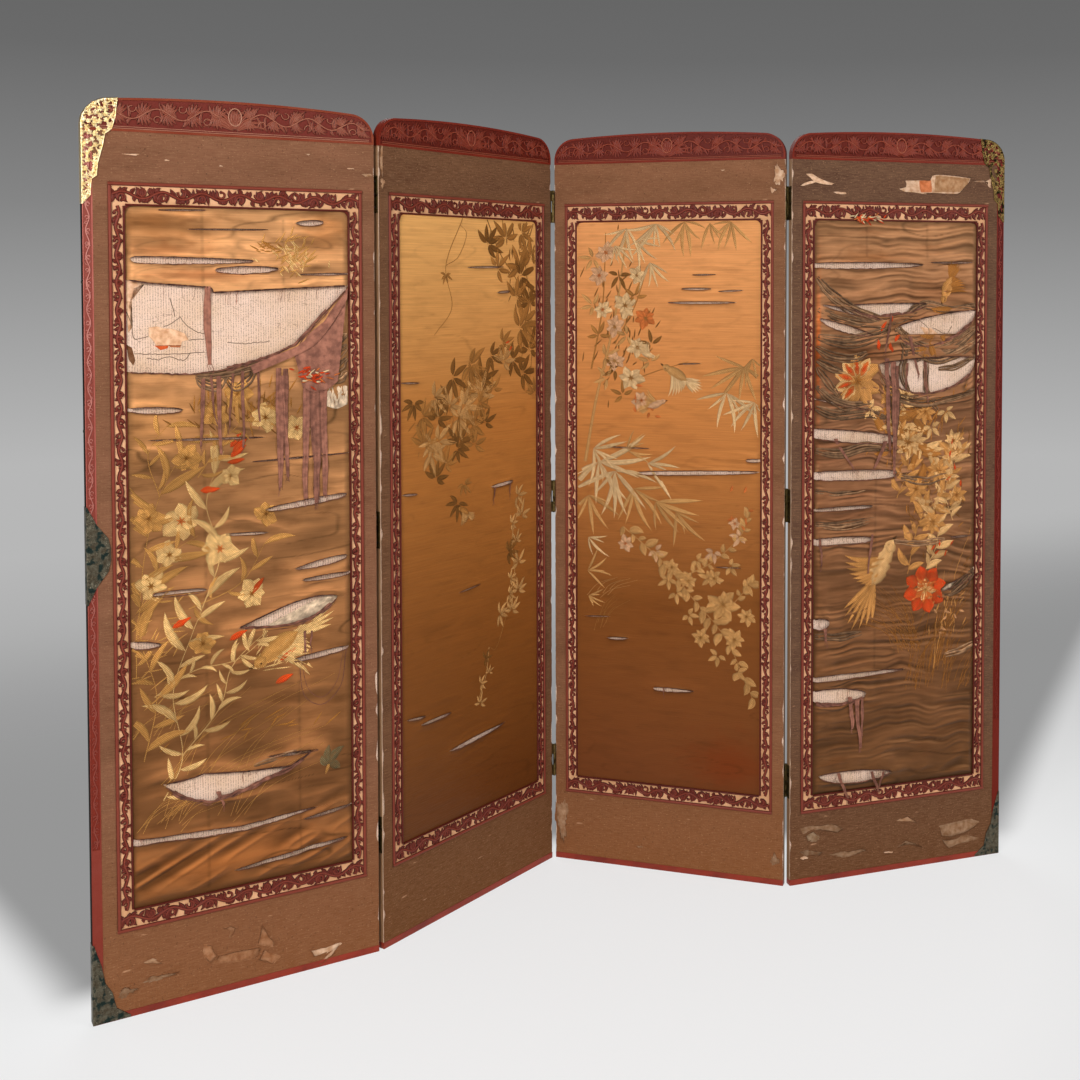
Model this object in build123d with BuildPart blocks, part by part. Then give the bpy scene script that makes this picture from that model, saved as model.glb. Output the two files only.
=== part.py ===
"""Byobu: a free-standing folding screen of four hinged, cloth-covered leaves.

Millimetres, +Z up. The origin is on the floor, under the middle of the standing screen. +X runs from the
free edge of leaf 1 to the free edge of leaf 4, and the leaves' pictures face -Y.

Each leaf is drawn in its own front view: local x along the leaf from its left edge, local y up from the
floor, and depth measured backwards from the front of its lacquered rails.
"""

import os
from dataclasses import dataclass
from math import atan2, ceil, cos, degrees, radians, sin, sqrt

from build123d import *

os.makedirs("parts", exist_ok=True)

# ---------------------------------------------------------------- driving dimensions
# the leaf
LEAF_WIDTH = 555.0
LEAF_HEIGHT = 1730.0          # floor to the crown of the crest rail
LEAF_THICKNESS = 18.0         # front of the rails to the back panel

# how the leaves stand: each angle is measured from flat
FOLD_1_2_ANGLE = 24.0         # the fold points towards the viewer, hinged at the back
FOLD_2_3_ANGLE = 72.0         # the fold points away, hinged at the front
FOLD_3_4_ANGLE = 36.0         # the fold points towards the viewer, hinged at the back

# rails and stiles
CREST_HEIGHT = 68.0           # middle of the crest rail
CROWN_DROP = 12.0             # fall of the crown curve from the middle to the leaf's edges
SHOULDER_RADIUS = 50.0
CREST_RIM = 4.5
CREST_FIELD_DEPTH = 1.6       # the carving lies in this sunk field
FOOT_RAIL_HEIGHT = 13.0
OUTER_STILE_WIDTH = 18.5
STILE_RIM = 2.4
STILE_FIELD_DEPTH = 0.9
STILE_FIELD_FOOT = 330.0      # the stile is plain below this height

# coverings, from the front backwards
CLOTH_SET_BACK = 1.0          # the cloth lies below the front of the rails
CLOTH_THICKNESS = 0.8
PAPER_THICKNESS = 0.8
BACK_PANEL_THICKNESS = 1.2
SIDE_CLOTH_WIDTH = 26.0       # beside the fret border
TOP_CLOTH_HEIGHT = 93.0       # between the crest rail and the fret border
BOTTOM_CLOTH_HEIGHT = 150.0   # between the foot rail and the fret border
TUCK = 8.0                    # cloth and silk run this far under the fret border

# pierced border round the picture
FRET_TOP_WIDTH = 44.0
FRET_BOTTOM_WIDTH = 41.5
FRET_SIDE_WIDTH = 30.0
FRET_THICKNESS = 4.0
FRET_RIM = 4.0                # plain fillet along the strips' edges
FRET_PITCH = 42.0             # from one pierced scroll to the next
PICTURE_CORNER_RADIUS = 13.0

# core
CORE_STILE_WIDTH = 32.0
CORE_RAIL_HEIGHT = 36.0
LATH_WIDTH = 12.0
LATTICE_BAY_WIDTH = 130.0     # largest bay between uprights
LATTICE_BAY_HEIGHT = 180.0    # largest bay between cross bars

# butt hinges
HINGE_GAP = 3.0               # between the side faces of two leaves that lie flat
BACK_PIVOT_OFFSET = 3.2       # pivot to the back faces, folds 1-2 and 3-4
FRONT_PIVOT_OFFSET = 5.5      # pivot to the front of the rails, fold 2-3
HINGE_HEIGHT = 76.0
PLATE_THICKNESS = 1.2
PLATE_DEPTH = 14.0
KNUCKLE_RADIUS = 3.0
KNUCKLE_CLEARANCE = 0.3
BARREL_SIDES = 12             # the barrels and pins are drawn with flats, which keeps their faces few
PIN_RADIUS = 1.5
PIN_CLEARANCE = 0.05
PIN_END = 0.8                 # the pin shows this much above and below the knuckles
BOTTOM_HINGE_CENTRE = 239.0   # above the floor
TOP_HINGE_INSET = 167.0       # below the crown
MIDDLE_HINGE_SHARE = 0.48     # of the way from the bottom hinge to the top one

# metal mounts on the outer edges
MOUNT_THICKNESS = 0.7
CORNER_MOUNT_REACH = 66.0     # along the crest or foot rail
TOP_MOUNT_DROP = 203.0        # down the stile from the crown
BOTTOM_MOUNT_RISE = 152.0
MOUNT_FLOOR_CLEARANCE = 1.0
MIDDLE_MOUNT_CENTRE = 879.0
MIDDLE_MOUNT_HEIGHT = 182.0
MIDDLE_MOUNT_REACH = 42.0

# ---------------------------------------------------------------- derived sizes
CREST_BASE = LEAF_HEIGHT - CREST_HEIGHT
CROWN_RADIUS = LEAF_WIDTH**2 / (8 * CROWN_DROP) + CROWN_DROP / 2
BORDER_BOTTOM = FOOT_RAIL_HEIGHT + BOTTOM_CLOTH_HEIGHT
BORDER_TOP = CREST_BASE - TOP_CLOTH_HEIGHT
PICTURE_BOTTOM = BORDER_BOTTOM + FRET_BOTTOM_WIDTH
PICTURE_TOP = BORDER_TOP - FRET_TOP_WIDTH

PAPER_FRONT = CLOTH_SET_BACK + CLOTH_THICKNESS
CORE_FRONT = PAPER_FRONT + PAPER_THICKNESS
CORE_BACK = LEAF_THICKNESS - BACK_PANEL_THICKNESS
CORE_MIDDLE = (CORE_FRONT + CORE_BACK) / 2

TOP_HINGE_CENTRE = LEAF_HEIGHT - TOP_HINGE_INSET
MIDDLE_HINGE_CENTRE = BOTTOM_HINGE_CENTRE + MIDDLE_HINGE_SHARE * (TOP_HINGE_CENTRE - BOTTOM_HINGE_CENTRE)
HINGE_CENTRES = (BOTTOM_HINGE_CENTRE, MIDDLE_HINGE_CENTRE, TOP_HINGE_CENTRE)
KNUCKLE_LENGTH = HINGE_HEIGHT / 3 - KNUCKLE_CLEARANCE

# a pierced scroll: tail, back, head and throat, in shares of half its pitch and half the strip's open width
SCROLL = ((-0.84, -0.92), (0.78, -0.62), (0.58, 0.92), (0.10, -0.02))

CORNER = (Align.MIN, Align.MIN)


# ---------------------------------------------------------------- where the leaves stand
@dataclass
class Leaf:
    """One leaf: the foot of its front left edge, its heading in plan, and its free edges."""

    number: int
    origin: Vector
    heading: float

    @property
    def along(self) -> Vector:
        """Unit vector from the leaf's left edge to its right edge."""
        return Vector(cos(radians(self.heading)), sin(radians(self.heading)), 0)

    @property
    def front(self) -> Vector:
        """Unit vector out of the leaf's picture side."""
        return Vector(sin(radians(self.heading)), -cos(radians(self.heading)), 0)

    @property
    def left_stile(self) -> float:
        """Width of the carved stile on the left edge, which only leaf 1 has."""
        return OUTER_STILE_WIDTH if self.number == 1 else 0.0

    @property
    def right_stile(self) -> float:
        """Width of the carved stile on the right edge, which only leaf 4 has."""
        return OUTER_STILE_WIDTH if self.number == 4 else 0.0

    @property
    def core_left(self) -> float:
        return self.left_stile

    @property
    def core_right(self) -> float:
        return LEAF_WIDTH - self.right_stile

    @property
    def border_left(self) -> float:
        return self.left_stile + SIDE_CLOTH_WIDTH

    @property
    def border_right(self) -> float:
        return LEAF_WIDTH - self.right_stile - SIDE_CLOTH_WIDTH

    def point(self, x: float, depth: float) -> Vector:
        """A point on the floor line, x along the leaf and depth behind its front."""
        return self.origin + self.along * x - self.front * depth

    def view(self, depth: float) -> Plane:
        """The leaf's front view at a depth: x along the leaf, y up, z towards the viewer."""
        return Plane(origin=self.point(0, depth), x_dir=self.along, z_dir=self.front)


@dataclass
class Fold:
    """The line where two leaves are hinged."""

    name: str
    left: Leaf
    right: Leaf
    pivot: Vector
    at_back: bool

    @property
    def offset(self) -> float:
        """Distance from the pivot to the faces that it stands clear of."""
        return BACK_PIVOT_OFFSET if self.at_back else FRONT_PIVOT_OFFSET

    def plan(self, leaf: Leaf, height: float) -> Plane:
        """Plan view round the pivot: x towards the leaf, y into its thickness."""
        towards = leaf.along if leaf is self.right else -leaf.along
        inward = leaf.front if self.at_back else -leaf.front
        centre = Vector(self.pivot.X, self.pivot.Y, height)
        return Plane(origin=centre, x_dir=towards, z_dir=towards.cross(inward))


def pivot_depth(at_back: bool) -> float:
    """Depth of a fold's pivot, measured as the leaves' own depths are."""
    return LEAF_THICKNESS + BACK_PIVOT_OFFSET if at_back else -FRONT_PIVOT_OFFSET


def standing_leaves(first_heading: float, start: Vector) -> tuple[list[Leaf], list[Fold]]:
    """The four leaves and three folds, from the first leaf's heading and the foot of its free edge."""
    turns = ((FOLD_1_2_ANGLE, True), (-FOLD_2_3_ANGLE, False), (FOLD_3_4_ANGLE, True))
    leaves = [Leaf(1, start, first_heading)]
    folds = []
    for turn, at_back in turns:
        left = leaves[-1]
        depth = pivot_depth(at_back)
        pivot = left.point(LEAF_WIDTH + HINGE_GAP / 2, depth)
        right = Leaf(left.number + 1, pivot, left.heading + turn)
        right.origin = right.point(HINGE_GAP / 2, -depth)
        leaves.append(right)
        folds.append(Fold(f"fold_{left.number}_{right.number}", left, right, pivot, at_back))
    return leaves, folds


def plan_corners(leaves: list[Leaf]) -> list[Vector]:
    """The corners of every leaf in plan."""
    return [leaf.point(x, depth) for leaf in leaves for x in (0, LEAF_WIDTH) for depth in (0, LEAF_THICKNESS)]


def place_screen() -> tuple[list[Leaf], list[Fold]]:
    """Stands the screen with its free edges in line with X and the middle of its plan at the origin."""
    trial, _ = standing_leaves(0.0, Vector(0, 0, 0))
    chord = trial[-1].point(LEAF_WIDTH, 0) - trial[0].point(0, 0)
    heading = -degrees(atan2(chord.Y, chord.X))
    turned, _ = standing_leaves(heading, Vector(0, 0, 0))
    corners = plan_corners(turned)
    middle_x = (min(c.X for c in corners) + max(c.X for c in corners)) / 2
    middle_y = (min(c.Y for c in corners) + max(c.Y for c in corners)) / 2
    return standing_leaves(heading, Vector(-middle_x, -middle_y, 0))


# ---------------------------------------------------------------- small helpers
def save(part: Part, name: str) -> None:
    """Labels a finished piece and writes its STEP file."""
    part.label = name
    export_step(part, f"parts/{name}.step")


def area(left: float, right: float, bottom: float, top: float, mode: Mode = Mode.ADD) -> None:
    """A rectangle between four edges, in the sketch that is open."""
    with Locations((left, bottom)):
        Rectangle(right - left, top - bottom, align=CORNER, mode=mode)


def even_places(start: float, end: float, largest: float) -> list[float]:
    """Places that divide a span into equal bays, none wider than the largest."""
    bays = ceil((end - start) / largest)
    return [start + (end - start) * i / bays for i in range(1, bays)]


def crest_outline(inset: float) -> None:
    """The crest rail's arched outline, a constant distance inside its edges, in the sketch that is open."""
    radius = CROWN_RADIUS - inset
    half = LEAF_WIDTH / 2 - inset
    end_height = LEAF_HEIGHT - CROWN_RADIUS + sqrt(radius**2 - half**2)
    base = CREST_BASE + inset
    with BuildLine() as outline:
        crown = ThreePointArc(
            (inset, end_height), (LEAF_WIDTH / 2, LEAF_HEIGHT - inset), (LEAF_WIDTH - inset, end_height)
        )
        Polyline(crown @ 1, (LEAF_WIDTH - inset, base), (inset, base), crown @ 0)
    face = make_face(outline.edges())
    shoulders = face.vertices().sort_by(Axis.Y)[-2:]
    fillet(shoulders, SHOULDER_RADIUS - inset)


# ---------------------------------------------------------------- inside the leaf
def core_frame(leaf: Leaf) -> Part:
    """Two softwood stiles, and two rails between them."""
    left, right = leaf.core_left, leaf.core_right
    with BuildPart() as frame:
        with BuildSketch(leaf.view(CORE_BACK)):
            for start in (left, right - CORE_STILE_WIDTH):
                area(start, start + CORE_STILE_WIDTH, FOOT_RAIL_HEIGHT, CREST_BASE)
        extrude(amount=CORE_BACK - CORE_FRONT)
    with BuildPart() as rails:
        with BuildSketch(leaf.view(CORE_BACK)):
            for start in (FOOT_RAIL_HEIGHT, CREST_BASE - CORE_RAIL_HEIGHT):
                area(left + CORE_STILE_WIDTH, right - CORE_STILE_WIDTH, start, start + CORE_RAIL_HEIGHT)
        extrude(amount=CORE_BACK - CORE_FRONT)
    return Part(children=[*frame.solids(), *rails.solids()])


def core_lattice(leaf: Leaf) -> Part:
    """Uprights in the front half of the core, and cross bars behind them that they are pinned to."""
    left, right = leaf.core_left + CORE_STILE_WIDTH, leaf.core_right - CORE_STILE_WIDTH
    bottom, top = FOOT_RAIL_HEIGHT + CORE_RAIL_HEIGHT, CREST_BASE - CORE_RAIL_HEIGHT
    with BuildPart() as uprights:
        with BuildSketch(leaf.view(CORE_MIDDLE)):
            for x in even_places(left, right, LATTICE_BAY_WIDTH):
                area(x - LATH_WIDTH / 2, x + LATH_WIDTH / 2, bottom, top)
        extrude(amount=CORE_MIDDLE - CORE_FRONT)
    with BuildPart() as cross_bars:
        with BuildSketch(leaf.view(CORE_BACK)):
            for y in even_places(bottom, top, LATTICE_BAY_HEIGHT):
                area(left, right, y - LATH_WIDTH / 2, y + LATH_WIDTH / 2)
        extrude(amount=CORE_BACK - CORE_MIDDLE)
    return Part(children=[*uprights.solids(), *cross_bars.solids()])


def back_panel(leaf: Leaf) -> Part:
    """The board and paper that close the back."""
    with BuildPart() as panel:
        with BuildSketch(leaf.view(LEAF_THICKNESS)):
            area(leaf.core_left, leaf.core_right, FOOT_RAIL_HEIGHT, CREST_BASE)
        extrude(amount=BACK_PANEL_THICKNESS)
    return panel.part


# ---------------------------------------------------------------- coverings
def paper_lining(leaf: Leaf) -> Part:
    """The layered paper sheet over the lattice."""
    with BuildPart() as lining:
        with BuildSketch(leaf.view(CORE_FRONT)):
            area(leaf.core_left, leaf.core_right, FOOT_RAIL_HEIGHT, CREST_BASE)
        extrude(amount=PAPER_THICKNESS)
    return lining.part


def mount_cloth(leaf: Leaf) -> Part:
    """Four strips of woven cloth: the bands above and below the border, and the margins beside it."""
    left, right = leaf.core_left, leaf.core_right
    inner_left, inner_right = leaf.border_left + TUCK, leaf.border_right - TUCK
    low, high = BORDER_BOTTOM + TUCK, BORDER_TOP - TUCK
    with BuildPart() as bands:
        with BuildSketch(leaf.view(PAPER_FRONT)):
            area(left, right, FOOT_RAIL_HEIGHT, low)
            area(left, right, high, CREST_BASE)
        extrude(amount=CLOTH_THICKNESS)
    with BuildPart() as margins:
        with BuildSketch(leaf.view(PAPER_FRONT)):
            area(left, inner_left, low, high)
            area(inner_right, right, low, high)
        extrude(amount=CLOTH_THICKNESS)
    return Part(children=[*bands.solids(), *margins.solids()])


def silk_panel(leaf: Leaf) -> Part:
    """The picture's satin, tucked under the fret border all round."""
    left = leaf.border_left + FRET_SIDE_WIDTH - TUCK
    right = leaf.border_right - FRET_SIDE_WIDTH + TUCK
    with BuildPart() as silk:
        with BuildSketch(leaf.view(PAPER_FRONT)):
            area(left, right, PICTURE_BOTTOM - TUCK, PICTURE_TOP + TUCK)
        extrude(amount=CLOTH_THICKNESS)
    return silk.part


# ---------------------------------------------------------------- pierced border
def piercings(left: float, right: float, bottom: float, top: float) -> None:
    """A running row of pierced scrolls that curl to and fro, cut along an area of the open sketch."""
    upright = top - bottom > right - left
    start, end = (bottom, top) if upright else (left, right)
    low, high = (left, right) if upright else (bottom, top)
    count = ceil((end - start) / FRET_PITCH)
    half_pitch = (end - start) / count / 2
    half_reach = (high - low) / 2
    with BuildSketch(mode=Mode.PRIVATE) as row:
        for i in range(count):
            curl = 1 if i % 2 else -1
            middle = start + half_pitch * (2 * i + 1)
            points = [(middle + a * half_pitch, low + half_reach * (1 + b * curl)) for a, b in SCROLL]
            if upright:
                points = [(across, along) for along, across in points]
            Polygon(*points, align=None)
    add(row.sketch, mode=Mode.SUBTRACT)


def fret_strip(leaf: Leaf, bottom: float, top: float) -> Part:
    """The strip across the leaf between two heights, pierced inside its rims."""
    left, right = leaf.border_left, leaf.border_right
    with BuildPart() as strip:
        with BuildSketch(leaf.view(CLOTH_SET_BACK)):
            area(left, right, bottom, top)
            piercings(left + FRET_RIM, right - FRET_RIM, bottom + FRET_RIM, top - FRET_RIM)
        extrude(amount=FRET_THICKNESS)
    return strip.part


def fret_top(leaf: Leaf) -> Part:
    """The top strip, with the two spandrels that round the picture's upper corners."""
    left, right = leaf.border_left + FRET_SIDE_WIDTH, leaf.border_right - FRET_SIDE_WIDTH
    radius = PICTURE_CORNER_RADIUS
    with BuildPart() as strip:
        with BuildSketch(leaf.view(CLOTH_SET_BACK)):
            area(leaf.border_left, leaf.border_right, PICTURE_TOP, BORDER_TOP)
            piercings(
                leaf.border_left + FRET_RIM, leaf.border_right - FRET_RIM,
                PICTURE_TOP + FRET_RIM, BORDER_TOP - FRET_RIM,
            )
            area(left, left + radius, PICTURE_TOP - radius, PICTURE_TOP)
            area(right - radius, right, PICTURE_TOP - radius, PICTURE_TOP)
            with Locations((left + radius, PICTURE_TOP - radius), (right - radius, PICTURE_TOP - radius)):
                Circle(radius, mode=Mode.SUBTRACT)
        extrude(amount=FRET_THICKNESS)
    return strip.part


def fret_sides(leaf: Leaf) -> Part:
    """The two upright strips between the top and bottom ones."""
    with BuildPart() as strips:
        for left in (leaf.border_left, leaf.border_right - FRET_SIDE_WIDTH):
            right = left + FRET_SIDE_WIDTH
            with BuildSketch(leaf.view(CLOTH_SET_BACK)):
                area(left, right, PICTURE_BOTTOM, PICTURE_TOP)
                piercings(
                    left + FRET_RIM, right - FRET_RIM, PICTURE_BOTTOM + FRET_RIM, PICTURE_TOP - FRET_RIM
                )
            extrude(amount=FRET_THICKNESS)
    return strips.part


# ---------------------------------------------------------------- lacquered rails and stiles
def crest_rail(leaf: Leaf) -> Part:
    """The arched top rail, with a sunk field for its carving."""
    with BuildPart() as crest:
        with BuildSketch(leaf.view(LEAF_THICKNESS)):
            crest_outline(0)
        extrude(amount=LEAF_THICKNESS)
        with BuildSketch(leaf.view(0)):
            crest_outline(CREST_RIM)
        extrude(amount=-CREST_FIELD_DEPTH, mode=Mode.SUBTRACT)
    return crest.part


def foot_rail(leaf: Leaf) -> Part:
    """The plain bottom rail that stands on the floor."""
    with BuildPart() as foot:
        with BuildSketch(leaf.view(LEAF_THICKNESS)):
            area(leaf.core_left, leaf.core_right, 0, FOOT_RAIL_HEIGHT)
        extrude(amount=LEAF_THICKNESS)
    return foot.part


def outer_stile(leaf: Leaf) -> Part:
    """The carved stile on a free edge, plain towards the floor."""
    left = 0.0 if leaf.left_stile else leaf.core_right
    right = left + OUTER_STILE_WIDTH
    with BuildPart() as stile:
        with BuildSketch(leaf.view(LEAF_THICKNESS)):
            area(left, right, 0, CREST_BASE)
        extrude(amount=LEAF_THICKNESS)
        with BuildSketch(leaf.view(0)):
            area(left + STILE_RIM, right - STILE_RIM, STILE_FIELD_FOOT, CREST_BASE - STILE_RIM)
        extrude(amount=-STILE_FIELD_DEPTH, mode=Mode.SUBTRACT)
    return stile.part


# ---------------------------------------------------------------- metal mounts
def leaf_outline(grown: float) -> None:
    """The whole leaf in front view, grown outwards, in the sketch that is open."""
    crest_outline(-grown)
    area(-grown, LEAF_WIDTH + grown, 0, CREST_BASE)


def top_mount_edge() -> list[tuple[float, float]]:
    """Inner edge of a top corner mount, as distances in from the free edge and heights."""
    toe = LEAF_HEIGHT - TOP_MOUNT_DROP
    reach = CORNER_MOUNT_REACH
    return [
        (reach, LEAF_HEIGHT), (0.92 * reach, LEAF_HEIGHT - 42), (0.82 * reach, CREST_BASE + 3),
        (0.64 * reach, CREST_BASE - 6), (0.58 * reach, toe + 108), (0.44 * reach, toe + 74),
        (0.41 * reach, toe + 52), (0.27 * reach, toe + 45), (0.24 * reach, toe + 16), (0.04 * reach, toe),
    ]


def bottom_mount_edge() -> list[tuple[float, float]]:
    """Inner edge of a bottom corner mount."""
    rise, reach = BOTTOM_MOUNT_RISE, CORNER_MOUNT_REACH
    foot = MOUNT_FLOOR_CLEARANCE
    return [
        (0.04 * reach, rise), (0.24 * reach, 0.72 * rise), (0.33 * reach, 0.50 * rise),
        (0.52 * reach, 0.36 * rise), (0.62 * reach, 0.16 * rise), (reach, foot + 4), (reach, foot),
    ]


def middle_mount_edge() -> list[tuple[float, float]]:
    """Inner edge of the mount half way up the stile."""
    half, reach, centre = MIDDLE_MOUNT_HEIGHT / 2, MIDDLE_MOUNT_REACH, MIDDLE_MOUNT_CENTRE
    upper = [(0.04, 1.0), (0.44, 0.62), (0.90, 0.34), (1.0, 0.12)]
    lower = [(share, -height) for share, height in reversed(upper)]
    return [(share * reach, centre + height * half) for share, height in upper + lower]


def edge_mount(leaf: Leaf, inner_edge: list[tuple[float, float]]) -> Part:
    """A sheet mount that wraps the free edge: a face in front, one behind, and the band that joins them."""
    free_left = leaf.number == 1
    thickness = MOUNT_THICKNESS
    outside = -2 * thickness
    heights = [height for _, height in inner_edge]
    outline = [(outside, max(heights)), *inner_edge, (outside, min(heights))]
    if outline[1][1] == LEAF_HEIGHT:
        outline = [(outside, LEAF_HEIGHT + 1), (CORNER_MOUNT_REACH, LEAF_HEIGHT + 1), *outline[1:]]
    placed = [(x if free_left else LEAF_WIDTH - x, y) for x, y in outline]
    with BuildPart() as mount:
        for depth in (0.0, LEAF_THICKNESS + thickness):
            with BuildSketch(leaf.view(depth)):
                leaf_outline(thickness)
                Polygon(*placed, align=None, mode=Mode.INTERSECT)
            extrude(amount=thickness)
        with BuildSketch(leaf.view(LEAF_THICKNESS)):
            leaf_outline(thickness)
            Polygon(*placed, align=None, mode=Mode.INTERSECT)
            with BuildSketch(mode=Mode.PRIVATE) as leaf_face:
                leaf_outline(0)
            add(leaf_face.sketch, mode=Mode.SUBTRACT)
        extrude(amount=LEAF_THICKNESS)
    return mount.part


# ---------------------------------------------------------------- hinges
def knuckle_feet(own_ends: bool) -> list[float]:
    """Lower ends of the knuckles on one side, from the hinge's centre: the two end ones, or the middle one."""
    third = HINGE_HEIGHT / 3
    middles = (-third, third) if own_ends else (0.0,)
    return [middle - KNUCKLE_LENGTH / 2 for middle in middles]


def hinge_plates(fold: Fold, leaf: Leaf) -> Part:
    """The three plates on one leaf, each with its knuckles round the pin."""
    side_face = HINGE_GAP / 2
    inner_face = side_face - PLATE_THICKNESS
    bore = PIN_RADIUS + PIN_CLEARANCE
    with BuildPart() as plates:
        for centre in HINGE_CENTRES:
            with BuildSketch(fold.plan(leaf, centre - HINGE_HEIGHT / 2)):
                area(inner_face, side_face, fold.offset, fold.offset + PLATE_DEPTH)
            extrude(amount=HINGE_HEIGHT, dir=(0, 0, 1))
            for foot in knuckle_feet(leaf is fold.left):
                with BuildSketch(fold.plan(leaf, centre + foot)):
                    RegularPolygon(KNUCKLE_RADIUS, BARREL_SIDES)
                    area(inner_face, side_face, 0, fold.offset)
                    RegularPolygon(bore, BARREL_SIDES, major_radius=False, mode=Mode.SUBTRACT)
                extrude(amount=KNUCKLE_LENGTH, dir=(0, 0, 1))
    return plates.part


def hinge_pins(fold: Fold) -> Part:
    """The three pins of one fold."""
    with BuildPart() as pins:
        for centre in HINGE_CENTRES:
            with BuildSketch(fold.plan(fold.right, centre - HINGE_HEIGHT / 2 - PIN_END)):
                RegularPolygon(PIN_RADIUS, BARREL_SIDES)
            extrude(amount=HINGE_HEIGHT + 2 * PIN_END, dir=(0, 0, 1))
    return pins.part


# ---------------------------------------------------------------- the whole screen
LEAF_PIECES = {
    "core_frame": core_frame,
    "core_lattice": core_lattice,
    "back_panel": back_panel,
    "paper_lining": paper_lining,
    "mount_cloth": mount_cloth,
    "silk_panel": silk_panel,
    "fret_bottom": lambda leaf: fret_strip(leaf, BORDER_BOTTOM, PICTURE_BOTTOM),
    "fret_top": fret_top,
    "fret_sides": fret_sides,
    "crest_rail": crest_rail,
    "foot_rail": foot_rail,
}

leaves, folds = place_screen()

for leaf in leaves:
    for piece, make in LEAF_PIECES.items():
        save(make(leaf), f"leaf_{leaf.number}_{piece}")

first, last = leaves[0], leaves[-1]
for leaf in (first, last):
    save(outer_stile(leaf), f"leaf_{leaf.number}_outer_stile")
    save(edge_mount(leaf, top_mount_edge()), f"leaf_{leaf.number}_top_corner_mount")
    save(edge_mount(leaf, bottom_mount_edge()), f"leaf_{leaf.number}_bottom_corner_mount")
save(edge_mount(first, middle_mount_edge()), "leaf_1_middle_mount")

for fold in folds:
    save(hinge_plates(fold, fold.left), f"{fold.name}_left_plates")
    save(hinge_plates(fold, fold.right), f"{fold.name}_right_plates")
    save(hinge_pins(fold), f"{fold.name}_pins")
    print(fold.name, "pivot", [round(v, 3) for v in fold.pivot], "at back" if fold.at_back else "at front")

for leaf in leaves:
    print("leaf", leaf.number, "origin", [round(v, 3) for v in leaf.origin], "heading", round(leaf.heading, 4))
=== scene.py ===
"""The looks of a byobu, a free-standing room screen of four hinged leaves.

Sizes are in millimetres, and are turned to metres where a mesh is made. Each leaf is drawn in its own front
view: x across it from its left edge, y backwards from the front of its lacquered rails, and z up.
"""

import logging
import math
import random
from collections.abc import Callable, Sequence
from dataclasses import dataclass, field
from enum import Enum
from typing import NamedTuple

import bmesh
import bpy
import numpy as np
from mathutils import Matrix, Vector


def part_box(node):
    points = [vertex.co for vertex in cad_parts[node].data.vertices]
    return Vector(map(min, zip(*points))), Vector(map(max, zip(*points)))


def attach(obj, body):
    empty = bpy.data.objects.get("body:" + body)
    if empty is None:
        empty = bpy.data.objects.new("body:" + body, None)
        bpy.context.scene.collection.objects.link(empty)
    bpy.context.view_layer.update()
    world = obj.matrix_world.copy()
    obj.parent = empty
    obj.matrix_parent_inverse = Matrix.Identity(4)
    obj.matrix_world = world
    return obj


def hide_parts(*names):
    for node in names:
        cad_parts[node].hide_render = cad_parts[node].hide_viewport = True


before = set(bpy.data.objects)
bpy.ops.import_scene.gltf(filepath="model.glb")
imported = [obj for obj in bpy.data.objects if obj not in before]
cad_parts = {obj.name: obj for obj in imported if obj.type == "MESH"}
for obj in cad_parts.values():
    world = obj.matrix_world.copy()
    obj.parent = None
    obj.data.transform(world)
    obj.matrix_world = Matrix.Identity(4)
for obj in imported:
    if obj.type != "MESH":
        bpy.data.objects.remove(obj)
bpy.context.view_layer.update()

log = logging.getLogger("byobu")
MM = 0.001

Point = tuple[float, float]
Colour = tuple[float, float, float]
Sockets = dict[str | int, object]
Course = Callable[[np.ndarray | float, np.ndarray | float], np.ndarray]

TUCK = 8.0               # the satin runs this far under the pierced border
OUTER_RIM = 7.0          # plain fillet along the border's outer edge
INNER_RIM = 4.0          # and along its inner one
CREST_RIM = 4.5
CREST_FIELD = 1.6        # depth of the sunk field in the crest rail
STILE_RIM = 2.4
STILE_FIELD = 0.9
STILE_FIELD_FOOT = 330.0
GROUND = 1.0             # depth of the surface that the pierced border lies on
PROUDEST = -9.0          # leaves 2 and 3 close front to front, 11 mm apart


class Side(Enum):
    """The two upright edges of a leaf."""

    LEFT = "left"
    RIGHT = "right"


class Wear(Enum):
    """How far the satin of a leaf has gone."""

    CREASED = 0.35
    SHREDDED = 1.0


class Floss(Enum):
    """Dyed embroidery silks, as sRGB colours."""

    CREAM = "#F0CE9D"
    PALE_GOLD = "#D6A468"
    OCHRE = "#B27C40"
    OLIVE = "#7D5426"
    SHELL = "#E2B48F"
    ORANGE = "#E2491B"
    CORAL = "#D8753C"
    SLATE = "#6D6A5A"
    INK = "#2C201A"

    @property
    def light(self) -> np.ndarray:
        """The linear channels of the floss's colour."""
        return light_of(self.value)


def linear(colour: str) -> tuple[float, float, float, float]:
    """Turns an sRGB hex colour into linear RGBA."""
    channels = [int(colour[i:i + 2], 16) / 255 for i in (1, 3, 5)]
    lights = [c / 12.92 if c <= 0.04045 else ((c + 0.055) / 1.055) ** 2.4 for c in channels]
    return (lights[0], lights[1], lights[2], 1.0)


def light_of(colour: str) -> np.ndarray:
    """A colour's linear channels, for a mesh to carry."""
    return np.array(linear(colour)[:3])


# ---------------------------------------------------------------- leaves
class Box(NamedTuple):
    """A node's extent in its leaf's front view."""

    left: float
    right: float
    front: float
    back: float
    bottom: float
    top: float


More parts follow.
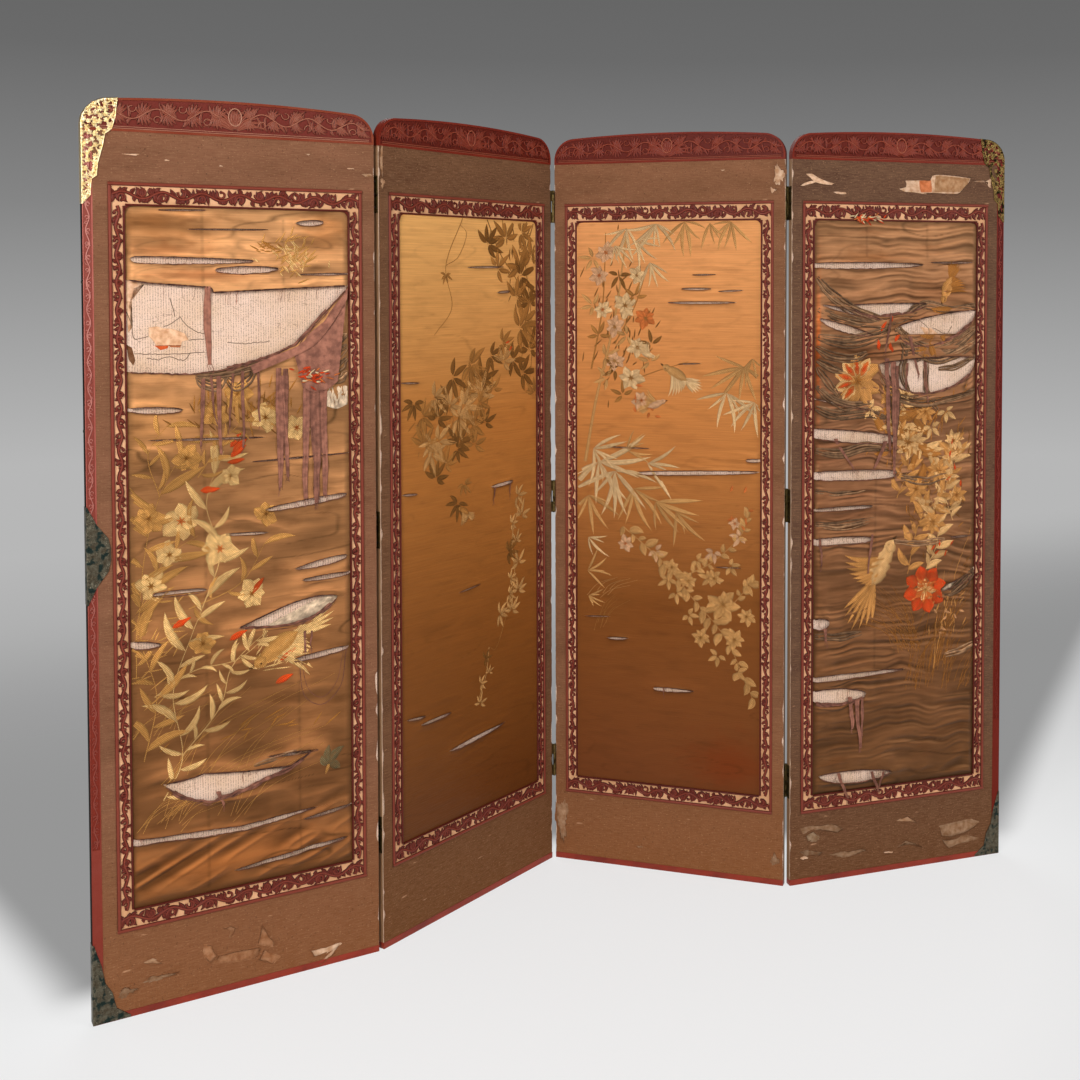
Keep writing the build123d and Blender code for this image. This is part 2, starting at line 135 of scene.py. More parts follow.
@dataclass(frozen=True)
class Leaf:
    """One leaf as the frame holds it.

    Attributes:
        number: 1 to 4, from the left.
        place: turns the leaf's front view, in metres, to the row frame.
        width: across the leaf.
        height: floor to crown.
    """

    number: int
    place: Matrix
    width: float
    height: float

    @property
    def body(self) -> str:
        """The CAD body that the leaf's pieces ride on."""
        return f"leaf_{self.number}"

    @property
    def free_side(self) -> Side | None:
        """The edge with a stile, on the two outer leaves."""
        return {1: Side.LEFT, 4: Side.RIGHT}.get(self.number)

    def node(self, piece: str) -> str:
        """Name of one of the leaf's CAD nodes."""
        return f"{self.body}_{piece}"

    def points(self, piece: str) -> np.ndarray:
        """A node's vertices in the front view.

        Args:
            piece: name of the node, without the leaf's.

        Returns:
            A row of x, y and z for each.
        """
        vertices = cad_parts[self.node(piece)].data.vertices
        inverse = np.array(self.place.inverted())
        world = np.array([v.co for v in vertices])
        return (world @ inverse[:3, :3].T + inverse[:3, 3]) / MM

    def box(self, piece: str) -> Box:
        """A node's extent in the front view."""
        points = self.points(piece)
        (left, front, bottom), (right, back, top) = points.min(0), points.max(0)
        return Box(left, right, front, back, bottom, top)


def read_leaf(number: int) -> Leaf:
    """Works out where a leaf stands from its crest and foot rails.

    Args:
        number: 1 to 4, from the left.

    Returns:
        The leaf, with its front view's place in the row frame.
    """
    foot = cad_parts[f"leaf_{number}_foot_rail"].data
    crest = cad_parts[f"leaf_{number}_crest_rail"].data
    face = max((p for p in foot.polygons if p.normal.y < -0.5), key=lambda p: p.area).normal
    heading = math.atan2(face.x, -face.y)
    turned = Matrix.Rotation(-heading, 4, "Z")
    local = np.array([turned @ v.co for v in crest.vertices])
    low, high = local.min(0), local.max(0)
    place = Matrix.Rotation(heading, 4, "Z") @ Matrix.Translation((low[0], low[1], 0))
    return Leaf(number, place, (high[0] - low[0]) / MM, high[2] / MM)


# ---------------------------------------------------------------- meshes
def smooth_noise(x: np.ndarray, y: np.ndarray | float, seed: int) -> np.ndarray:
    """Seeded heights from -1 to 1 on a unit grid, eased between its points.

    Args:
        x: places along the grid.
        y: places up it, or one height for them all.
        seed: of the heights.

    Returns:
        A height for each place.
    """
    table = np.random.default_rng(seed).uniform(-1, 1, (64, 64))
    column, row = np.floor(x).astype(int), np.floor(y).astype(int)
    across, up = x - column, y - row
    across, up = across * across * (3 - 2 * across), up * up * (3 - 2 * up)
    low, high = (table[r % 64, column % 64] * (1 - across) + table[r % 64, (column + 1) % 64] * across
                 for r in (row, row + 1))
    return low * (1 - up) + high * up


def curve_through(points: Sequence[Point], count: int) -> np.ndarray:
    """Samples a smooth curve that passes through points.

    Args:
        points: corners of the route, two or more.
        count: how many samples to return.

    Returns:
        An array of count rows.
    """
    route = np.array(points, float)
    route = np.vstack([2 * route[0] - route[1], route, 2 * route[-1] - route[-2]])
    place = np.linspace(0, len(points) - 1, count)
    start = np.minimum(place.astype(int), len(points) - 2)
    t = (place - start)[:, None]
    a, b, c, d = (route[start + i] for i in range(4))
    return 0.5 * (2 * b + (c - a) * t + (2 * a - 5 * b + 4 * c - d) * t**2 + (3 * b - a - 3 * c + d) * t**3)


def beside(path: np.ndarray) -> np.ndarray:
    """Unit vectors square to a flat path, to its right."""
    run = np.gradient(path, axis=0)
    run /= np.maximum(np.linalg.norm(run, axis=1, keepdims=True), 1e-9)
    return np.stack([run[:, 1], -run[:, 0]], 1)


def raised(plan: np.ndarray, depth: np.ndarray | float) -> np.ndarray:
    """Gives the points of a flat plan their depths."""
    return np.stack([plan[..., 0], np.broadcast_to(depth, plan.shape[:-1]), plan[..., 1]], -1)


def widened(path: np.ndarray, offsets: np.ndarray) -> np.ndarray:
    """A flat grid that lies along a path, with its columns at some offsets beside it."""
    return path[:, None, :] + beside(path)[:, None, :] * offsets[..., None]


def bar(path: np.ndarray, width: np.ndarray | float, height: np.ndarray | float, base: float) -> np.ndarray:
    """A round-topped bar along a flat path.

    Args:
        path: n points of the front view.
        width: of the bar, one value or n.
        height: of the bar over its ground, one value or n.
        base: depth of that ground.

    Returns:
        A grid of n by 5 points.
    """
    half = np.broadcast_to(width, len(path))[:, None] / 2 * np.array([-1.0, -0.8, 0.0, 0.8, 1.0])
    return raised(widened(path, half), base - np.broadcast_to(height, len(path))[:, None] * BAR_RISE)


def blade(root: Point, tip: Point, width: float, bow: float = 0.0, rows: int = 8) -> np.ndarray:
    """The flat plan of a leaf or petal.

    Args:
        root: where it grows from.
        tip: its point.
        width: across its widest part.
        bow: how far its middle line bends, as a share of its length.
        rows: points along it.

    Returns:
        A grid of rows by 5 points of the front view.
    """
    start, end = np.array(root, float), np.array(tip, float)
    run = end - start
    along = np.linspace(0, 1, rows)
    bend = np.array([-run[1], run[0]]) * bow
    middle = start + run * along[:, None] + bend * (4 * along * (1 - along))[:, None]
    half = width / 2 * np.sin(np.pi * along**0.8) ** 0.8
    return widened(middle, half[:, None] * np.linspace(-1, 1, 5))


def polar(centre: Point, angle: float, distance: float) -> Point:
    """A point at an angle in degrees and a distance from a centre."""
    turn = math.radians(angle)
    return (centre[0] + math.cos(turn) * distance, centre[1] + math.sin(turn) * distance)


# heights across a leaf with a sunk rib, and across a rounded bar; as tones they paint shade at the foot and a
# highlight on the crest
BLADE_RISE = np.array([0.0, 0.85, 0.6, 0.85, 0.0])
BAR_RISE = np.array([0.0, 0.75, 1.0, 0.75, 0.0])
FORWARD = Vector((0, -1, 0))


class Patches:
    """Gathers the grid patches of one piece, in a leaf's front view."""

    def __init__(self) -> None:
        """Starts with no patch."""
        self.points: list[np.ndarray] = []
        self.faces: list[np.ndarray] = []
        self.tones: list[np.ndarray] = []
        self.count = 0

    def add(self, grid: np.ndarray, tone: np.ndarray | float = 1.0, closed: bool = False,
            keep: np.ndarray | None = None) -> None:
        """Adds a grid of quads that faces the viewer.

        Args:
            grid: rows by columns by 3.
            tone: a shade for the patch, for each column or for each point, or each point's colour.
            closed: joins the last column to the first.
            keep: which quads to make, rows - 1 by columns - 1.
        """
        rows, columns = grid.shape[:2]
        index = self.count + np.arange(rows * columns).reshape(rows, columns)
        if closed:
            index = np.hstack([index, index[:, :1]])
        corners = [index[:-1, :-1], index[:-1, 1:], index[1:, 1:], index[1:, :-1]]
        quads = np.stack(corners, -1)
        if not closed:
            normal = np.cross(grid[1:, 1:] - grid[:-1, :-1], grid[1:, :-1] - grid[:-1, 1:])
            if normal[..., 1].sum() > 0:
                quads = quads[..., ::-1]
        quads = quads.reshape(-1, 4) if keep is None else quads[keep]
        shade = np.asarray(tone, float)
        if shade.ndim < 3:
            shade = np.repeat(shade[..., None], 3, -1)
        self.points.append(grid.reshape(-1, 3))
        self.faces.append(quads)
        self.tones.append(np.broadcast_to(shade, (rows, columns, 3)).reshape(-1, 3))
        self.count += rows * columns

    def dome(self, centre: tuple[float, float, float], towards: Vector, radius: float, height: float,
             sides: int = 14) -> None:
        """Adds a domed head on a surface.

        Args:
            centre: the middle of its foot.
            towards: which way it stands out.
            radius: of its foot.
            height: of its crown.
            sides: points round it.
        """
        turn = towards.to_track_quat("Z", "Y")
        rows, around = [], np.linspace(0, 2 * math.pi, sides, endpoint=False)
        for climb in (0.0, 0.4, 0.75, 0.98):
            angle = climb * math.pi / 2
            ring = [Vector((math.cos(s) * math.cos(angle) * radius, math.sin(s) * math.cos(angle) * radius,
                            math.sin(angle) * height)) for s in around]
            rows.append([Vector(centre) + turn @ p for p in ring])
        self.add(np.array(rows, float), closed=True)

    def petal(self, root: Point, tip: Point, width: float, height: float, base: float,
              bow: float = 0.0) -> None:
        """Adds a carved leaf or petal that swells from its ground, with a sunk rib.

        Args:
            root: where it grows from.
            tip: its point.
            width: across its widest part.
            height: over the ground.
            base: depth of the ground.
            bow: bend of its middle line, as a share of its length.
        """
        # the tone follows the rise: on carved lacquer it paints shade at the edges and a highlight along the
        # ridges
        self.add(raised(blade(root, tip, width, bow), base - height * BLADE_RISE), BLADE_RISE)

    def piece(self, name: str, leaf: Leaf, finish: "Finish", slot: str,
              weld: bool = False) -> bpy.types.Object:
        """Makes the mesh, which rides on its leaf.

        Args:
            name: of the piece.
            leaf: whose front view the patches are in.
            finish: of its surface.
            slot: not used.
            weld: joins points that coincide.

        Returns:
            The new object.
        """
        place = np.array(leaf.place)
        points = np.concatenate(self.points) * MM @ place[:3, :3].T + place[:3, 3]
        faces = np.concatenate(self.faces)
        mesh = bpy.data.meshes.new(name)
        mesh.from_pydata(points.tolist(), [], faces.tolist())
        colours = np.ones((len(points), 4))
        colours[:, :3] = np.concatenate(self.tones)
        mesh.color_attributes.new("tone", "FLOAT_COLOR", "POINT").data.foreach_set("color", colours.ravel())
        build = bmesh.new()
        build.from_mesh(mesh)
        if weld:
            bmesh.ops.remove_doubles(build, verts=build.verts, dist=1e-6)
        loose = [v for v in build.verts if not v.link_faces]
        bmesh.ops.delete(build, geom=loose, context="VERTS")
        build.to_mesh(mesh)
        build.free()
        mesh.shade_smooth()
        mesh.materials.append(finish.material(leaf))
        made = bpy.data.objects.new(name, mesh)
        bpy.context.scene.collection.objects.link(made)
        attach(made, leaf.body)
        log.info("%s: %d faces, %s", name, len(mesh.polygons), finish.name)
        return made


# ---------------------------------------------------------------- finishes
def add_node(tree: bpy.types.NodeTree, kind: str, sockets: Sockets | None = None,
             **settings: object) -> bpy.types.Node:
    """Adds a shader node.

    Args:
        tree: of the material.
        kind: the node's type.
        sockets: what each input is set to, or the output it is linked from.
        settings: the node's own options.

    Returns:
        The node.
    """
    node = tree.nodes.new(kind)
    for option, value in settings.items():
        setattr(node, option, value)
    for name, source in (sockets or {}).items():
        if isinstance(source, bpy.types.NodeSocket):
            tree.links.new(source, node.inputs[name])
        else:
            node.inputs[name].default_value = source
    return node


def fill_ramp(node: bpy.types.Node, stops: list[tuple[float, str]]) -> None:
    """Gives a colour ramp its places and their sRGB colours, the first at 0 and the last at 1.

    Args:
        node: a colour ramp.
        stops: places from 0 to 1, and their sRGB colours.
    """
    ramp = node.color_ramp
    ramp.elements[0].color, ramp.elements[1].color = linear(stops[0][1]), linear(stops[-1][1])
    for place, colour in stops[1:-1]:
        ramp.elements.new(place).color = linear(colour)


@dataclass(frozen=True)
class Brush:
    """Paints one material over a leaf's front view.

    Attributes:
        tree: the material's nodes.
        shader: its surface.
        view: the front view's coordinates, in mm.
        leaf: that wears it.
    """

    tree: bpy.types.NodeTree
    shader: bpy.types.Node
    view: bpy.types.NodeSocket
    leaf: Leaf

    def add(self, kind: str, sockets: Sockets, output: int | str = 0,
            **settings: object) -> bpy.types.NodeSocket:
        """Adds a node and gives one of its outputs."""
        return add_node(self.tree, f"ShaderNode{kind}", sockets, **settings).outputs[output]

    def mixed(self, share: object, first: object, second: object, blend: str = "MIX") -> bpy.types.NodeSocket:
        """Blends two colours, which are sRGB hex values or sockets."""
        colours = [linear(c) if isinstance(c, str) else c for c in (first, second)]
        sockets = {0: share, 6: colours[0], 7: colours[1]}
        return self.add("Mix", sockets, 2, data_type="RGBA", blend_type=blend)

    def glaze(self, colour: object, share: object, strength: float, tint: str) -> bpy.types.NodeSocket:
        """Lays a thin tint over a colour.

        Args:
            colour: that it covers.
            share: 1 where it lies and 0 where it doesn't.
            strength: of the tint, where 1 hides the colour.
            tint: its sRGB colour.

        Returns:
            The new colour.
        """
        return self.mixed(share, colour, self.mixed(strength, colour, tint))

    def noise(self, size: Colour | float, low: float = 0.35, high: float = 0.65,
              detail: float = 4.0) -> bpy.types.NodeSocket:
        """Cloudy noise from 0 to 1.

        Args:
            size: of the clouds in mm, one value or one along each axis.
            low: noise that counts as 0.
            high: noise that counts as 1.
            detail: octaves.

        Returns:
            The noise.
        """
        sizes = (size, size, size) if isinstance(size, float) else size
        scaled = self.add("VectorMath", {0: self.view, 1: sizes}, operation="DIVIDE")
        cloud = self.add("TexNoise", {"Vector": scaled, "Scale": 1.0, "Detail": detail}, "Fac")
        return self.add("MapRange", {"Value": cloud, "From Min": low, "From Max": high})

    def waves(self, pitch: float, axis: str, stray: float = 0.0) -> bpy.types.NodeSocket:
        """Parallel ridges from 0 to 1, a pitch in mm apart along an axis."""
        scaled = self.add("VectorMath", {0: self.view, 3: math.pi / 10 / pitch}, operation="SCALE")
        sockets = {"Vector": scaled, "Scale": 1.0, "Distortion": stray, "Detail": 1.0}
        return self.add("TexWave", sockets, "Fac", bands_direction=axis)

    def relief(self, height: bpy.types.NodeSocket, depth: float,
               under: bpy.types.NodeSocket | None = None) -> bpy.types.NodeSocket:
        """Bumps the surface.

        Args:
            height: from 0 to 1.
            depth: of the relief in mm.
            under: another relief that it lies on.

        Returns:
            The relief, for another one to lie on.
        """
        sockets = {"Height": height, "Distance": depth * MM, "Strength": 1.0}
        bump = self.add("Bump", sockets if under is None else sockets | {"Normal": under})
        self.tree.links.new(bump, self.shader.inputs["Normal"])
        return bump

    def carried(self) -> bpy.types.NodeSocket:
        """The shade that the mesh carries at its points."""
        return self.add("Attribute", {}, "Color", attribute_name="tone")

    def paint(self, colour: bpy.types.NodeSocket, looks: Sockets | None = None) -> None:
        """Gives the surface its colour, and looks that are the same all over it."""
        self.tree.links.new(colour, self.shader.inputs["Base Color"])
        for name, value in (looks or {}).items():
            self.shader.inputs[name].default_value = value

    def dull(self, share: bpy.types.NodeSocket, start: float, end: float) -> None:
        """Makes the surface rougher where a share rises."""
        rough = self.add("MapRange", {"Value": share, "To Min": start, "To Max": end})
        self.tree.links.new(rough, self.shader.inputs["Roughness"])


@dataclass(frozen=True)
class Finish:
    """A surface: what it is made of and how it was worked.

    Attributes:
        name: common name of the material and its process.
        colour: its main sRGB colour.
        second: the colour that it varies to.
        roughness: of its shine.
        metallic: 1 for a bare metal.
        gloss: how much it mirrors, where 0.5 is plain varnish.
    """

    name: str
    colour: str
    second: str
    roughness: float = 0.6
    metallic: float = 0.0
    gloss: float = 0.5

    def material(self, leaf: Leaf) -> bpy.types.Material:
        """The finish laid out in a leaf's front view, made once for each leaf.

        Args:
            leaf: that gives the pattern its place.

        Returns:
            The material.
        """
        name = f"{self.name}.{leaf.body}"
        made = bpy.data.materials.get(name)
        if made is None:
            made = bpy.data.materials.new(name)
            made.use_nodes = True
            tree = made.node_tree
            tree.nodes.clear()
            turned = {"Vector": add_node(tree, "ShaderNodeTexCoord").outputs["Object"], "Scale": (MM, MM, MM),
                      "Location": leaf.place.translation, "Rotation": leaf.place.to_euler()}
            view = add_node(tree, "ShaderNodeMapping", turned, vector_type="TEXTURE").outputs[0]
            looks = {"Roughness": self.roughness, "Metallic": self.metallic, "Specular IOR Level": self.gloss}
            shader = add_node(tree, "ShaderNodeBsdfPrincipled", looks)
            add_node(tree, "ShaderNodeOutputMaterial", {"Surface": shader.outputs[0]})
            self.dress(Brush(tree, shader, view, leaf))
        return made

    def dress(self, brush: Brush) -> None:
        """Paints the colour and relief. Each kind of finish has its own."""
        raise NotImplementedError


@dataclass(frozen=True)
class Lacquer(Finish):
    """Coloured lacquer brushed on wood: soft gloss, with painted shade where it is sunk or carved and painted
    highlights on carved crests, and the grain just telling.

    Attributes:
        hollow: colour of the painted shade on the ground between carving and on a sunk field.
        crown: colour of the painted highlight on the carving's crests, on a carved piece.
        sunk: depth of the carved field, on a rail or stile.
        dark_edge: the side that is lacquered black.
        low: colour near the floor, where the upper part has faded.
        coat: weight of the clear coat.
    """

    gloss: float = 0.3
    hollow: str = "#3E1610"
    crown: str = ""
    sunk: float = 0.0
    dark_edge: Side | None = None
    low: str = ""
    coat: float = 0.05

    def dress(self, brush: Brush) -> None:
        """Paints mottled colour, painted shade in hollows and painted highlights on crests, or a black edge,
        and brush marks.

        Args:
            brush: paints the material.
        """
        colour = brush.mixed(brush.noise((70.0, 70.0, 45.0)), self.colour, self.second)
        colour = brush.mixed(brush.noise(3.2, 0.68, 0.72, 6.0), colour, self.crown or "#9A5F4C")
        if self.crown:
            # painted shade darkens the carved ground, and a painted highlight pales the crests, both by the
            # tone that the mesh carries
            out_of_shade = brush.add("MapRange", {"Value": brush.carried(), "From Min": 0.1, "From Max": 0.8})
            colour = brush.mixed(out_of_shade, self.hollow, colour)
            rise = brush.add("MapRange", {"Value": brush.carried(), "From Min": 0.76, "From Max": 1.04})
            colour = brush.mixed(rise, colour, self.crown)
        sides = add_node(brush.tree, "ShaderNodeSeparateXYZ", {0: brush.view}).outputs
        # painted shade: a sunk field is painted in the hollow colour
        if self.sunk:
            ground = brush.add("Math", {0: sides["Y"], 1: self.sunk, 2: 0.45 * self.sunk},
                               operation="COMPARE")
            colour = brush.mixed(ground, colour, self.hollow)
        if self.low:
            share = brush.add("MapRange", {"Value": sides["Z"], "From Min": 520.0, "From Max": 1400.0})
            colour = brush.mixed(share, brush.mixed(0.8, colour, self.low), colour)
        if self.dark_edge:
            edge = 0.4 if self.dark_edge is Side.LEFT else brush.leaf.width - 0.4
            test = "LESS_THAN" if self.dark_edge is Side.LEFT else "GREATER_THAN"
            past = brush.add("Math", {0: sides["X"], 1: edge}, operation=test)
            colour = brush.mixed(past, colour, "#1A100C")
            brush.dull(past, self.roughness, 0.9)
        brush.paint(colour, {"Coat Weight": self.coat, "Coat Roughness": 0.3})
        # brush marks 1.5 mm apart, drawn coarse enough to show
        under = brush.relief(brush.noise((28.0, 28.0, 1.5), 0.3, 0.7, 2.0), 0.12)
        brush.relief(brush.noise(6.0), 0.2, under)


@dataclass(frozen=True)
class Brocade(Finish):
    """Twill of brown cotton and bast: matt, speckled where slubs catch the light, and stained."""

    gloss: float = 0.12
    low: str = "#7D4D2C"     # where feet and brooms have browned it
    low_height: float = 420.0
    thread: float = 2.4      # real threads are 0.5 mm apart, drawn coarser so that the weave shows

    def dress(self, brush: Brush) -> None:
        """Paints threads, slubs, stains and the weave's relief.

        Args:
            brush: paints the material.
        """
        colour = brush.mixed(brush.noise((160.0, 160.0, 60.0), 0.3, 0.7), self.colour, self.second)
        height = brush.add("SeparateXYZ", {0: brush.view}, "Z")
        rise = brush.add("MapRange", {"Value": height, "From Max": self.low_height})
        colour = brush.mixed(rise, self.low, colour)
        slubs = brush.noise((5.0, 5.0, 1.8), 0.6, 0.76, 3.0)
        for share, strength, tint in (
            (brush.noise((24.0, 24.0, 1.7), 0.42, 0.66, 3.0), 0.16, "#B78B68"), (slubs, 0.6, "#B58A66"),
            (brush.noise((2.5, 2.5, 4.5), 0.36, 0.28, 2.0), 0.5, "#3F2619"),
        ):
            colour = brush.glaze(colour, share, strength, tint)
        scuffs = brush.noise((40.0, 40.0, 7.0), 0.69, 0.76, 6.0)
        brush.paint(brush.mixed(scuffs, colour, "#B98B69"))
        threads = {i: brush.waves(self.thread, axis, 0.8) for i, axis in enumerate("XZ")}
        brush.relief(slubs, 0.4, brush.relief(brush.add("Math", threads, operation="MULTIPLY"), 0.3))


@dataclass(frozen=True)
class Satin(Finish):
    """Silk satin, woven and dyed in a fade: a bright sheen along the weft, dull where the dye has browned.

    Attributes:
        fade: colours up the picture, evenly spaced, between the second colour and the first.
        stained: how dark the browned patches are.
        bottom: height where the fade starts.
        top: height where it ends.
    """

    gloss: float = 0.3
    fade: tuple[str, ...] = ()
    stained: float = 0.5
    bottom: float = 204.0
    top: float = 1525.0

    def dress(self, brush: Brush) -> None:
        """Paints the fade, the weft's streaks, the stains and a ribbed sheen.

        Args:
            brush: paints the material.
        """
        height = brush.add("SeparateXYZ", {0: brush.view}, "Z")
        rise = brush.add("MapRange", {"Value": height, "From Min": self.bottom, "From Max": self.top})
        fade = add_node(brush.tree, "ShaderNodeValToRGB", {0: rise})
        fill_ramp(fade, [(i / (len(self.fade) + 1), colour)
                         for i, colour in enumerate((self.second, *self.fade, self.colour))])
        dyed = fade.outputs[0]
        streaks = brush.noise((150.0, 150.0, 2.6), 0.3, 0.7, 3.0)
        colour = brush.mixed(streaks, brush.mixed(0.24, dyed, self.second), dyed)
        colour = brush.glaze(colour, brush.noise((80.0, 80.0, 22.0), 0.5, 0.72, 5.0), self.stained, "#4D2A12")
        colour = brush.glaze(colour, brush.noise((5.0, 5.0, 3.0), 0.73, 0.78, 4.0), 0.5, "#3E2010")
        # the tone that the mesh carries holds the painted shade and light of the folds, lips and creases, and
        # the stains and seams
        brush.paint(brush.mixed(1.0, colour, brush.carried(), "MULTIPLY"), {
            "Specular Tint": linear("#FFC07C"), "Sheen Weight": 0.06, "Sheen Roughness": 0.4,
            "Sheen Tint": linear("#F2C48C"),
        })
        # weft ribs, drawn 1.8 mm apart where real ones are 0.2 mm
        under = brush.relief(brush.waves(1.8, "Z", 1.5), 0.05)
        brush.relief(brush.noise((45.0, 45.0, 2.6), 0.2, 0.8, 3.0), 0.35, under)


@dataclass(frozen=True)
class FlossStitch(Finish):
    """Untwisted silk in long satin stitch: each thread catches the light along its side."""

    gloss: float = 0.3

    def dress(self, brush: Brush) -> None:
        """Paints the dyed colour of each motif and the threads' relief.

        Args:
            brush: paints the material.
        """
        # threads are drawn 2 mm apart, where real ones are 0.3 mm; their light and dark stripes are painted
        # sheen
        strands = brush.waves(2.0, "DIAGONAL", 3.0)
        shade = brush.mixed(strands, "#C4AE8E", "#FFFFFF")
        colour = brush.mixed(1.0, brush.carried(), shade, "MULTIPLY")
        colour = brush.mixed(brush.noise(7.0), brush.mixed(0.3, colour, self.second), colour)
        brush.paint(colour, {"Specular Tint": linear("#FFD9A0")})
        brush.relief(strands, 0.3)


@dataclass(frozen=True)
class Paper(Finish):
    """Mulberry paper, pasted in sheets: matt and fibrous, with ruled columns where it is re-used."""

    gloss: float = 0.15
    ruled: bool = False
    sheet: float = 0.0       # height of the pasted sheets, where their laps show

    def dress(self, brush: Brush) -> None:
        """Paints fibres, rules, foxing and the laps of the sheets.

        Args:
            brush: paints the material.
        """
        colour = brush.mixed(brush.noise((110.0, 110.0, 80.0)), self.colour, self.second)
        fibres = brush.noise((1.2, 1.2, 9.0), 0.3, 0.7, 2.0)
        colour = brush.mixed(fibres, brush.mixed(0.12, colour, "#6E5540"), colour)
        if self.ruled:
            # column rules 4.8 mm apart, broken by rubbing
            rules = brush.waves(4.8, "X", 0.05)
            line = brush.add("MapRange", {"Value": rules, "From Min": 0.4, "From Max": 0.8})
            rubbed = brush.noise((1.9, 1.9, 2.2), 0.46, 0.56, 2.0)
            ink = brush.add("Math", {0: line, 1: rubbed}, operation="MULTIPLY")
            colour = brush.glaze(colour, ink, 0.62, "#7D5A58")
            sides = {i: brush.noise((60.0, 60.0, 30.0), low, 0.5, 2.0)
                     for i, low in enumerate((0.495, 0.505))}
            colour = brush.glaze(colour, brush.add("Math", sides, operation="MULTIPLY"), 0.55, "#6A4633")
        colour = brush.glaze(colour, brush.noise(16.0, 0.62, 0.8, 5.0), 0.3, "#8C5A34")
        under = brush.relief(brush.noise(14.0, 0.2, 0.8, 6.0), 0.5)
        if self.sheet:
            laps = brush.waves(self.sheet, "Z")
            lap = brush.add("MapRange", {"Value": laps, "From Min": 0.985, "From Max": 0.99})
            colour = brush.mixed(lap, colour, self.second)
            under = brush.relief(lap, 0.4, under)
        brush.paint(colour)
        brush.relief(fibres, 0.08, under)


@dataclass(frozen=True)
class TornPaper(Finish):
    """Layered paper bared by a tear: pale, fluffy and uneven, shaded by the mesh."""

    gloss: float = 0.1

    def dress(self, brush: Brush) -> None:
        """Paints fluff and the shades that the mesh carries."""
        colour = brush.mixed(brush.noise(12.0), self.colour, self.second)
        brush.paint(brush.mixed(1.0, colour, brush.carried(), "MULTIPLY"))
        brush.relief(brush.noise((5.0, 5.0, 3.0), 0.2, 0.8, 6.0), 0.8)


@dataclass(frozen=True)
class Timber(Finish):
    """Planed cypress: straight pale grain with darker late wood."""

    def dress(self, brush: Brush) -> None:
        """Paints the grain, which runs up the leaf."""
        grain = brush.noise((3.0, 3.0, 120.0), 0.3, 0.7, 5.0)
        brush.paint(brush.mixed(grain, self.colour, self.second))
        brush.relief(grain, 0.15)


@dataclass(frozen=True)
class Metal(Finish):
    """Cast or beaten metal with an aged skin: bright on the crests, dull and dark in the hollows."""

    tarnish: str = "#3B2D1C"
    spread: float = 0.6

    def dress(self, brush: Brush) -> None:
        """Paints the tarnish and the beaten relief.

        Args:
            brush: paints the material.
        """
        colour = brush.mixed(brush.noise(9.0), self.colour, self.second)
        patches = brush.noise(15.0, self.spread, self.spread + 0.08, 6.0)
        brush.paint(brush.mixed(patches, colour, self.tarnish))
        brush.dull(patches, self.roughness, min(1.0, self.roughness + 0.3))
        under = brush.relief(brush.noise(2.6, 0.3, 0.7, 3.0), 0.35)
        brush.relief(brush.noise(8.0), 0.3, under)


FADED_CREST = (
    Lacquer("red_lacquer_brushed_on_cypress_faded", "#79301C", "#864029", 0.5, gloss=0.12, hollow="#6D2B22",
            sunk=1.6, coat=0.01),
    Lacquer("red_lacquer_over_carved_cypress_faded", "#7D3524", "#8A432F", 0.42, gloss=0.2, hollow="#3B1711",
            crown="#BE8F73", coat=0.02),
)
DEEP_CREST = (
    Lacquer("red_lacquer_brushed_on_cypress", "#6D1F11", "#7A2817", 0.5, gloss=0.1, hollow="#5F1C10",
            sunk=1.6, coat=0.01),
    Lacquer("red_lacquer_over_carved_cypress", "#732314", "#802D1C", 0.42, gloss=0.16, hollow="#330D06",
            crown="#A86347", coat=0.02),
)
CRESTS = {1: FADED_CREST, 2: DEEP_CREST, 3: DEEP_CREST, 4: DEEP_CREST}
FOOT_LACQUER = Lacquer("vermilion_lacquer_brushed_on_cypress", "#94301A", "#762312", 0.42)
FRET_LACQUER = Lacquer("plum_lacquer_over_pierced_katsura", "#5C1E13", "#69271C", 0.42, gloss=0.15,
                       hollow="#2B0C08", crown="#9E4F3B", coat=0.02)
STILES = {
    Side.LEFT: (
        Lacquer("rose_lacquer_brushed_on_stile", "#B4685C", "#A4564A", 0.5, gloss=0.1, hollow="#8A453B",
                sunk=0.9, dark_edge=Side.LEFT, low="#72200F", coat=0.01),
        Lacquer("rose_lacquer_over_carved_stile", "#BC7568", "#AC6458", 0.5, gloss=0.1, hollow="#7A3B30",
                crown="#D8A296", low="#72200F", coat=0.01),
    ),
    Side.RIGHT: (
        Lacquer("red_lacquer_brushed_on_stile", "#782218", "#681A11", 0.5, gloss=0.1, hollow="#54130D",
                sunk=0.9, dark_edge=Side.RIGHT, low="#6A1D10", coat=0.01),
        Lacquer("red_lacquer_over_carved_stile", "#832D22", "#722117", 0.5, gloss=0.1, hollow="#450F09",
                crown="#AD6656", low="#6A1D10", coat=0.01),
    ),
}
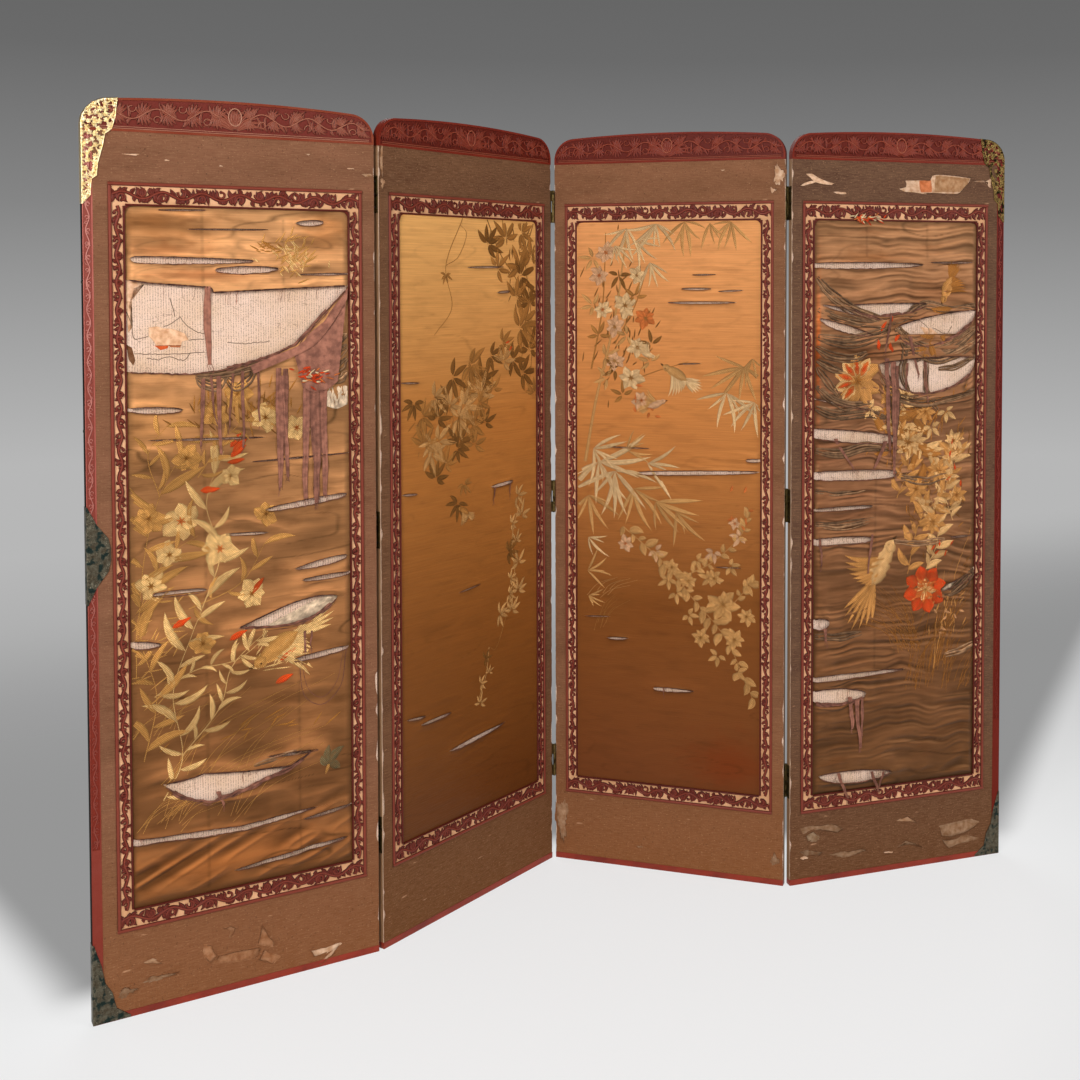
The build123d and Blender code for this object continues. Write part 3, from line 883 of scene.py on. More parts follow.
# each leaf's cloth has its own colours: its colour, its second one, and its colour near the floor
MOUNT_CLOTHS = {
    leaf: Brocade(f"cotton_brocade_woven_{leaf}", colour, second, 0.9, low=low)
    for leaf, colour, second, low in (
        (1, "#81553D", "#6D4630", "#81502F"), (2, "#6F4B32", "#5E3D28", "#6F4626"),
        (3, "#86593E", "#714930", "#86532F"), (4, "#664835", "#53382A", "#664025"),
    )
}
SATINS = {
    1: Satin("silk_satin_woven_gold", "#C8905F", "#6A4225", 0.36, fade=("#8A5A35", "#AD784C")),
    # leaf 2's colours are lighter than its dye, most at the top, as painted reflection of the satin's sheen
    2: Satin("silk_satin_woven_amber", "#F6B76C", "#623412", 0.38, fade=("#8D5322", "#BF7939"), stained=0.16),
    3: Satin("silk_satin_woven_honey", "#F0A466", "#6F3B1E", 0.38, fade=("#854D21", "#D28647"), stained=0.22),
    4: Satin("silk_satin_woven_tan", "#906443", "#51331D", 0.36, fade=("#68432A", "#83583C")),
}
FLOSS = FlossStitch("silk_floss_satin_stitched", "#FFFFFF", "#8A5422", 0.5)
LINING = Paper("mulberry_paper_ruled_and_pasted", "#ECCCB6", "#E0BC9D", 0.9, ruled=True)
BORDER_GROUND = Paper("rose_silk_pasted_on_paper", "#EDB58A", "#D29A6E", 0.8)
BARE_PAPER = TornPaper("mulberry_paper_torn", "#DDBBA0", "#B98D6C", 0.95)
SHRED_SILK = TornPaper("silk_satin_reverse_torn", "#A66D58", "#7D5041", 0.6)
BACK_PAPER = Paper("mulberry_paper_dyed_and_pasted", "#6E5138", "#5E432D", 0.85, sheet=430.0)
CORE_WOOD = Timber("cypress_planed", "#9A7550", "#7A5636", 0.7)
GILT = Metal("brass_gilt_and_chased", "#FFEBBE", "#FFDA90", 0.3, 1.0, tarnish="#332C21", spread=0.66)
OLD_GILT = Metal("brass_gilt_and_chased_aged", "#957B48", "#6E5832", 0.42, 1.0, tarnish="#2C2818",
                 spread=0.52)
BRONZE = Metal("bronze_cast_dark", "#6E6858", "#554B3C", 0.48, 1.0, tarnish="#33403B", spread=0.52)
HINGE_BRASS = Metal("brass_rolled_aged", "#7C6A40", "#5A4A2B", 0.5, 1.0, spread=0.55)
HINGE_STEEL = Metal("steel_drawn_dull", "#7A7671", "#5C5852", 0.45, 1.0, tarnish="#4A2E1E", spread=0.55)


# ---------------------------------------------------------------- carved scrolls
# tips of a palmette's lobes: shares of the pitch along the run, and of the reach across it
PALMETTE_TIPS = ((-0.36, 0.5), (-0.27, 0.76), (-0.13, 0.95), (0.04, 1.0), (0.2, 0.86), (0.32, 0.6))


@dataclass(frozen=True)
class Vine:
    """A running scroll: a waved stem with a curl in each bay and leaves off its crests.

    Attributes:
        pitch: from one curl to the next.
        sway: of the stem to each side.
        stem: the stem's width.
        height: of the carving over its ground.
        curl: radius of the curls.
        leaves: how many leaves grow from each bay.
        seed: of the leaves' lie.
        wide: width of the leaves, in stems.
        lean: how far their tips lie along the run, as shares of the pitch.
        bow: their greatest bend.
        frond: width of the lobes of its palmettes, which some scrolls have.
    """

    pitch: float
    sway: float
    stem: float
    height: float
    curl: float
    leaves: int = 2
    seed: int = 1
    wide: float = 1.35
    lean: Point = (-0.35, 0.35)
    bow: float = 0.25
    frond: float = 0.0

    def carve(self, patches: Patches, course: Course, length: float, reach: float, base: float) -> None:
        """Carves the scroll along a course.

        Args:
            patches: takes the carving.
            course: turns distances along and across the run to the front view.
            length: of the run.
            reach: from the run's middle line to its rims.
            base: depth of the ground.
        """
        count = max(2, round(length / self.pitch))
        pitch = length / count
        draw = random.Random(self.seed)
        along = np.linspace(0, length, count * 8 + 1)
        self.bar(patches, course(along, self.stray(along, pitch)), self.stem, base)
        if self.frond:
            self.palmettes(patches, course, pitch, count, reach, base)
        turn = np.radians(np.linspace(165, 455, 13))
        swirl = np.linspace(self.curl, self.curl * 0.5, 13)
        for i in range(count):
            side = 1 if i % 2 == 0 else -1
            middle = pitch * (i + 0.5)
            eye = -side * (reach - self.curl) * 0.72
            path = course(middle + np.cos(turn) * swirl, eye - side * np.sin(turn) * swirl)
            self.bar(patches, path, np.linspace(self.stem * 0.8, self.stem * 0.6, 13), base)
            x, z = path[-1]
            knob = self.stem * 0.55
            patches.petal((x - knob, z), (x + knob, z), 2 * knob, self.height * 1.1, base)
            for j in range(self.leaves):
                start = middle + pitch * draw.uniform(-0.5, 0.5)
                ahead = start + pitch * draw.uniform(*self.lean)
                out = (side if j % 2 else -side) * reach * draw.uniform(0.78, 0.98)
                width = self.stem * self.wide * draw.uniform(0.8, 1.2)
                root = course(start, self.stray(start, pitch))
                patches.petal(root, course(ahead, out), width, self.height, base,
                              self.bow * draw.uniform(-1, 1))

    def palmettes(self, patches: Patches, course: Course, pitch: float, count: int, reach: float,
                  base: float) -> None:
        """Carves a fan of bent lobes to each side wherever the stem crosses the middle line.

        Args:
            patches: takes the carving.
            course: turns distances along and across the run to the front view.
            pitch: of the bays.
            count: of the bays.
            reach: from the run's middle line to its rims.
            base: depth of the ground.
        """
        for i in range(count + 1):
            for side in (-1, 1):
                for ahead, out in PALMETTE_TIPS:
                    patches.petal(course(pitch * i, 0.0), course(pitch * (i + ahead), side * reach * out),
                                  self.frond, self.height, base, side * (0.3 * ahead + 0.12))

    def stray(self, along: np.ndarray | float, pitch: float) -> np.ndarray | float:
        """How far the stem lies to the side of the run's middle line."""
        return self.sway * np.sin(np.pi * along / pitch)

    def bar(self, patches: Patches, path: np.ndarray, width: np.ndarray | float, base: float) -> None:
        """Adds a stem, with painted shade at its feet and a painted highlight down its middle, by its tone.
        """
        patches.add(bar(path, width, self.height, base), BAR_RISE * 0.9)


def straight(origin: Point, upright: bool) -> Course:
    """A straight course from a point, up the leaf or across it.

    Args:
        origin: where the course starts.
        upright: up the leaf, or else across it.

    Returns:
        What turns a place along the course, and one beside it, to points of the front view.
    """
    def course(along: np.ndarray | float, across: np.ndarray | float) -> np.ndarray:
        """Points at distances along and across the run."""
        pair = (across, along) if upright else (along, across)
        return np.stack([origin[0] + pair[0], origin[1] + pair[1]], -1)
    return course


@dataclass
class PiercedBorder:
    """The pierced and carved border round a leaf's picture."""

    leaf: Leaf
    side_vine: Vine = Vine(26.0, 3.2, 6.2, 3.2, 6.6, leaves=3, seed=5, wide=1.25)
    end_vine: Vine = Vine(36.0, 6.4, 6.4, 3.2, 8.8, leaves=9, seed=9, wide=1.4)
    thickness: float = 4.0
    corner: float = 13.0

    def build(self) -> None:
        """Makes the top, bottom and side strips and the silk ground behind them."""
        top, bottom = self.leaf.box("fret_top"), self.leaf.box("fret_bottom")
        silk = self.leaf.box("silk_panel")
        opening = Box(silk.left + TUCK, silk.right - TUCK, 0, 0, silk.bottom + TUCK, silk.top - TUCK)
        border = Box(top.left, top.right, 0, 0, bottom.bottom, top.top)
        self.end_strip("fret_top", border, opening, 1)
        self.end_strip("fret_bottom", border, opening, -1)
        sides = Patches()
        for outer, inner, way in ((border.left, opening.left, 1), (border.right, opening.right, -1)):
            rim, lip = outer + way * OUTER_RIM, inner - way * INNER_RIM
            self.rim(sides, ((outer + rim) / 2, opening.bottom), ((outer + rim) / 2, opening.top), OUTER_RIM)
            self.rim(sides, ((inner + lip) / 2, opening.bottom), ((inner + lip) / 2, opening.top), INNER_RIM)
            course = straight(((rim + lip) / 2, opening.bottom), True)
            self.side_vine.carve(sides, course, opening.top - opening.bottom, abs(lip - rim) / 2, GROUND)
        self.finish(sides, "fret_sides")
        self.ground(border, opening)

    def end_strip(self, node: str, border: Box, opening: Box, way: int) -> None:
        """Makes a strip across the leaf.

        Args:
            node: that it stands for.
            border: outline of the whole border.
            opening: outline of the picture.
            way: 1 for the top strip, which also rounds the picture's corners, and -1 for the bottom one.
        """
        patches = Patches()
        outer, inner = (border.top, opening.top) if way > 0 else (border.bottom, opening.bottom)
        rim, lip = outer - way * OUTER_RIM, inner + way * INNER_RIM
        self.rim(patches, (border.left, (outer + rim) / 2), (border.right, (outer + rim) / 2), OUTER_RIM)
        self.rim(patches, (opening.left, (inner + lip) / 2), (opening.right, (inner + lip) / 2), INNER_RIM)
        for x in (border.left + OUTER_RIM / 2, border.right - OUTER_RIM / 2):
            self.rim(patches, (x, min(rim, inner)), (x, max(rim, inner)), OUTER_RIM)
        course = straight((border.left + OUTER_RIM, (rim + lip) / 2), False)
        self.end_vine.carve(patches, course, border.right - border.left - 2 * OUTER_RIM, abs(rim - lip) / 2,
                            GROUND)
        if way > 0:
            self.spandrel(patches, (opening.left, opening.top), -1)
            self.spandrel(patches, (opening.right, opening.top), 1)
        self.finish(patches, node)

    def rim(self, patches: Patches, start: Point, end: Point, width: float) -> None:
        """Adds a plain fillet with painted shade at its feet, and on the wide outer one a painted highlight
        along its top.
        """
        crown = 0.86 if width == OUTER_RIM else 0.66
        grid = bar(np.array([start, end], float), width, self.thickness, GROUND)
        patches.add(grid, (0.3, crown, crown, crown, 0.3))

    def spandrel(self, patches: Patches, corner: Point, side: int) -> None:
        """Adds the solid web that rounds an upper corner of the opening.

        Args:
            patches: takes the web.
            corner: of the square opening.
            side: 1 for the right corner and -1 for the left one.
        """
        angles = np.radians(np.linspace(0, 90, 9))
        arc = np.stack([np.cos(angles), np.sin(angles)], 1)
        square = arc / np.abs(arc).max(1, keepdims=True)
        centre = np.array([corner[0] - side * self.corner, corner[1] - self.corner])
        spread = np.array([side, 1]) * self.corner
        inner, outer = centre + arc * spread, centre + square * spread
        front = GROUND - self.thickness
        rows = [(inner, GROUND), (inner, front + 0.6), (inner * 0.9 + outer * 0.1, front), (outer, front)]
        # painted shade: the web's tone darkens its foot
        patches.add(np.stack([raised(plan, depth) for plan, depth in rows], 1), (0.2, 0.6, 0.75, 0.7))

    def finish(self, patches: Patches, node: str) -> None:
        """Makes a strip's piece, which stands for its CAD node."""
        piece = patches.piece(self.leaf.node(f"{node}_carving"), self.leaf, FRET_LACQUER, "carved_fret")
        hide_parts(self.leaf.node(node))

    def ground(self, border: Box, opening: Box) -> None:
        """Makes the ring of rose silk that shows through the piercings.

        Args:
            border: its outer edges.
            opening: its inner ones.
        """
        patches = Patches()
        corners = ((0, 0), (1, 0), (1, 1), (0, 1), (0, 0))
        edges = [np.array([((b.left, b.right)[i], (b.bottom, b.top)[j]) for i, j in corners])
                 for b in (border, opening)]
        patches.add(raised(np.stack(edges, 1), GROUND + 0.02))
        patches.piece(self.leaf.node("border_ground"), self.leaf, BORDER_GROUND, "lining_paper")


# petals of the crest's lotus: angle in degrees, length and width in shares of its height, and rise
LOTUS_PETALS = ((4, 1.3, 0.15, 2.2), (16, 1.25, 0.17, 2.4), (30, 1.15, 0.19, 2.6), (46, 1.05, 0.2, 2.8),
                (62, 1.0, 0.2, 2.9), (76, 0.98, 0.18, 2.7))


@dataclass
class CrestCarving:
    """The lotus and scrolling leaves carved in a crest rail."""

    leaf: Leaf
    drop: float = 12.0
    vine: Vine = Vine(50.0, 10.0, 3.6, 2.7, 8.5, leaves=6, seed=3, wide=1.6, lean=(0.0, 0.4), bow=0.3,
                      frond=6.4)
    heart: float = 30.0      # half the width that the lotus keeps to itself
    margin: float = 20.0     # from the scroll's end to the rail's

    def build(self) -> None:
        """Makes the carving, which lies in the crest's sunk field."""
        patches = Patches()
        rail = self.leaf.box("crest_rail")
        middle = (rail.left + rail.right) / 2
        low = rail.bottom + CREST_RIM

        def head(x: np.ndarray | float) -> np.ndarray | float:
            """Height of the field's arched edge."""
            share = (x - middle) / (self.leaf.width / 2)
            shoulder = np.clip((np.abs(share) - 0.83) / 0.17, 0, 1)
            return rail.top - CREST_RIM - self.drop * share**2 - 26 * shoulder**2

        reach, length = 24.0, self.leaf.width / 2 - self.heart - self.margin
        for side in (-1, 1):
            def course(along: np.ndarray | float, across: np.ndarray | float, side: int = side) -> np.ndarray:
                """Points along one half of the field, from the lotus outwards."""
                x = middle + side * (self.heart + along)
                top = head(x)
                return np.stack([x, (low + 5 + top) / 2 + across * (top - low - 5) / (2 * reach + 4)], -1)
            self.vine.carve(patches, course, length, reach, CREST_FIELD)
        self.lotus(patches, (middle, low + 6), float(head(middle) - low) - 10)
        # two fillets along the foot, whose tone of 0.9 paints them part way to the highlight colour
        for rise, width in ((1.0, 1.6), (4.4, 1.4)):
            path = np.array([(rail.left + 10, low + rise), (rail.right - 10, low + rise)])
            patches.add(bar(path, width, 1.3, CREST_FIELD), 0.9)
        patches.piece(self.leaf.node("crest_carving"), self.leaf, CRESTS[self.leaf.number][1],
                      "dark_red_lacquer")

    def lotus(self, patches: Patches, foot: Point, size: float) -> None:
        """Adds the flower: a round bud in a ring, and a fan of long bent petals to each side.

        Args:
            patches: takes the carving.
            foot: of the flower.
            size: its height.
        """
        for angle, length, width, lift in LOTUS_PETALS:
            for turn, bow in ((angle, 0.16), (180 - angle, -0.16)):
                root, tip = polar(foot, turn, size * 0.08), polar(foot, turn, size * length)
                patches.petal(root, tip, size * width, lift, CREST_FIELD, bow)
        bud = (foot[0], foot[1] + size * 0.56)
        angles = np.linspace(0, 2 * np.pi, 25)
        ring = np.array(bud) + np.stack([np.cos(angles) * 0.25, np.sin(angles) * 0.34], 1) * size
        # the ring's tone paints shade at its feet and a highlight on its crest
        patches.add(bar(ring, 3.4, 3.4, CREST_FIELD), BAR_RISE)
        for shift in (-0.1, 0.1, 0.0):
            x = bud[0] + shift * size
            patches.petal((x, bud[1] - size * 0.24), (x, bud[1] + size * 0.26), size * 0.18, 3.3, CREST_FIELD)


@dataclass
class StileCarving:
    """The running scroll carved down an outer stile."""

    leaf: Leaf
    vine: Vine = Vine(24.0, 3.2, 2.6, 1.3, 4.0, leaves=3, seed=4, wide=1.0)

    def build(self) -> None:
        """Makes the scroll, from the crest down to where the stile is plain."""
        stile = self.leaf.box("outer_stile")
        patches = Patches()
        middle = (stile.left + stile.right) / 2
        foot = STILE_FIELD_FOOT + STILE_RIM
        course = straight((middle, foot), True)
        reach = (stile.right - stile.left) / 2 - STILE_RIM - 0.6
        self.vine.carve(patches, course, stile.top - STILE_RIM - foot, reach, STILE_FIELD)
        patches.piece(self.leaf.node("stile_carving"), self.leaf, STILES[self.leaf.free_side][1],
                      "red_lacquer")


# ---------------------------------------------------------------- torn satin
@dataclass(frozen=True)
class Tear:
    """A split in the satin.

    Attributes:
        start: its left end, across and up the leaf.
        end: its right end.
        gap: its widest opening.
        blunt: 1 for pointed ends, towards 0 for square ones.
        peak: where along it is widest, as a share.
        above: share of the opening that is over the line between its ends.
        lost: share of the opening where satin is gone, and not just drawn together.
        via: corners of the line between the ends.
        profile: shares along it and of its gap, in place of an even opening.
    """

    start: Point
    end: Point
    gap: float
    blunt: float = 0.5
    peak: float = 0.5
    above: float = 0.4
    lost: float = 0.8
    via: tuple[Point, ...] = ()
    profile: tuple[Point, ...] = ()

    def line(self, x: np.ndarray) -> np.ndarray:
        """Height of the split before it opened."""
        return np.interp(x, *zip(self.start, *self.via, self.end))

    def opening(self, x: np.ndarray) -> np.ndarray:
        """How far it is open, with a ragged edge.

        Args:
            x: places across the leaf.

        Returns:
            A width for each, 0 past the split's ends.
        """
        share = np.clip((x - self.start[0]) / (self.end[0] - self.start[0]), 0, 1)
        bell = np.clip(np.sin(np.pi * share ** (math.log(0.5) / math.log(self.peak))), 0, 1) ** self.blunt
        if self.profile:
            bell = np.interp(share, *zip(*self.profile))
        row = self.start[1] / 7
        ragged = smooth_noise(x / 7, row, 11) + 0.4 * smooth_noise(x / 3, row, 12)
        return np.maximum(0, self.gap * bell + min(1.3, 0.1 * self.gap) * ragged * np.minimum(1, 3 * bell))


class Laid(NamedTuple):
    """Where points of the uncut satin now lie, which are not lost, and how light they are."""

    z: np.ndarray
    depth: np.ndarray
    whole: np.ndarray
    shade: np.ndarray


SLITS: dict[int, tuple[Tear, ...]] = {
    1: (
        Tear((132, 1519), (222, 1521), 3.0, lost=0.0), Tear((393, 1500), (449, 1503), 11.0),
        Tear((186, 1484), (342, 1486), 2.6, lost=0.0), Tear((84, 1428), (312, 1425), 14.0, 0.45, 0.22, 0.3),
        Tear((236, 1407), (358, 1410), 15.0, 0.5, 0.45), Tear((400, 1399), (505, 1401), 4.0, lost=0.2),
        Tear((50, 1392), (499, 1377), 172.0, above=0.0, lost=1.0,
             via=((115, 1382), (228, 1374), (231, 1364), (393, 1372)),
             profile=((0.0, 0.99), (0.17, 0.985), (0.33, 0.97), (0.396, 0.94), (0.403, 0.878), (0.465, 0.866),
                      (0.62, 0.773), (0.75, 0.663), (0.84, 0.424), (0.987, 0.046), (1.0, 0.0))),
        Tear((60, 1147), (173, 1142), 12.0, 0.4, 0.6), Tear((110, 1087), (330, 1081), 3.5, lost=0.1),
        Tear((300, 1034), (500, 1040), 3.0, lost=0.0), Tear((330, 938), (492, 957), 12.0, 0.3),
        Tear((250, 897), (333, 893), 5.5, lost=0.2), Tear((386, 816), (492, 832), 13.0, 0.4, 0.6),
        Tear((400, 792), (500, 797), 9.0, 0.4), Tear((115, 795), (212, 795), 11.0, 0.35),
        Tear((272, 712), (470, 752), 44.0, 0.7, 0.62, 0.35), Tear((60, 708), (128, 700), 14.0, 0.6, 0.5),
        Tear((380, 634), (494, 646), 10.0, 0.3), Tear((328, 450), (430, 446), 6.0, 0.6),
        Tear((130, 430), (423, 449), 58.0, above=0.0, lost=0.8,
             via=((187, 434), (204, 439), (282, 429), (372, 424)),
             profile=((0.0, 0.0), (0.1, 0.49), (0.28, 1.0), (0.43, 0.81), (0.64, 0.39), (0.83, 0.07),
                      (1.0, 0.0))),
        Tear((50, 333), (430, 330), 14.0, lost=0.5, via=((144, 327), (282, 319), (345, 323)),
             profile=((0.0, 1.0), (0.2, 0.6), (0.4, 0.85), (0.6, 0.7), (0.85, 0.5), (1.0, 0.0))),
        Tear((398, 311), (500, 322), 6.0, lost=0.4), Tear((262, 237), (487, 257), 8.0, 0.4, lost=0.5),
    ),
    2: (
        Tear((264, 1417), (386, 1419), 3.4, lost=0.0), Tear((362, 1361), (406, 1364), 4.5, lost=0.1),
        Tear((58, 1174), (113, 1171), 3.0, lost=0.0), Tear((340, 923), (412, 928), 8.0, 0.4),
        Tear((62, 939), (104, 936), 4.0, lost=0.1), Tear((232, 702), (302, 709), 2.4, lost=0.0),
        Tear((70, 461), (126, 456), 5.0, 0.7), Tear((112, 441), (206, 444), 6.5, 0.7, 0.4),
        Tear((200, 360), (384, 375), 10.0, 0.8, 0.4),
    ),
    3: (
        Tear((338, 1401), (395, 1402), 2.4, lost=0.0), Tear((312, 1369), (384, 1369), 5.0, lost=0.0),
        Tear((400, 1363), (458, 1366), 3.0, lost=0.0), Tear((278, 1337), (442, 1338), 5.0, lost=0.1),
        Tear((304, 1195), (358, 1197), 2.2, lost=0.0), Tear((130, 997), (236, 996), 2.4, lost=0.0),
        Tear((205, 938), (498, 951), 10.0, 0.4, 0.4), Tear((466, 977), (503, 978), 8.0, 0.5),
        Tear((394, 727), (456, 728), 2.2, lost=0.0), Tear((75, 591), (137, 594), 2.4, lost=0.0),
        Tear((131, 543), (182, 545), 6.0, 0.6), Tear((246, 432), (344, 433), 9.0, 0.6, 0.3),
    ),
    4: (
        Tear((50, 1423), (334, 1425), 15.0, 0.4, 0.35), Tear((352, 1430), (470, 1431), 4.0, lost=0.2),
        Tear((150, 1331), (346, 1334), 30.0, 0.6, 0.4, 0.1, 0.45),
        Tear((76, 1332), (228, 1297), 9.0, 0.6, 0.4, 0.5, 0.4),
        Tear((68, 1301), (208, 1262), 18.0, 0.7, 0.4, 0.2, 0.4),
        Tear((268, 1278), (478, 1316), 68.0, 0.5, 0.45, 0.15, 0.5),
        Tear((222, 1194), (478, 1204), 84.0, 0.45, 0.5, 0.1, 0.55),
        Tear((50, 1120), (210, 1085), 4.0, lost=0.0),
        Tear((50, 1042), (266, 1020), 28.0, 0.25, 0.4), Tear((50, 944), (266, 940), 24.0, 0.2, 0.5),
        Tear((50, 864), (204, 866), 9.0, 0.3), Tear((50, 791), (202, 790), 19.0, 0.25, 0.4),
        Tear((414, 781), (470, 782), 4.0, lost=0.2), Tear((384, 655), (490, 694), 15.0, 0.6),
        Tear((50, 603), (94, 602), 26.0, 0.35), Tear((50, 473), (292, 477), 13.0, 0.6, 0.25),
        Tear((50, 436), (190, 428), 36.0, 0.4, 0.4), Tear((72, 246), (258, 238), 28.0, 0.6, 0.45, 0.3),
    ),
}


@dataclass(frozen=True)
class Stain:
    """A soft-edged place where the silk has changed colour."""

    centre: Point
    reach: Point
    tint: Colour

    def tell(self, x: np.ndarray, z: np.ndarray) -> np.ndarray:
        """What it does to the colour at some places."""
        away = ((x - self.centre[0]) / self.reach[0]) ** 2 + ((z - self.centre[1]) / self.reach[1]) ** 2
        away *= 1 + 0.5 * smooth_noise(x / 16, z / 9, 33)
        return 1 - np.exp(-np.maximum(away, 0))[..., None] * (1 - np.array(self.tint))


# a row for each stain: its centre, its reach and its tint
STAINS: dict[int, tuple[tuple[Point, Point, Colour], ...]] = {
    1: (((120, 1500), (70, 22), (0.72, 0.62, 0.52)), ((135, 1444), (90, 14), (0.7, 0.6, 0.55)),
        ((452, 1470), (50, 34), (0.78, 0.68, 0.58)), ((210, 1398), (110, 12), (0.62, 0.5, 0.45)),
        ((300, 660), (60, 16), (0.85, 0.76, 0.7)), ((230, 262), (230, 44), (1.32, 1.14, 0.9)),
        ((150, 1478), (100, 40), (0.9, 0.82, 0.74)), ((470, 1500), (60, 20), (0.84, 0.76, 0.68)),
        ((120, 1110), (110, 60), (1.12, 1.1, 1.0))),
    2: (((300, 250), (190, 70), (0.96, 0.9, 0.82)),),
    3: (((428, 268), (84, 54), (1.06, 0.7, 0.55)), ((250, 600), (90, 60), (0.95, 0.92, 0.86))),
    4: (((65, 1222), (5, 130), (2.0, 0.95, 0.4)), ((200, 1440), (80, 16), (0.7, 0.6, 0.5)),
        ((170, 1216), (110, 20), (0.6, 0.5, 0.42)), ((380, 1360), (90, 30), (0.75, 0.66, 0.6)),
        ((300, 1290), (60, 30), (0.62, 0.55, 0.5)), ((120, 1165), (110, 75), (0.62, 0.58, 0.62)),
        ((130, 985), (130, 60), (0.66, 0.62, 0.64)), ((440, 1215), (90, 50), (0.66, 0.62, 0.64)),
        ((130, 860), (120, 40), (0.8, 0.76, 0.78)), ((400, 1075), (110, 32), (0.66, 0.6, 0.6))),
}
# x of each seam in the silk, and the heights that it shows between
SEAMS: dict[int, tuple[tuple[float, float, float], ...]] = {
    1: ((213, 212, 1525), (368, 1378, 1507), (392, 240, 700)),
    2: (),
    3: (),
    4: ((188, 1442, 1526), (345, 1437, 1518), (213, 470, 930)),
}


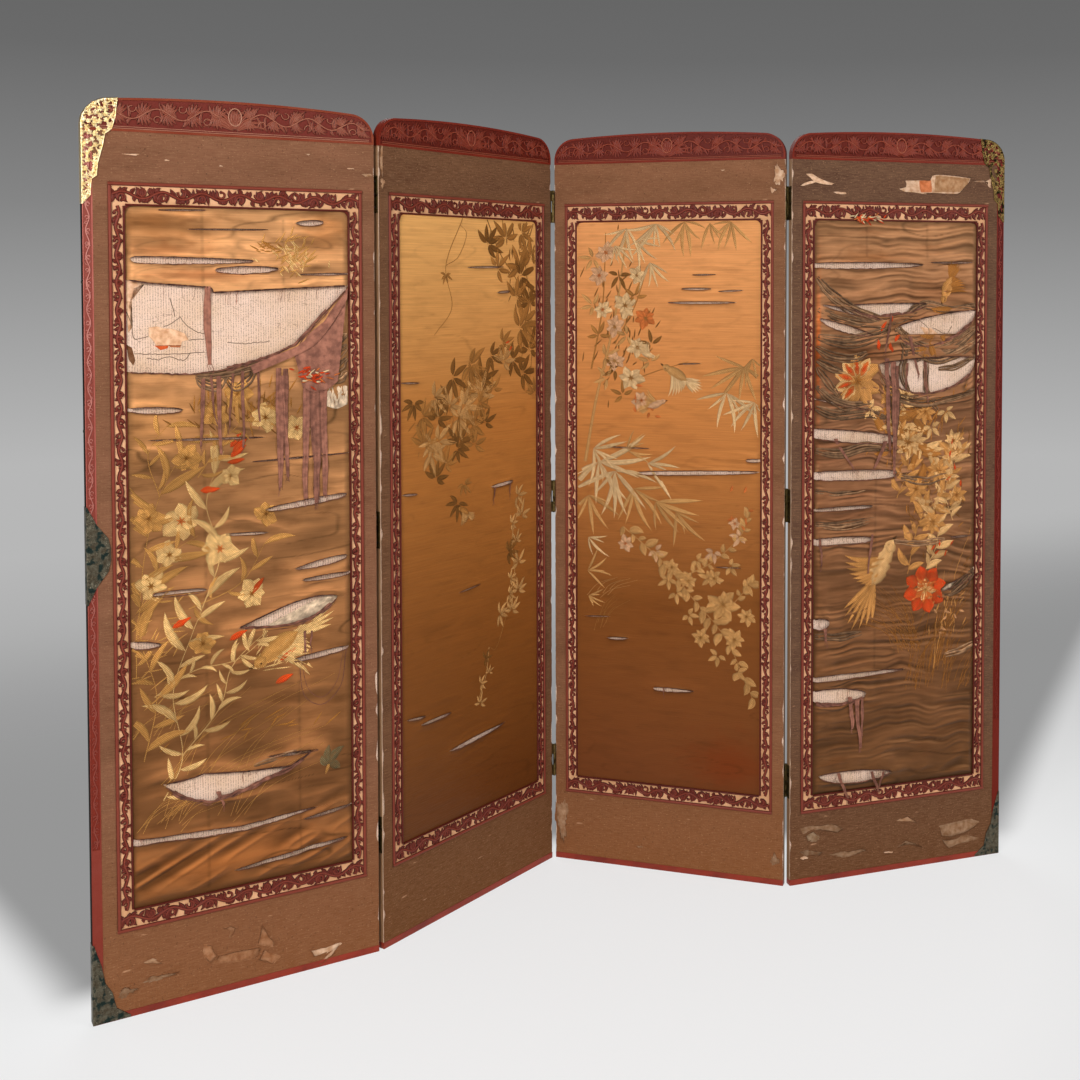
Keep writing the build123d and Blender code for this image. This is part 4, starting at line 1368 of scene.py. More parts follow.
@dataclass
class TornSatin:
    """The satin ground of one picture, with its splits, folds and lifted lips.

    The satin is meshed as bands between its splits, so that the lips of each split are true edges.
    """

    leaf: Leaf
    wear: Wear
    loose: float = 0.16      # how slack it is away from its splits
    step: float = 3.6
    depth: float = 1.1
    drape: float = 0.0       # how deep the big slanting folds at its foot are
    cell: float = 4.0        # of the map of how far it stands out
    fold: float = 15.0       # height of its folds
    tears: list[Tear] = field(init=False)
    sheet: Box = field(init=False)
    map: np.ndarray = field(init=False)

    def __post_init__(self) -> None:
        """Finds the panel's box and the leaf's splits, and starts the map of how the silk lies."""
        self.sheet = self.leaf.box("silk_panel")
        self.tears = sorted(SLITS[self.leaf.number], key=lambda t: t.start[1] + t.end[1])
        size = (self.sheet.top - self.sheet.bottom, self.sheet.right - self.sheet.left)
        self.map = np.full([int(s / self.cell) + 2 for s in size], self.leaf.box("paper_lining").front)

    def lips(self, x: np.ndarray) -> tuple[np.ndarray, np.ndarray, np.ndarray, np.ndarray]:
        """Heights of every split's lips, before and after it opened.

        Args:
            x: places across the leaf.

        Returns:
            The lower and upper lips as cut, then both as they lie, each by split and place.
        """
        cut_low, cut_high, low, high = [], [], [], []
        floor = np.full_like(x, self.sheet.bottom + 3)
        cut_floor = floor.copy()
        for tear in self.tears:
            line, opening = tear.line(x), tear.opening(x)
            under = (1 - tear.above) * opening
            over = tear.above * opening
            low.append(np.maximum(line - under, floor + 1.2))
            high.append(np.maximum(line + over, low[-1]))
            cut_low.append(np.maximum(line - under * tear.lost, cut_floor + 1.2))
            cut_high.append(np.maximum(line + over * tear.lost, cut_low[-1]))
            floor, cut_floor = high[-1], cut_high[-1]
        return tuple(np.array(rows) for rows in (cut_low, cut_high, low, high))

    def slack(self, x: np.ndarray, z: np.ndarray) -> np.ndarray:
        """How loose the satin is, more beside the splits and none under the border.

        Args:
            x: places across the leaf.
            z: places up it.

        Returns:
            A share for each, 1 where it is slackest.
        """
        loose = np.full_like(x, self.loose)
        patchy = smooth_noise(x / 130, z / 60, 60 + self.leaf.number)
        loose += 0.34 * np.clip(patchy, -0.6, 1) * self.wear.value
        for tear in self.tears:
            span = np.clip((x - tear.start[0] + 40) / 40, 0, 1) * np.clip((tear.end[0] + 40 - x) / 40, 0, 1)
            line, opening = tear.line(x), tear.opening(x) * tear.lost
            away = np.maximum(z - line - opening * tear.above, line - opening * (1 - tear.above) - z)
            loose += min(1.1, 0.22 + tear.gap * 0.04) * span * np.exp(-np.maximum(away, 0) / 24)
        edge = np.minimum(
            np.minimum(x - self.sheet.left, self.sheet.right - x),
            np.minimum(z - self.sheet.bottom, self.sheet.top - z),
        )
        return np.minimum(loose, 1.35) * self.wear.value * np.clip((edge - TUCK - 1) / 12, 0, 1)

    def folds(self, x: np.ndarray, z: np.ndarray) -> np.ndarray:
        """How far the folds stand out at points of the uncut satin.

        Args:
            x: places across the leaf.
            z: places up it.

        Returns:
            A height for each.
        """
        seed = 20 + self.leaf.number
        drift = z + 12 * smooth_noise(x / 95, z / 150, seed) + 5 * smooth_noise(x / 40, z / 70, seed + 1)
        ridges = 1 - 2 * np.abs(smooth_noise(x / 150, drift / self.fold, seed + 2))
        fine = smooth_noise(x / 60, drift / (0.37 * self.fold), seed + 3)
        swell = smooth_noise(x / 120, z / 80, seed + 4)
        crossing = smooth_noise(x / 17, drift / 45, seed + 5)
        proud = self.slack(x, z) * (2.7 + 2.4 * ridges + 1.2 * fine + 1.2 * swell + 0.5 * crossing)
        low = z - self.sheet.bottom
        bunch = 1 - 2.4 * np.abs(smooth_noise((x + z) / 110, (z - 0.42 * x) / 25, seed + 6))
        pucker = smooth_noise((x - z) / 50, (z + 0.5 * x) / 18, seed + 7) * np.clip(2 - x / 130, 0, 1)
        rise = np.exp(-((low - 62) / 50) ** 2) * np.clip((low - TUCK) / 14, 0, 1)
        return proud * (1 - 0.8 * self.drape * rise) + self.drape * rise * (2.8 + 3.4 * bunch + 1.8 * pucker)

    def laid(self, x: np.ndarray, z: np.ndarray) -> Laid:
        """Finds where points of the uncut satin now lie.

        Args:
            x: places across the leaf.
            z: heights on the uncut satin.

        Returns:
            Their heights, depths and shades now, and which are not lost.
        """
        shape = x.shape
        x, z = x.ravel(), z.ravel()
        cut_low, cut_high, low, high = self.lips(x)
        band = (z[None, :] > cut_high).sum(0)
        ends = np.full((1, len(x)), self.sheet.bottom), np.full((1, len(x)), self.sheet.top)
        pick = (band, np.arange(len(x)))
        start, end = np.vstack([ends[0], cut_high])[pick], np.vstack([cut_low, ends[1]])[pick]
        now_start, now_end = np.vstack([ends[0], high])[pick], np.vstack([low, ends[1]])[pick]
        share = np.clip((z - start) / np.maximum(end - start, 0.01), 0, 1)
        now = now_start + share * (now_end - now_start)
        gaps = np.vstack([np.zeros((1, len(x))), high - low, np.zeros((1, len(x)))])
        below, above = gaps[pick], gaps[band + 1, np.arange(len(x))]
        proud = self.folds(x, z)
        proud += 2.2 * np.minimum(1, below / 7) * np.exp(-(now - now_start) / 3.5)
        proud += 3.0 * np.minimum(1, above / 7) * np.exp(-(now_end - now) / 4.5)
        edge = np.minimum(x - self.sheet.left, self.sheet.right - x) - TUCK
        proud *= np.clip((edge + 1) / 9, 0, 1)
        limit = 7.0 if self.wear is Wear.SHREDDED else 3.2
        proud = np.clip(proud, 0, limit)
        # painted shade: the lips are darkened, partly as fraying and partly as the shadow they cast, and the
        # valleys between folds and the sharp creases are darkened as shade, while what stands out is lighter
        lip = np.maximum(np.minimum(1, below / 4) * np.exp(-(now - now_start) / 3.2),
                         np.minimum(1, above / 4) * np.exp(-(now_end - now) / 3.2))
        drift = z + 9 * smooth_noise(x / 70, z / 90, 81)
        crease = np.clip(1 - 13 * np.abs(smooth_noise(x / 190, drift / 26, 82 + self.leaf.number)), 0, 1)
        crease *= np.clip(smooth_noise(x / 90, z / 50, 83) + 0.35, 0, 1)
        shade = (1 + self.wear.value * (0.24 * np.minimum(proud, 4) - 0.4)) * (1 - 0.6 * lip)
        shade *= 1 - 0.62 * crease * self.wear.value
        return Laid(now.reshape(shape), (self.depth - proud).reshape(shape), (z <= end + 0.5).reshape(shape),
                    shade.reshape(shape))

    def tint(self, x: np.ndarray, z: np.ndarray) -> np.ndarray:
        """What stains and seams do to the silk's colour.

        Args:
            x: places across the leaf.
            z: places up it.

        Returns:
            Three channels for each place.
        """
        tint = np.ones((*x.shape, 3))
        for stain in STAINS[self.leaf.number]:
            tint *= Stain(*stain).tell(x, z)
        for seam, low, high in SEAMS[self.leaf.number]:
            dark = np.exp(-((x - seam) / 2.8) ** 2) * ((z > low) & (z < high)) * (0.7 + 0.3 * np.sin(z / 3.1))
            tint *= (1 - 0.34 * dark)[..., None]
        return tint

    def front(self, x: np.ndarray, z: np.ndarray) -> np.ndarray:
        """Depth of the foremost silk about some places, as it lies now.

        Args:
            x: places across the leaf.
            z: places up it.

        Returns:
            A depth for each.
        """
        column = ((x - self.sheet.left) / self.cell).astype(int)
        row = ((z - self.sheet.bottom) / self.cell).astype(int)
        near = [self.map[np.clip(row + i, 0, self.map.shape[0] - 1),
                         np.clip(column + j, 0, self.map.shape[1] - 1)]
                for i in (-1, 0, 1) for j in (-1, 0, 1)]
        return np.minimum.reduce(near)

    def build(self) -> bpy.types.Object:
        """Makes the satin's piece, which stands for its CAD node.

        Returns:
            The piece.
        """
        patches = Patches()
        columns = round((self.sheet.right - self.sheet.left) / (self.step * 1.15))
        x = np.linspace(self.sheet.left, self.sheet.right, columns)
        cut_low, cut_high, _, _ = self.lips(x)
        starts = np.vstack([np.full_like(x, self.sheet.bottom), cut_high])
        ends = np.vstack([cut_low, np.full_like(x, self.sheet.top)])
        for start, end in zip(starts, ends):
            rows = max(2, math.ceil((end - start).max() / self.step) + 1)
            share = np.linspace(0, 1, rows)[:, None]
            nudge = np.zeros_like(share)
            nudge[0], nudge[-1] = 1e-4, -1e-4
            z = start + (end - start) * share + nudge
            across = np.broadcast_to(x, z.shape).copy()
            place = self.laid(across, z)
            # painted light: the satin is lighter where it leans back towards the light from above, and darker
            # where it leans forward
            lean = np.gradient(place.depth, axis=0) / np.maximum(np.gradient(place.z, axis=0), 0.3)
            shade = place.shade * (1 + 0.75 * np.clip(lean, -0.8, 0.8))
            patches.add(np.stack([across, place.depth, place.z], -1), shade[..., None] * self.tint(across, z))
        points = np.concatenate(patches.points)
        row = ((points[:, 2] - self.sheet.bottom) / self.cell).astype(int)
        column = ((points[:, 0] - self.sheet.left) / self.cell).astype(int)
        np.minimum.at(self.map, (row, column), points[:, 1])
        finish = SATINS[self.leaf.number]
        piece = patches.piece(self.leaf.node("satin"), self.leaf, finish, "silk_satin", weld=True)
        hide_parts(self.leaf.node("silk_panel"))
        return piece


# ---------------------------------------------------------------- embroidery
# how far the silks of a leaf have browned
FLOSS_FADES = {1: (0.95, 0.88, 0.68), 4: (0.86, 0.74, 0.6)}


def about(draw: random.Random, centre: Point, spread: Point) -> Point:
    """A place near a centre, likeliest in its middle."""
    return (centre[0] + draw.gauss(0, 0.5) * spread[0], centre[1] + draw.gauss(0, 0.5) * spread[1])


class Stitching(Patches):
    """Raised silk stitching that lies on the satin, and ends where the satin does."""

    def __init__(self, satin: TornSatin, seed: int) -> None:
        """Starts an empty piece of work on a satin, with its own run of random draws.

        Args:
            satin: that is worked on.
            seed: of the random draws.
        """
        super().__init__()
        self.satin = satin
        self.draw = random.Random(seed)
        self.fade = np.array(FLOSS_FADES.get(satin.leaf.number, (1.0, 1.0, 1.0)))

    def lay(self, plan: np.ndarray, lift: np.ndarray, tone: np.ndarray) -> None:
        """Lays a flat motif on the satin.

        Args:
            plan: a grid of points on the uncut satin.
            lift: how far each stands over it.
            tone: the colour of each.
        """
        x, z = plan[..., 0], plan[..., 1]
        place, sheet = self.satin.laid(x, z), self.satin.sheet
        good = place.whole & (x > sheet.left + TUCK) & (x < sheet.right - TUCK)
        good &= (z > sheet.bottom + TUCK) & (z < sheet.top - TUCK)
        moved = place.z - z
        corners = [np.s_[:-1, :-1], np.s_[:-1, 1:], np.s_[1:, :-1], np.s_[1:, 1:]]
        shifts = np.stack([moved[c] for c in corners])
        keep = np.all([good[c] for c in corners], 0) & (shifts.max(0) - shifts.min(0) < 2.5)
        if keep.any():
            # the stitches take on the painted shade of the satin under them
            shaded = tone * np.clip(place.shade, 0.72, 1.12)[..., None]
            self.add(np.stack([x, place.depth - 0.3 - lift, place.z], -1), shaded, keep=keep)

    def blade(self, root: Point, tip: Point, width: float, floss: Floss, bow: float = 0.0,
              lift: float = 0.9) -> None:
        """Stitches a leaf or petal in painted light and shade: a light half, a darker half and a dark
        outline.

        Args:
            root: where it grows from.
            tip: its point.
            width: across its widest part.
            floss: that it is worked in.
            bow: bend of its middle line, as a share of its length.
            lift: of the stitches over the satin.
        """
        # painted light: one edge lit and the other dark as in shadow; the blade is also darker towards its
        # root
        sides = np.array([1.22, 0.9, 1.16, 0.98, 0.5])[:, None]
        fade = np.linspace(0.8, 1.16, 7)[:, None, None]
        tone = floss.light * self.fade * sides * fade * self.draw.uniform(0.8, 1.2)
        self.lay(blade(root, tip, width, bow, rows=7), lift * BLADE_RISE, tone)

    def stem(self, points: Sequence[Point], width: float, floss: Floss) -> np.ndarray:
        """Couches a stem along a curve.

        Args:
            points: that the curve goes through.
            width: of the stem at its foot.
            floss: that it is worked in.

        Returns:
            Points along the stem.
        """
        count = max(6, int(math.dist(points[0], points[-1]) / 9))
        path = curve_through(points, count)
        taper = np.linspace(width, width * 0.45, count)[:, None] / 2 * np.array([-1.0, 0.0, 1.0])
        # painted shade: the couched stem is darker at its sides than along its middle
        self.lay(widened(path, taper), np.array([0.0, 0.6, 0.0]),
                 floss.light * self.fade * np.array([0.7, 1.1, 0.8])[:, None])
        return path

    def flower(self, centre: Point, radius: float, petals: int, floss: Floss, heart: Floss,
               plump: float = 0.9) -> None:
        """Stitches an open flower: two rings of petals and a knotted heart.

        Args:
            centre: of the flower.
            radius: out to the petals' tips.
            petals: in each ring.
            floss: of the petals.
            heart: floss of the heart.
            plump: width of a petal against its even share of the ring.
        """
        start = self.draw.uniform(0, 360)
        for ring, reach in ((0, 1.0), (1, 0.66)):
            for i in range(petals):
                angle = start + 360 / petals * (i + 0.5 * ring) + self.draw.uniform(-9, 9)
                size = radius * reach * self.draw.uniform(0.8, 1.1)
                self.blade(polar(centre, angle, radius * 0.1), polar(centre, angle, size),
                           2 * math.pi * size / petals * plump * 0.62, floss, self.draw.uniform(-0.12, 0.12),
                           0.8 + 0.5 * ring)
        for i in range(6):
            angle = start + i * 60
            self.blade(polar(centre, angle, 0.5), polar(centre, angle, radius * 0.26), radius * 0.1, heart,
                       lift=1.8)

    def fan(self, centre: Point, size: float, turn: float, floss: Floss, blades: int = 6,
            slim: float = 0.25) -> None:
        """Stitches a leaf of several blades that spread from one point.

        Args:
            centre: where the blades meet.
            size: of the longest blade.
            turn: which way they point, in degrees.
            floss: that it is worked in.
            blades: how many.
            slim: width of a blade against the leaf's size.
        """
        for i in range(blades):
            share = i / (blades - 1) - 0.5
            length = size * (1 - 0.9 * share**2) * self.draw.uniform(0.85, 1.1)
            angle = turn + share * 190 + self.draw.uniform(-8, 8)
            self.blade(polar(centre, angle, size * 0.08), polar(centre, angle, length), size * slim, floss,
                       0.12 * share)

    def spray(self, points: Sequence[Point], size: float, floss: Floss, pitch: float,
              slim: float = 0.3) -> None:
        """Stitches a stem with leaves to both sides.

        Args:
            points: that the stem goes through.
            size: of a leaf.
            floss: that it is worked in.
            pitch: from one leaf to the next.
            slim: width of a leaf against its length.
        """
        path = self.stem(points, 2.2, floss)
        for i, place in enumerate(self.stations(path, pitch)):
            heading = self.heading(path, place) + (48 if i % 2 else -48) + self.draw.uniform(-22, 22)
            length = size * self.draw.uniform(0.6, 1.2)
            self.blade(tuple(path[place]), polar(tuple(path[place]), heading, length), length * slim, floss,
                       self.draw.uniform(-0.16, 0.16))

    def creeper(self, points: Sequence[Point], size: float, flosses: tuple[Floss, ...], pitch: float) -> None:
        """Stitches a trailing stem with fans of leaflets on short stalks to both sides.

        Args:
            points: that the stem goes through.
            size: of a fan.
            flosses: of the leaflets; the first is the stem's too.
            pitch: from one stalk to the next.
        """
        path = self.stem(points, 2.6, flosses[0])
        for i, place in enumerate(self.stations(path, pitch)):
            turn = self.heading(path, place) + (64 if i % 2 else -64) + self.draw.uniform(-18, 18)
            start, floss = tuple(path[place]), self.draw.choice(flosses)
            end = polar(start, turn, size * self.draw.uniform(0.3, 0.6))
            self.stem([start, end], 1.4, floss)
            self.fan(end, size * self.draw.uniform(0.7, 1.1), 0.6 * turn + 0.4 * 265, floss,
                     self.draw.choice((5, 6)))

    def stations(self, path: np.ndarray, pitch: float) -> list[int]:
        """Indices a pitch apart along a path."""
        total = np.linalg.norm(np.diff(path, axis=0), axis=1).sum()
        count = max(2, int(total / pitch))
        return [min(len(path) - 2, int((i + 0.7) / count * (len(path) - 1))) for i in range(count)]

    def heading(self, path: np.ndarray, place: int) -> float:
        """Which way a path runs, in degrees."""
        run = path[place + 1] - path[place]
        return math.degrees(math.atan2(run[1], run[0]))

    def bamboo(self, node: Point, size: float, turn: float, floss: Floss, blades: int = 5) -> None:
        """Stitches the long slim leaves that hang from a bamboo's node.

        Args:
            node: where the leaves hang from.
            size: of a leaf.
            turn: which way they point, in degrees.
            floss: that they are worked in.
            blades: how many leaves.
        """
        for i in range(blades):
            angle = turn + (i - (blades - 1) / 2) * 24 + self.draw.uniform(-9, 9)
            length = size * self.draw.uniform(0.6, 1.15)
            self.blade(node, polar(node, angle, length), max(4.5, length * 0.1), floss,
                       self.draw.uniform(-0.08, 0.08))

    def bird(self, centre: Point, size: float, turn: float, back: Floss, breast: Floss,
             tail: float = 0.8) -> None:
        """Stitches a small song bird, seen from the side.

        Args:
            centre: of its body.
            size: a little less than its body's length.
            turn: which way it heads.
            back: floss of its wings and tail.
            breast: floss of its body and head.
            tail: length of its tail, in sizes.
        """
        head = polar(centre, turn, size * 0.42)
        rump = polar(centre, turn + 180, size * 0.3)
        for i in range(7):
            angle = turn + 180 + (i - 3) * 8
            self.blade(rump, polar(rump, angle, size * tail * (1 - 0.07 * abs(i - 3))), size * 0.11, back)

        def part(middle: Point, root: Point, tip: Point, width: float, floss: Floss, bow: float = 0.0,
                 lift: float = 0.9) -> None:
            """Stitches a blade between two places, each a turn about a middle and a distance in sizes."""
            ends = [polar(middle, turn + angle, size * away) for angle, away in (root, tip)]
            self.blade(*ends, size * width, floss, bow, lift)

        part(centre, (180, 0.45), (0, 0.52), 0.42, breast, lift=2.0)
        for i in range(9):
            part(centre, (0, 0.22 - 0.05 * i), (100 + i * 9, 0.86 - 0.05 * i), 0.12, back, 0.1, 1.5)
        part(head, (180, 0.13), (0, 0.15), 0.27, breast, lift=2.2)
        part(head, (0, 0.11), (-6, 0.26), 0.06, Floss.INK)
        part(head, (90, 0.02), (60, 0.07), 0.05, Floss.INK, lift=2.6)

    def moth(self, centre: Point, size: float, turn: float, floss: Floss) -> None:
        """Stitches a moth with spread wings.

        Args:
            centre: of its body.
            size: of a wing.
            turn: which way it heads, in degrees.
            floss: of the wings.
        """
        for angle, length in ((35, 1.0), (80, 0.9), (-40, 0.6), (120, 0.6)):
            self.blade(centre, polar(centre, turn + angle, size * length), size * 0.42, floss, 0.1, 1.2)
        self.blade(polar(centre, turn - 120, size * 0.5), polar(centre, turn + 58, size * 0.3), size * 0.16,
                   Floss.PALE_GOLD)

    def grass(self, foot: Point, height: float, lean: float, count: int, floss: Floss,
              spread: float = 30.0) -> None:
        """Stitches a tuft of thin bending grass.

        Args:
            foot: where it grows.
            height: of the tallest blade.
            lean: how far its tips stray to the right.
            count: of the blades.
            floss: that they are worked in.
            spread: how far their feet stray to each side.
        """
        for _ in range(count):
            start = (foot[0] + self.draw.uniform(-1, 1) * spread, foot[1] + self.draw.uniform(-8, 20))
            rise = height * self.draw.uniform(0.4, 1.05)
            drift = lean * self.draw.uniform(0.4, 1.2) + self.draw.uniform(-20, 20)
            middle = (start[0] + drift * 0.35, start[1] + rise * 0.6)
            self.stem([start, middle, (start[0] + drift, start[1] + rise)], 1.2, floss)

    def scatter(self, centre: Point, spread: Point, size: float, count: int, floss: Floss) -> None:
        """Stitches loose petals and buds about a place.

        Args:
            centre: of the place.
            spread: how far they lie from it, across and up.
            size: of a petal.
            count: of the petals.
            floss: that they are worked in.
        """
        for _ in range(count):
            root = (centre[0] + self.draw.uniform(-1, 1) * spread[0],
                    centre[1] + self.draw.uniform(-1, 1) * spread[1])
            tip = polar(root, self.draw.uniform(0, 360), size * self.draw.uniform(0.7, 1.2))
            self.blade(root, tip, size * 0.38, floss)

    def hatch(self, centre: Point, spread: Point, size: float, count: int, turn: float, floss: Floss) -> None:
        """Stitches a soft patch of fine strokes that nearly run one way.

        Args:
            centre: of the patch.
            spread: how far the strokes lie from it, across and up.
            size: of a stroke.
            count: of the strokes.
            turn: which way they run, in degrees.
            floss: that they are worked in.
        """
        for _ in range(count):
            root = about(self.draw, centre, spread)
            tip = polar(root, turn + self.draw.uniform(-35, 35), size * self.draw.uniform(0.5, 1.2))
            self.blade(root, tip, 3.0, floss, lift=0.5)

    def buds(self, places: Sequence[Point], size: float, turn: float, floss: Floss = Floss.ORANGE) -> None:
        """Stitches plump buds."""
        for place in places:
            angle = turn + self.draw.uniform(-30, 30)
            self.blade(place, polar(place, angle, size), size * 0.36, floss, lift=1.6)


def stitch_lilies(work: Stitching) -> None:
    """Leaf 1: lance leaves and pale flowers that rise from the lower left, with a bird.

    Args:
        work: takes the stitches.
    """
    gold, cream, ochre = Floss.PALE_GOLD, Floss.CREAM, Floss.OCHRE
    for foot, height, lean, count in (((140, 350), 190, 250, 8), ((120, 340), 90, 120, 12),
                                      ((250, 340), 190, 180, 6), ((170, 420), 200, 230, 6),
                                      ((104, 520), 90, 130, 8)):
        work.grass(foot, height, lean, count, gold, 44)
    for points, size, floss, pitch in (
        ([(130, 400), (166, 480), (150, 600), (182, 700), (206, 760)], 78, cream, 27),
        ([(166, 480), (236, 560), (262, 640), (330, 700)], 46, cream, 19),
        ([(96, 480), (120, 600), (92, 720), (100, 860), (130, 980), (190, 1090)], 84, gold, 27),
        ([(116, 600), (190, 640), (270, 650), (330, 690)], 46, cream, 19),
        ([(206, 760), (240, 860), (216, 960), (250, 1060)], 80, cream, 32),
        ([(84, 640), (90, 760), (140, 860), (200, 900)], 74, gold, 28),
        ([(200, 1010), (250, 1080), (330, 1150)], 54, gold, 17),
        ([(180, 760), (280, 800), (330, 880)], 60, gold, 26),
        ([(130, 980), (110, 1060), (150, 1120)], 64, gold, 22),
    ):
        work.spray(points, size, floss, pitch, 0.2)
    for centre, radius, heart in (
        ((168, 930), 44, Floss.CORAL), ((112, 812), 38, ochre), ((240, 870), 42, Floss.CORAL),
        ((110, 940), 36, ochre), ((300, 776), 36, ochre), ((206, 690), 32, ochre), ((330, 1120), 38, ochre),
        ((276, 1168), 36, ochre), ((392, 1096), 32, Floss.CORAL), ((232, 1130), 36, ochre),
        ((330, 930), 30, ochre), ((180, 1050), 34, ochre), ((262, 1010), 26, ochre), ((146, 868), 34, ochre),
    ):
        work.flower(centre, radius * 0.86, 6, work.draw.choice((cream, gold, cream)), heart, 1.3)
    work.hatch((380, 1434), (48, 40), 26, 60, 40, gold)
    work.hatch((386, 1424), (40, 34), 22, 40, 120, cream)
    work.hatch((344, 1452), (24, 14), 20, 16, 170, ochre)
    work.hatch((300, 1140), (110, 36), 34, 60, 70, ochre)
    work.hatch((286, 1120), (110, 30), 30, 40, 110, Floss.OLIVE)
    work.hatch((110, 700), (60, 150), 40, 40, 30, gold)
    work.bird((352, 664), 104, 214, cream, gold, 1.0)
    work.hatch((340, 640), (40, 22), 40, 24, 30, cream)
    work.moth((452, 412), 44, 10, Floss.SLATE)
    work.buds(((262, 1046), (266, 1056), (204, 985), (150, 728), (256, 690), (354, 637), (345, 592),
               (300, 776)), 38, 24)
    work.buds(((256, 1036), (262, 1066)), 34, 20)
    work.hatch((330, 500), (150, 26), 46, 16, 24, ochre)


def stitch_creeper(work: Stitching) -> None:
    """Leaf 2: a creeper of many-bladed leaves that hangs from the top and trails down.

    Args:
        work: takes the stitches.
    """
    dark = (Floss.OLIVE, Floss.OCHRE, Floss.OLIVE, Floss.OCHRE)
    light = (Floss.OCHRE, Floss.PALE_GOLD, Floss.OLIVE, Floss.PALE_GOLD)
    work.creeper([(330, 1524), (372, 1450), (436, 1380), (462, 1290), (440, 1180)], 62, dark, 42)
    work.creeper([(490, 1520), (462, 1440), (478, 1340), (484, 1220), (470, 1130)], 58, dark, 46)
    work.creeper([(420, 1250), (340, 1200), (250, 1170), (170, 1120), (110, 1060)], 58, light, 30)
    work.creeper([(300, 1190), (270, 1100), (200, 1030), (150, 980)], 56, light, 26)
    work.creeper([(330, 1200), (330, 1120), (290, 1060), (240, 1000)], 46, dark, 30)
    work.creeper([(452, 900), (412, 800), (420, 690), (380, 620)], 36, light[1:], 26)
    work.creeper([(330, 560), (320, 500), (290, 440)], 24, light[1:], 26)
    work.stem([(250, 1524), (196, 1420), (214, 1330), (158, 1270)], 1.8, Floss.OCHRE)
    work.stem([(196, 1420), (236, 1440), (262, 1490), (240, 1510)], 1.4, Floss.OCHRE)
    work.stem([(420, 690), (360, 560), (330, 560)], 1.6, Floss.OCHRE)
    for x, z, size, turn in ((150, 1040, 44, 240), (196, 1130, 40, 180), (96, 1130, 40, 260),
                             (230, 900, 40, 240), (250, 940, 30, 300), (196, 1400, 22, 270)):
        work.fan((x, z), size, turn, work.draw.choice(light))
    work.hatch((440, 1440), (60, 90), 26, 24, 260, Floss.OLIVE)
    work.hatch((200, 1080), (90, 50), 26, 40, 250, Floss.OCHRE)
    work.buds(((404, 1250), (412, 1238)), 15, 200)
    work.bird((250, 880), 38, 150, Floss.PALE_GOLD, Floss.OCHRE)


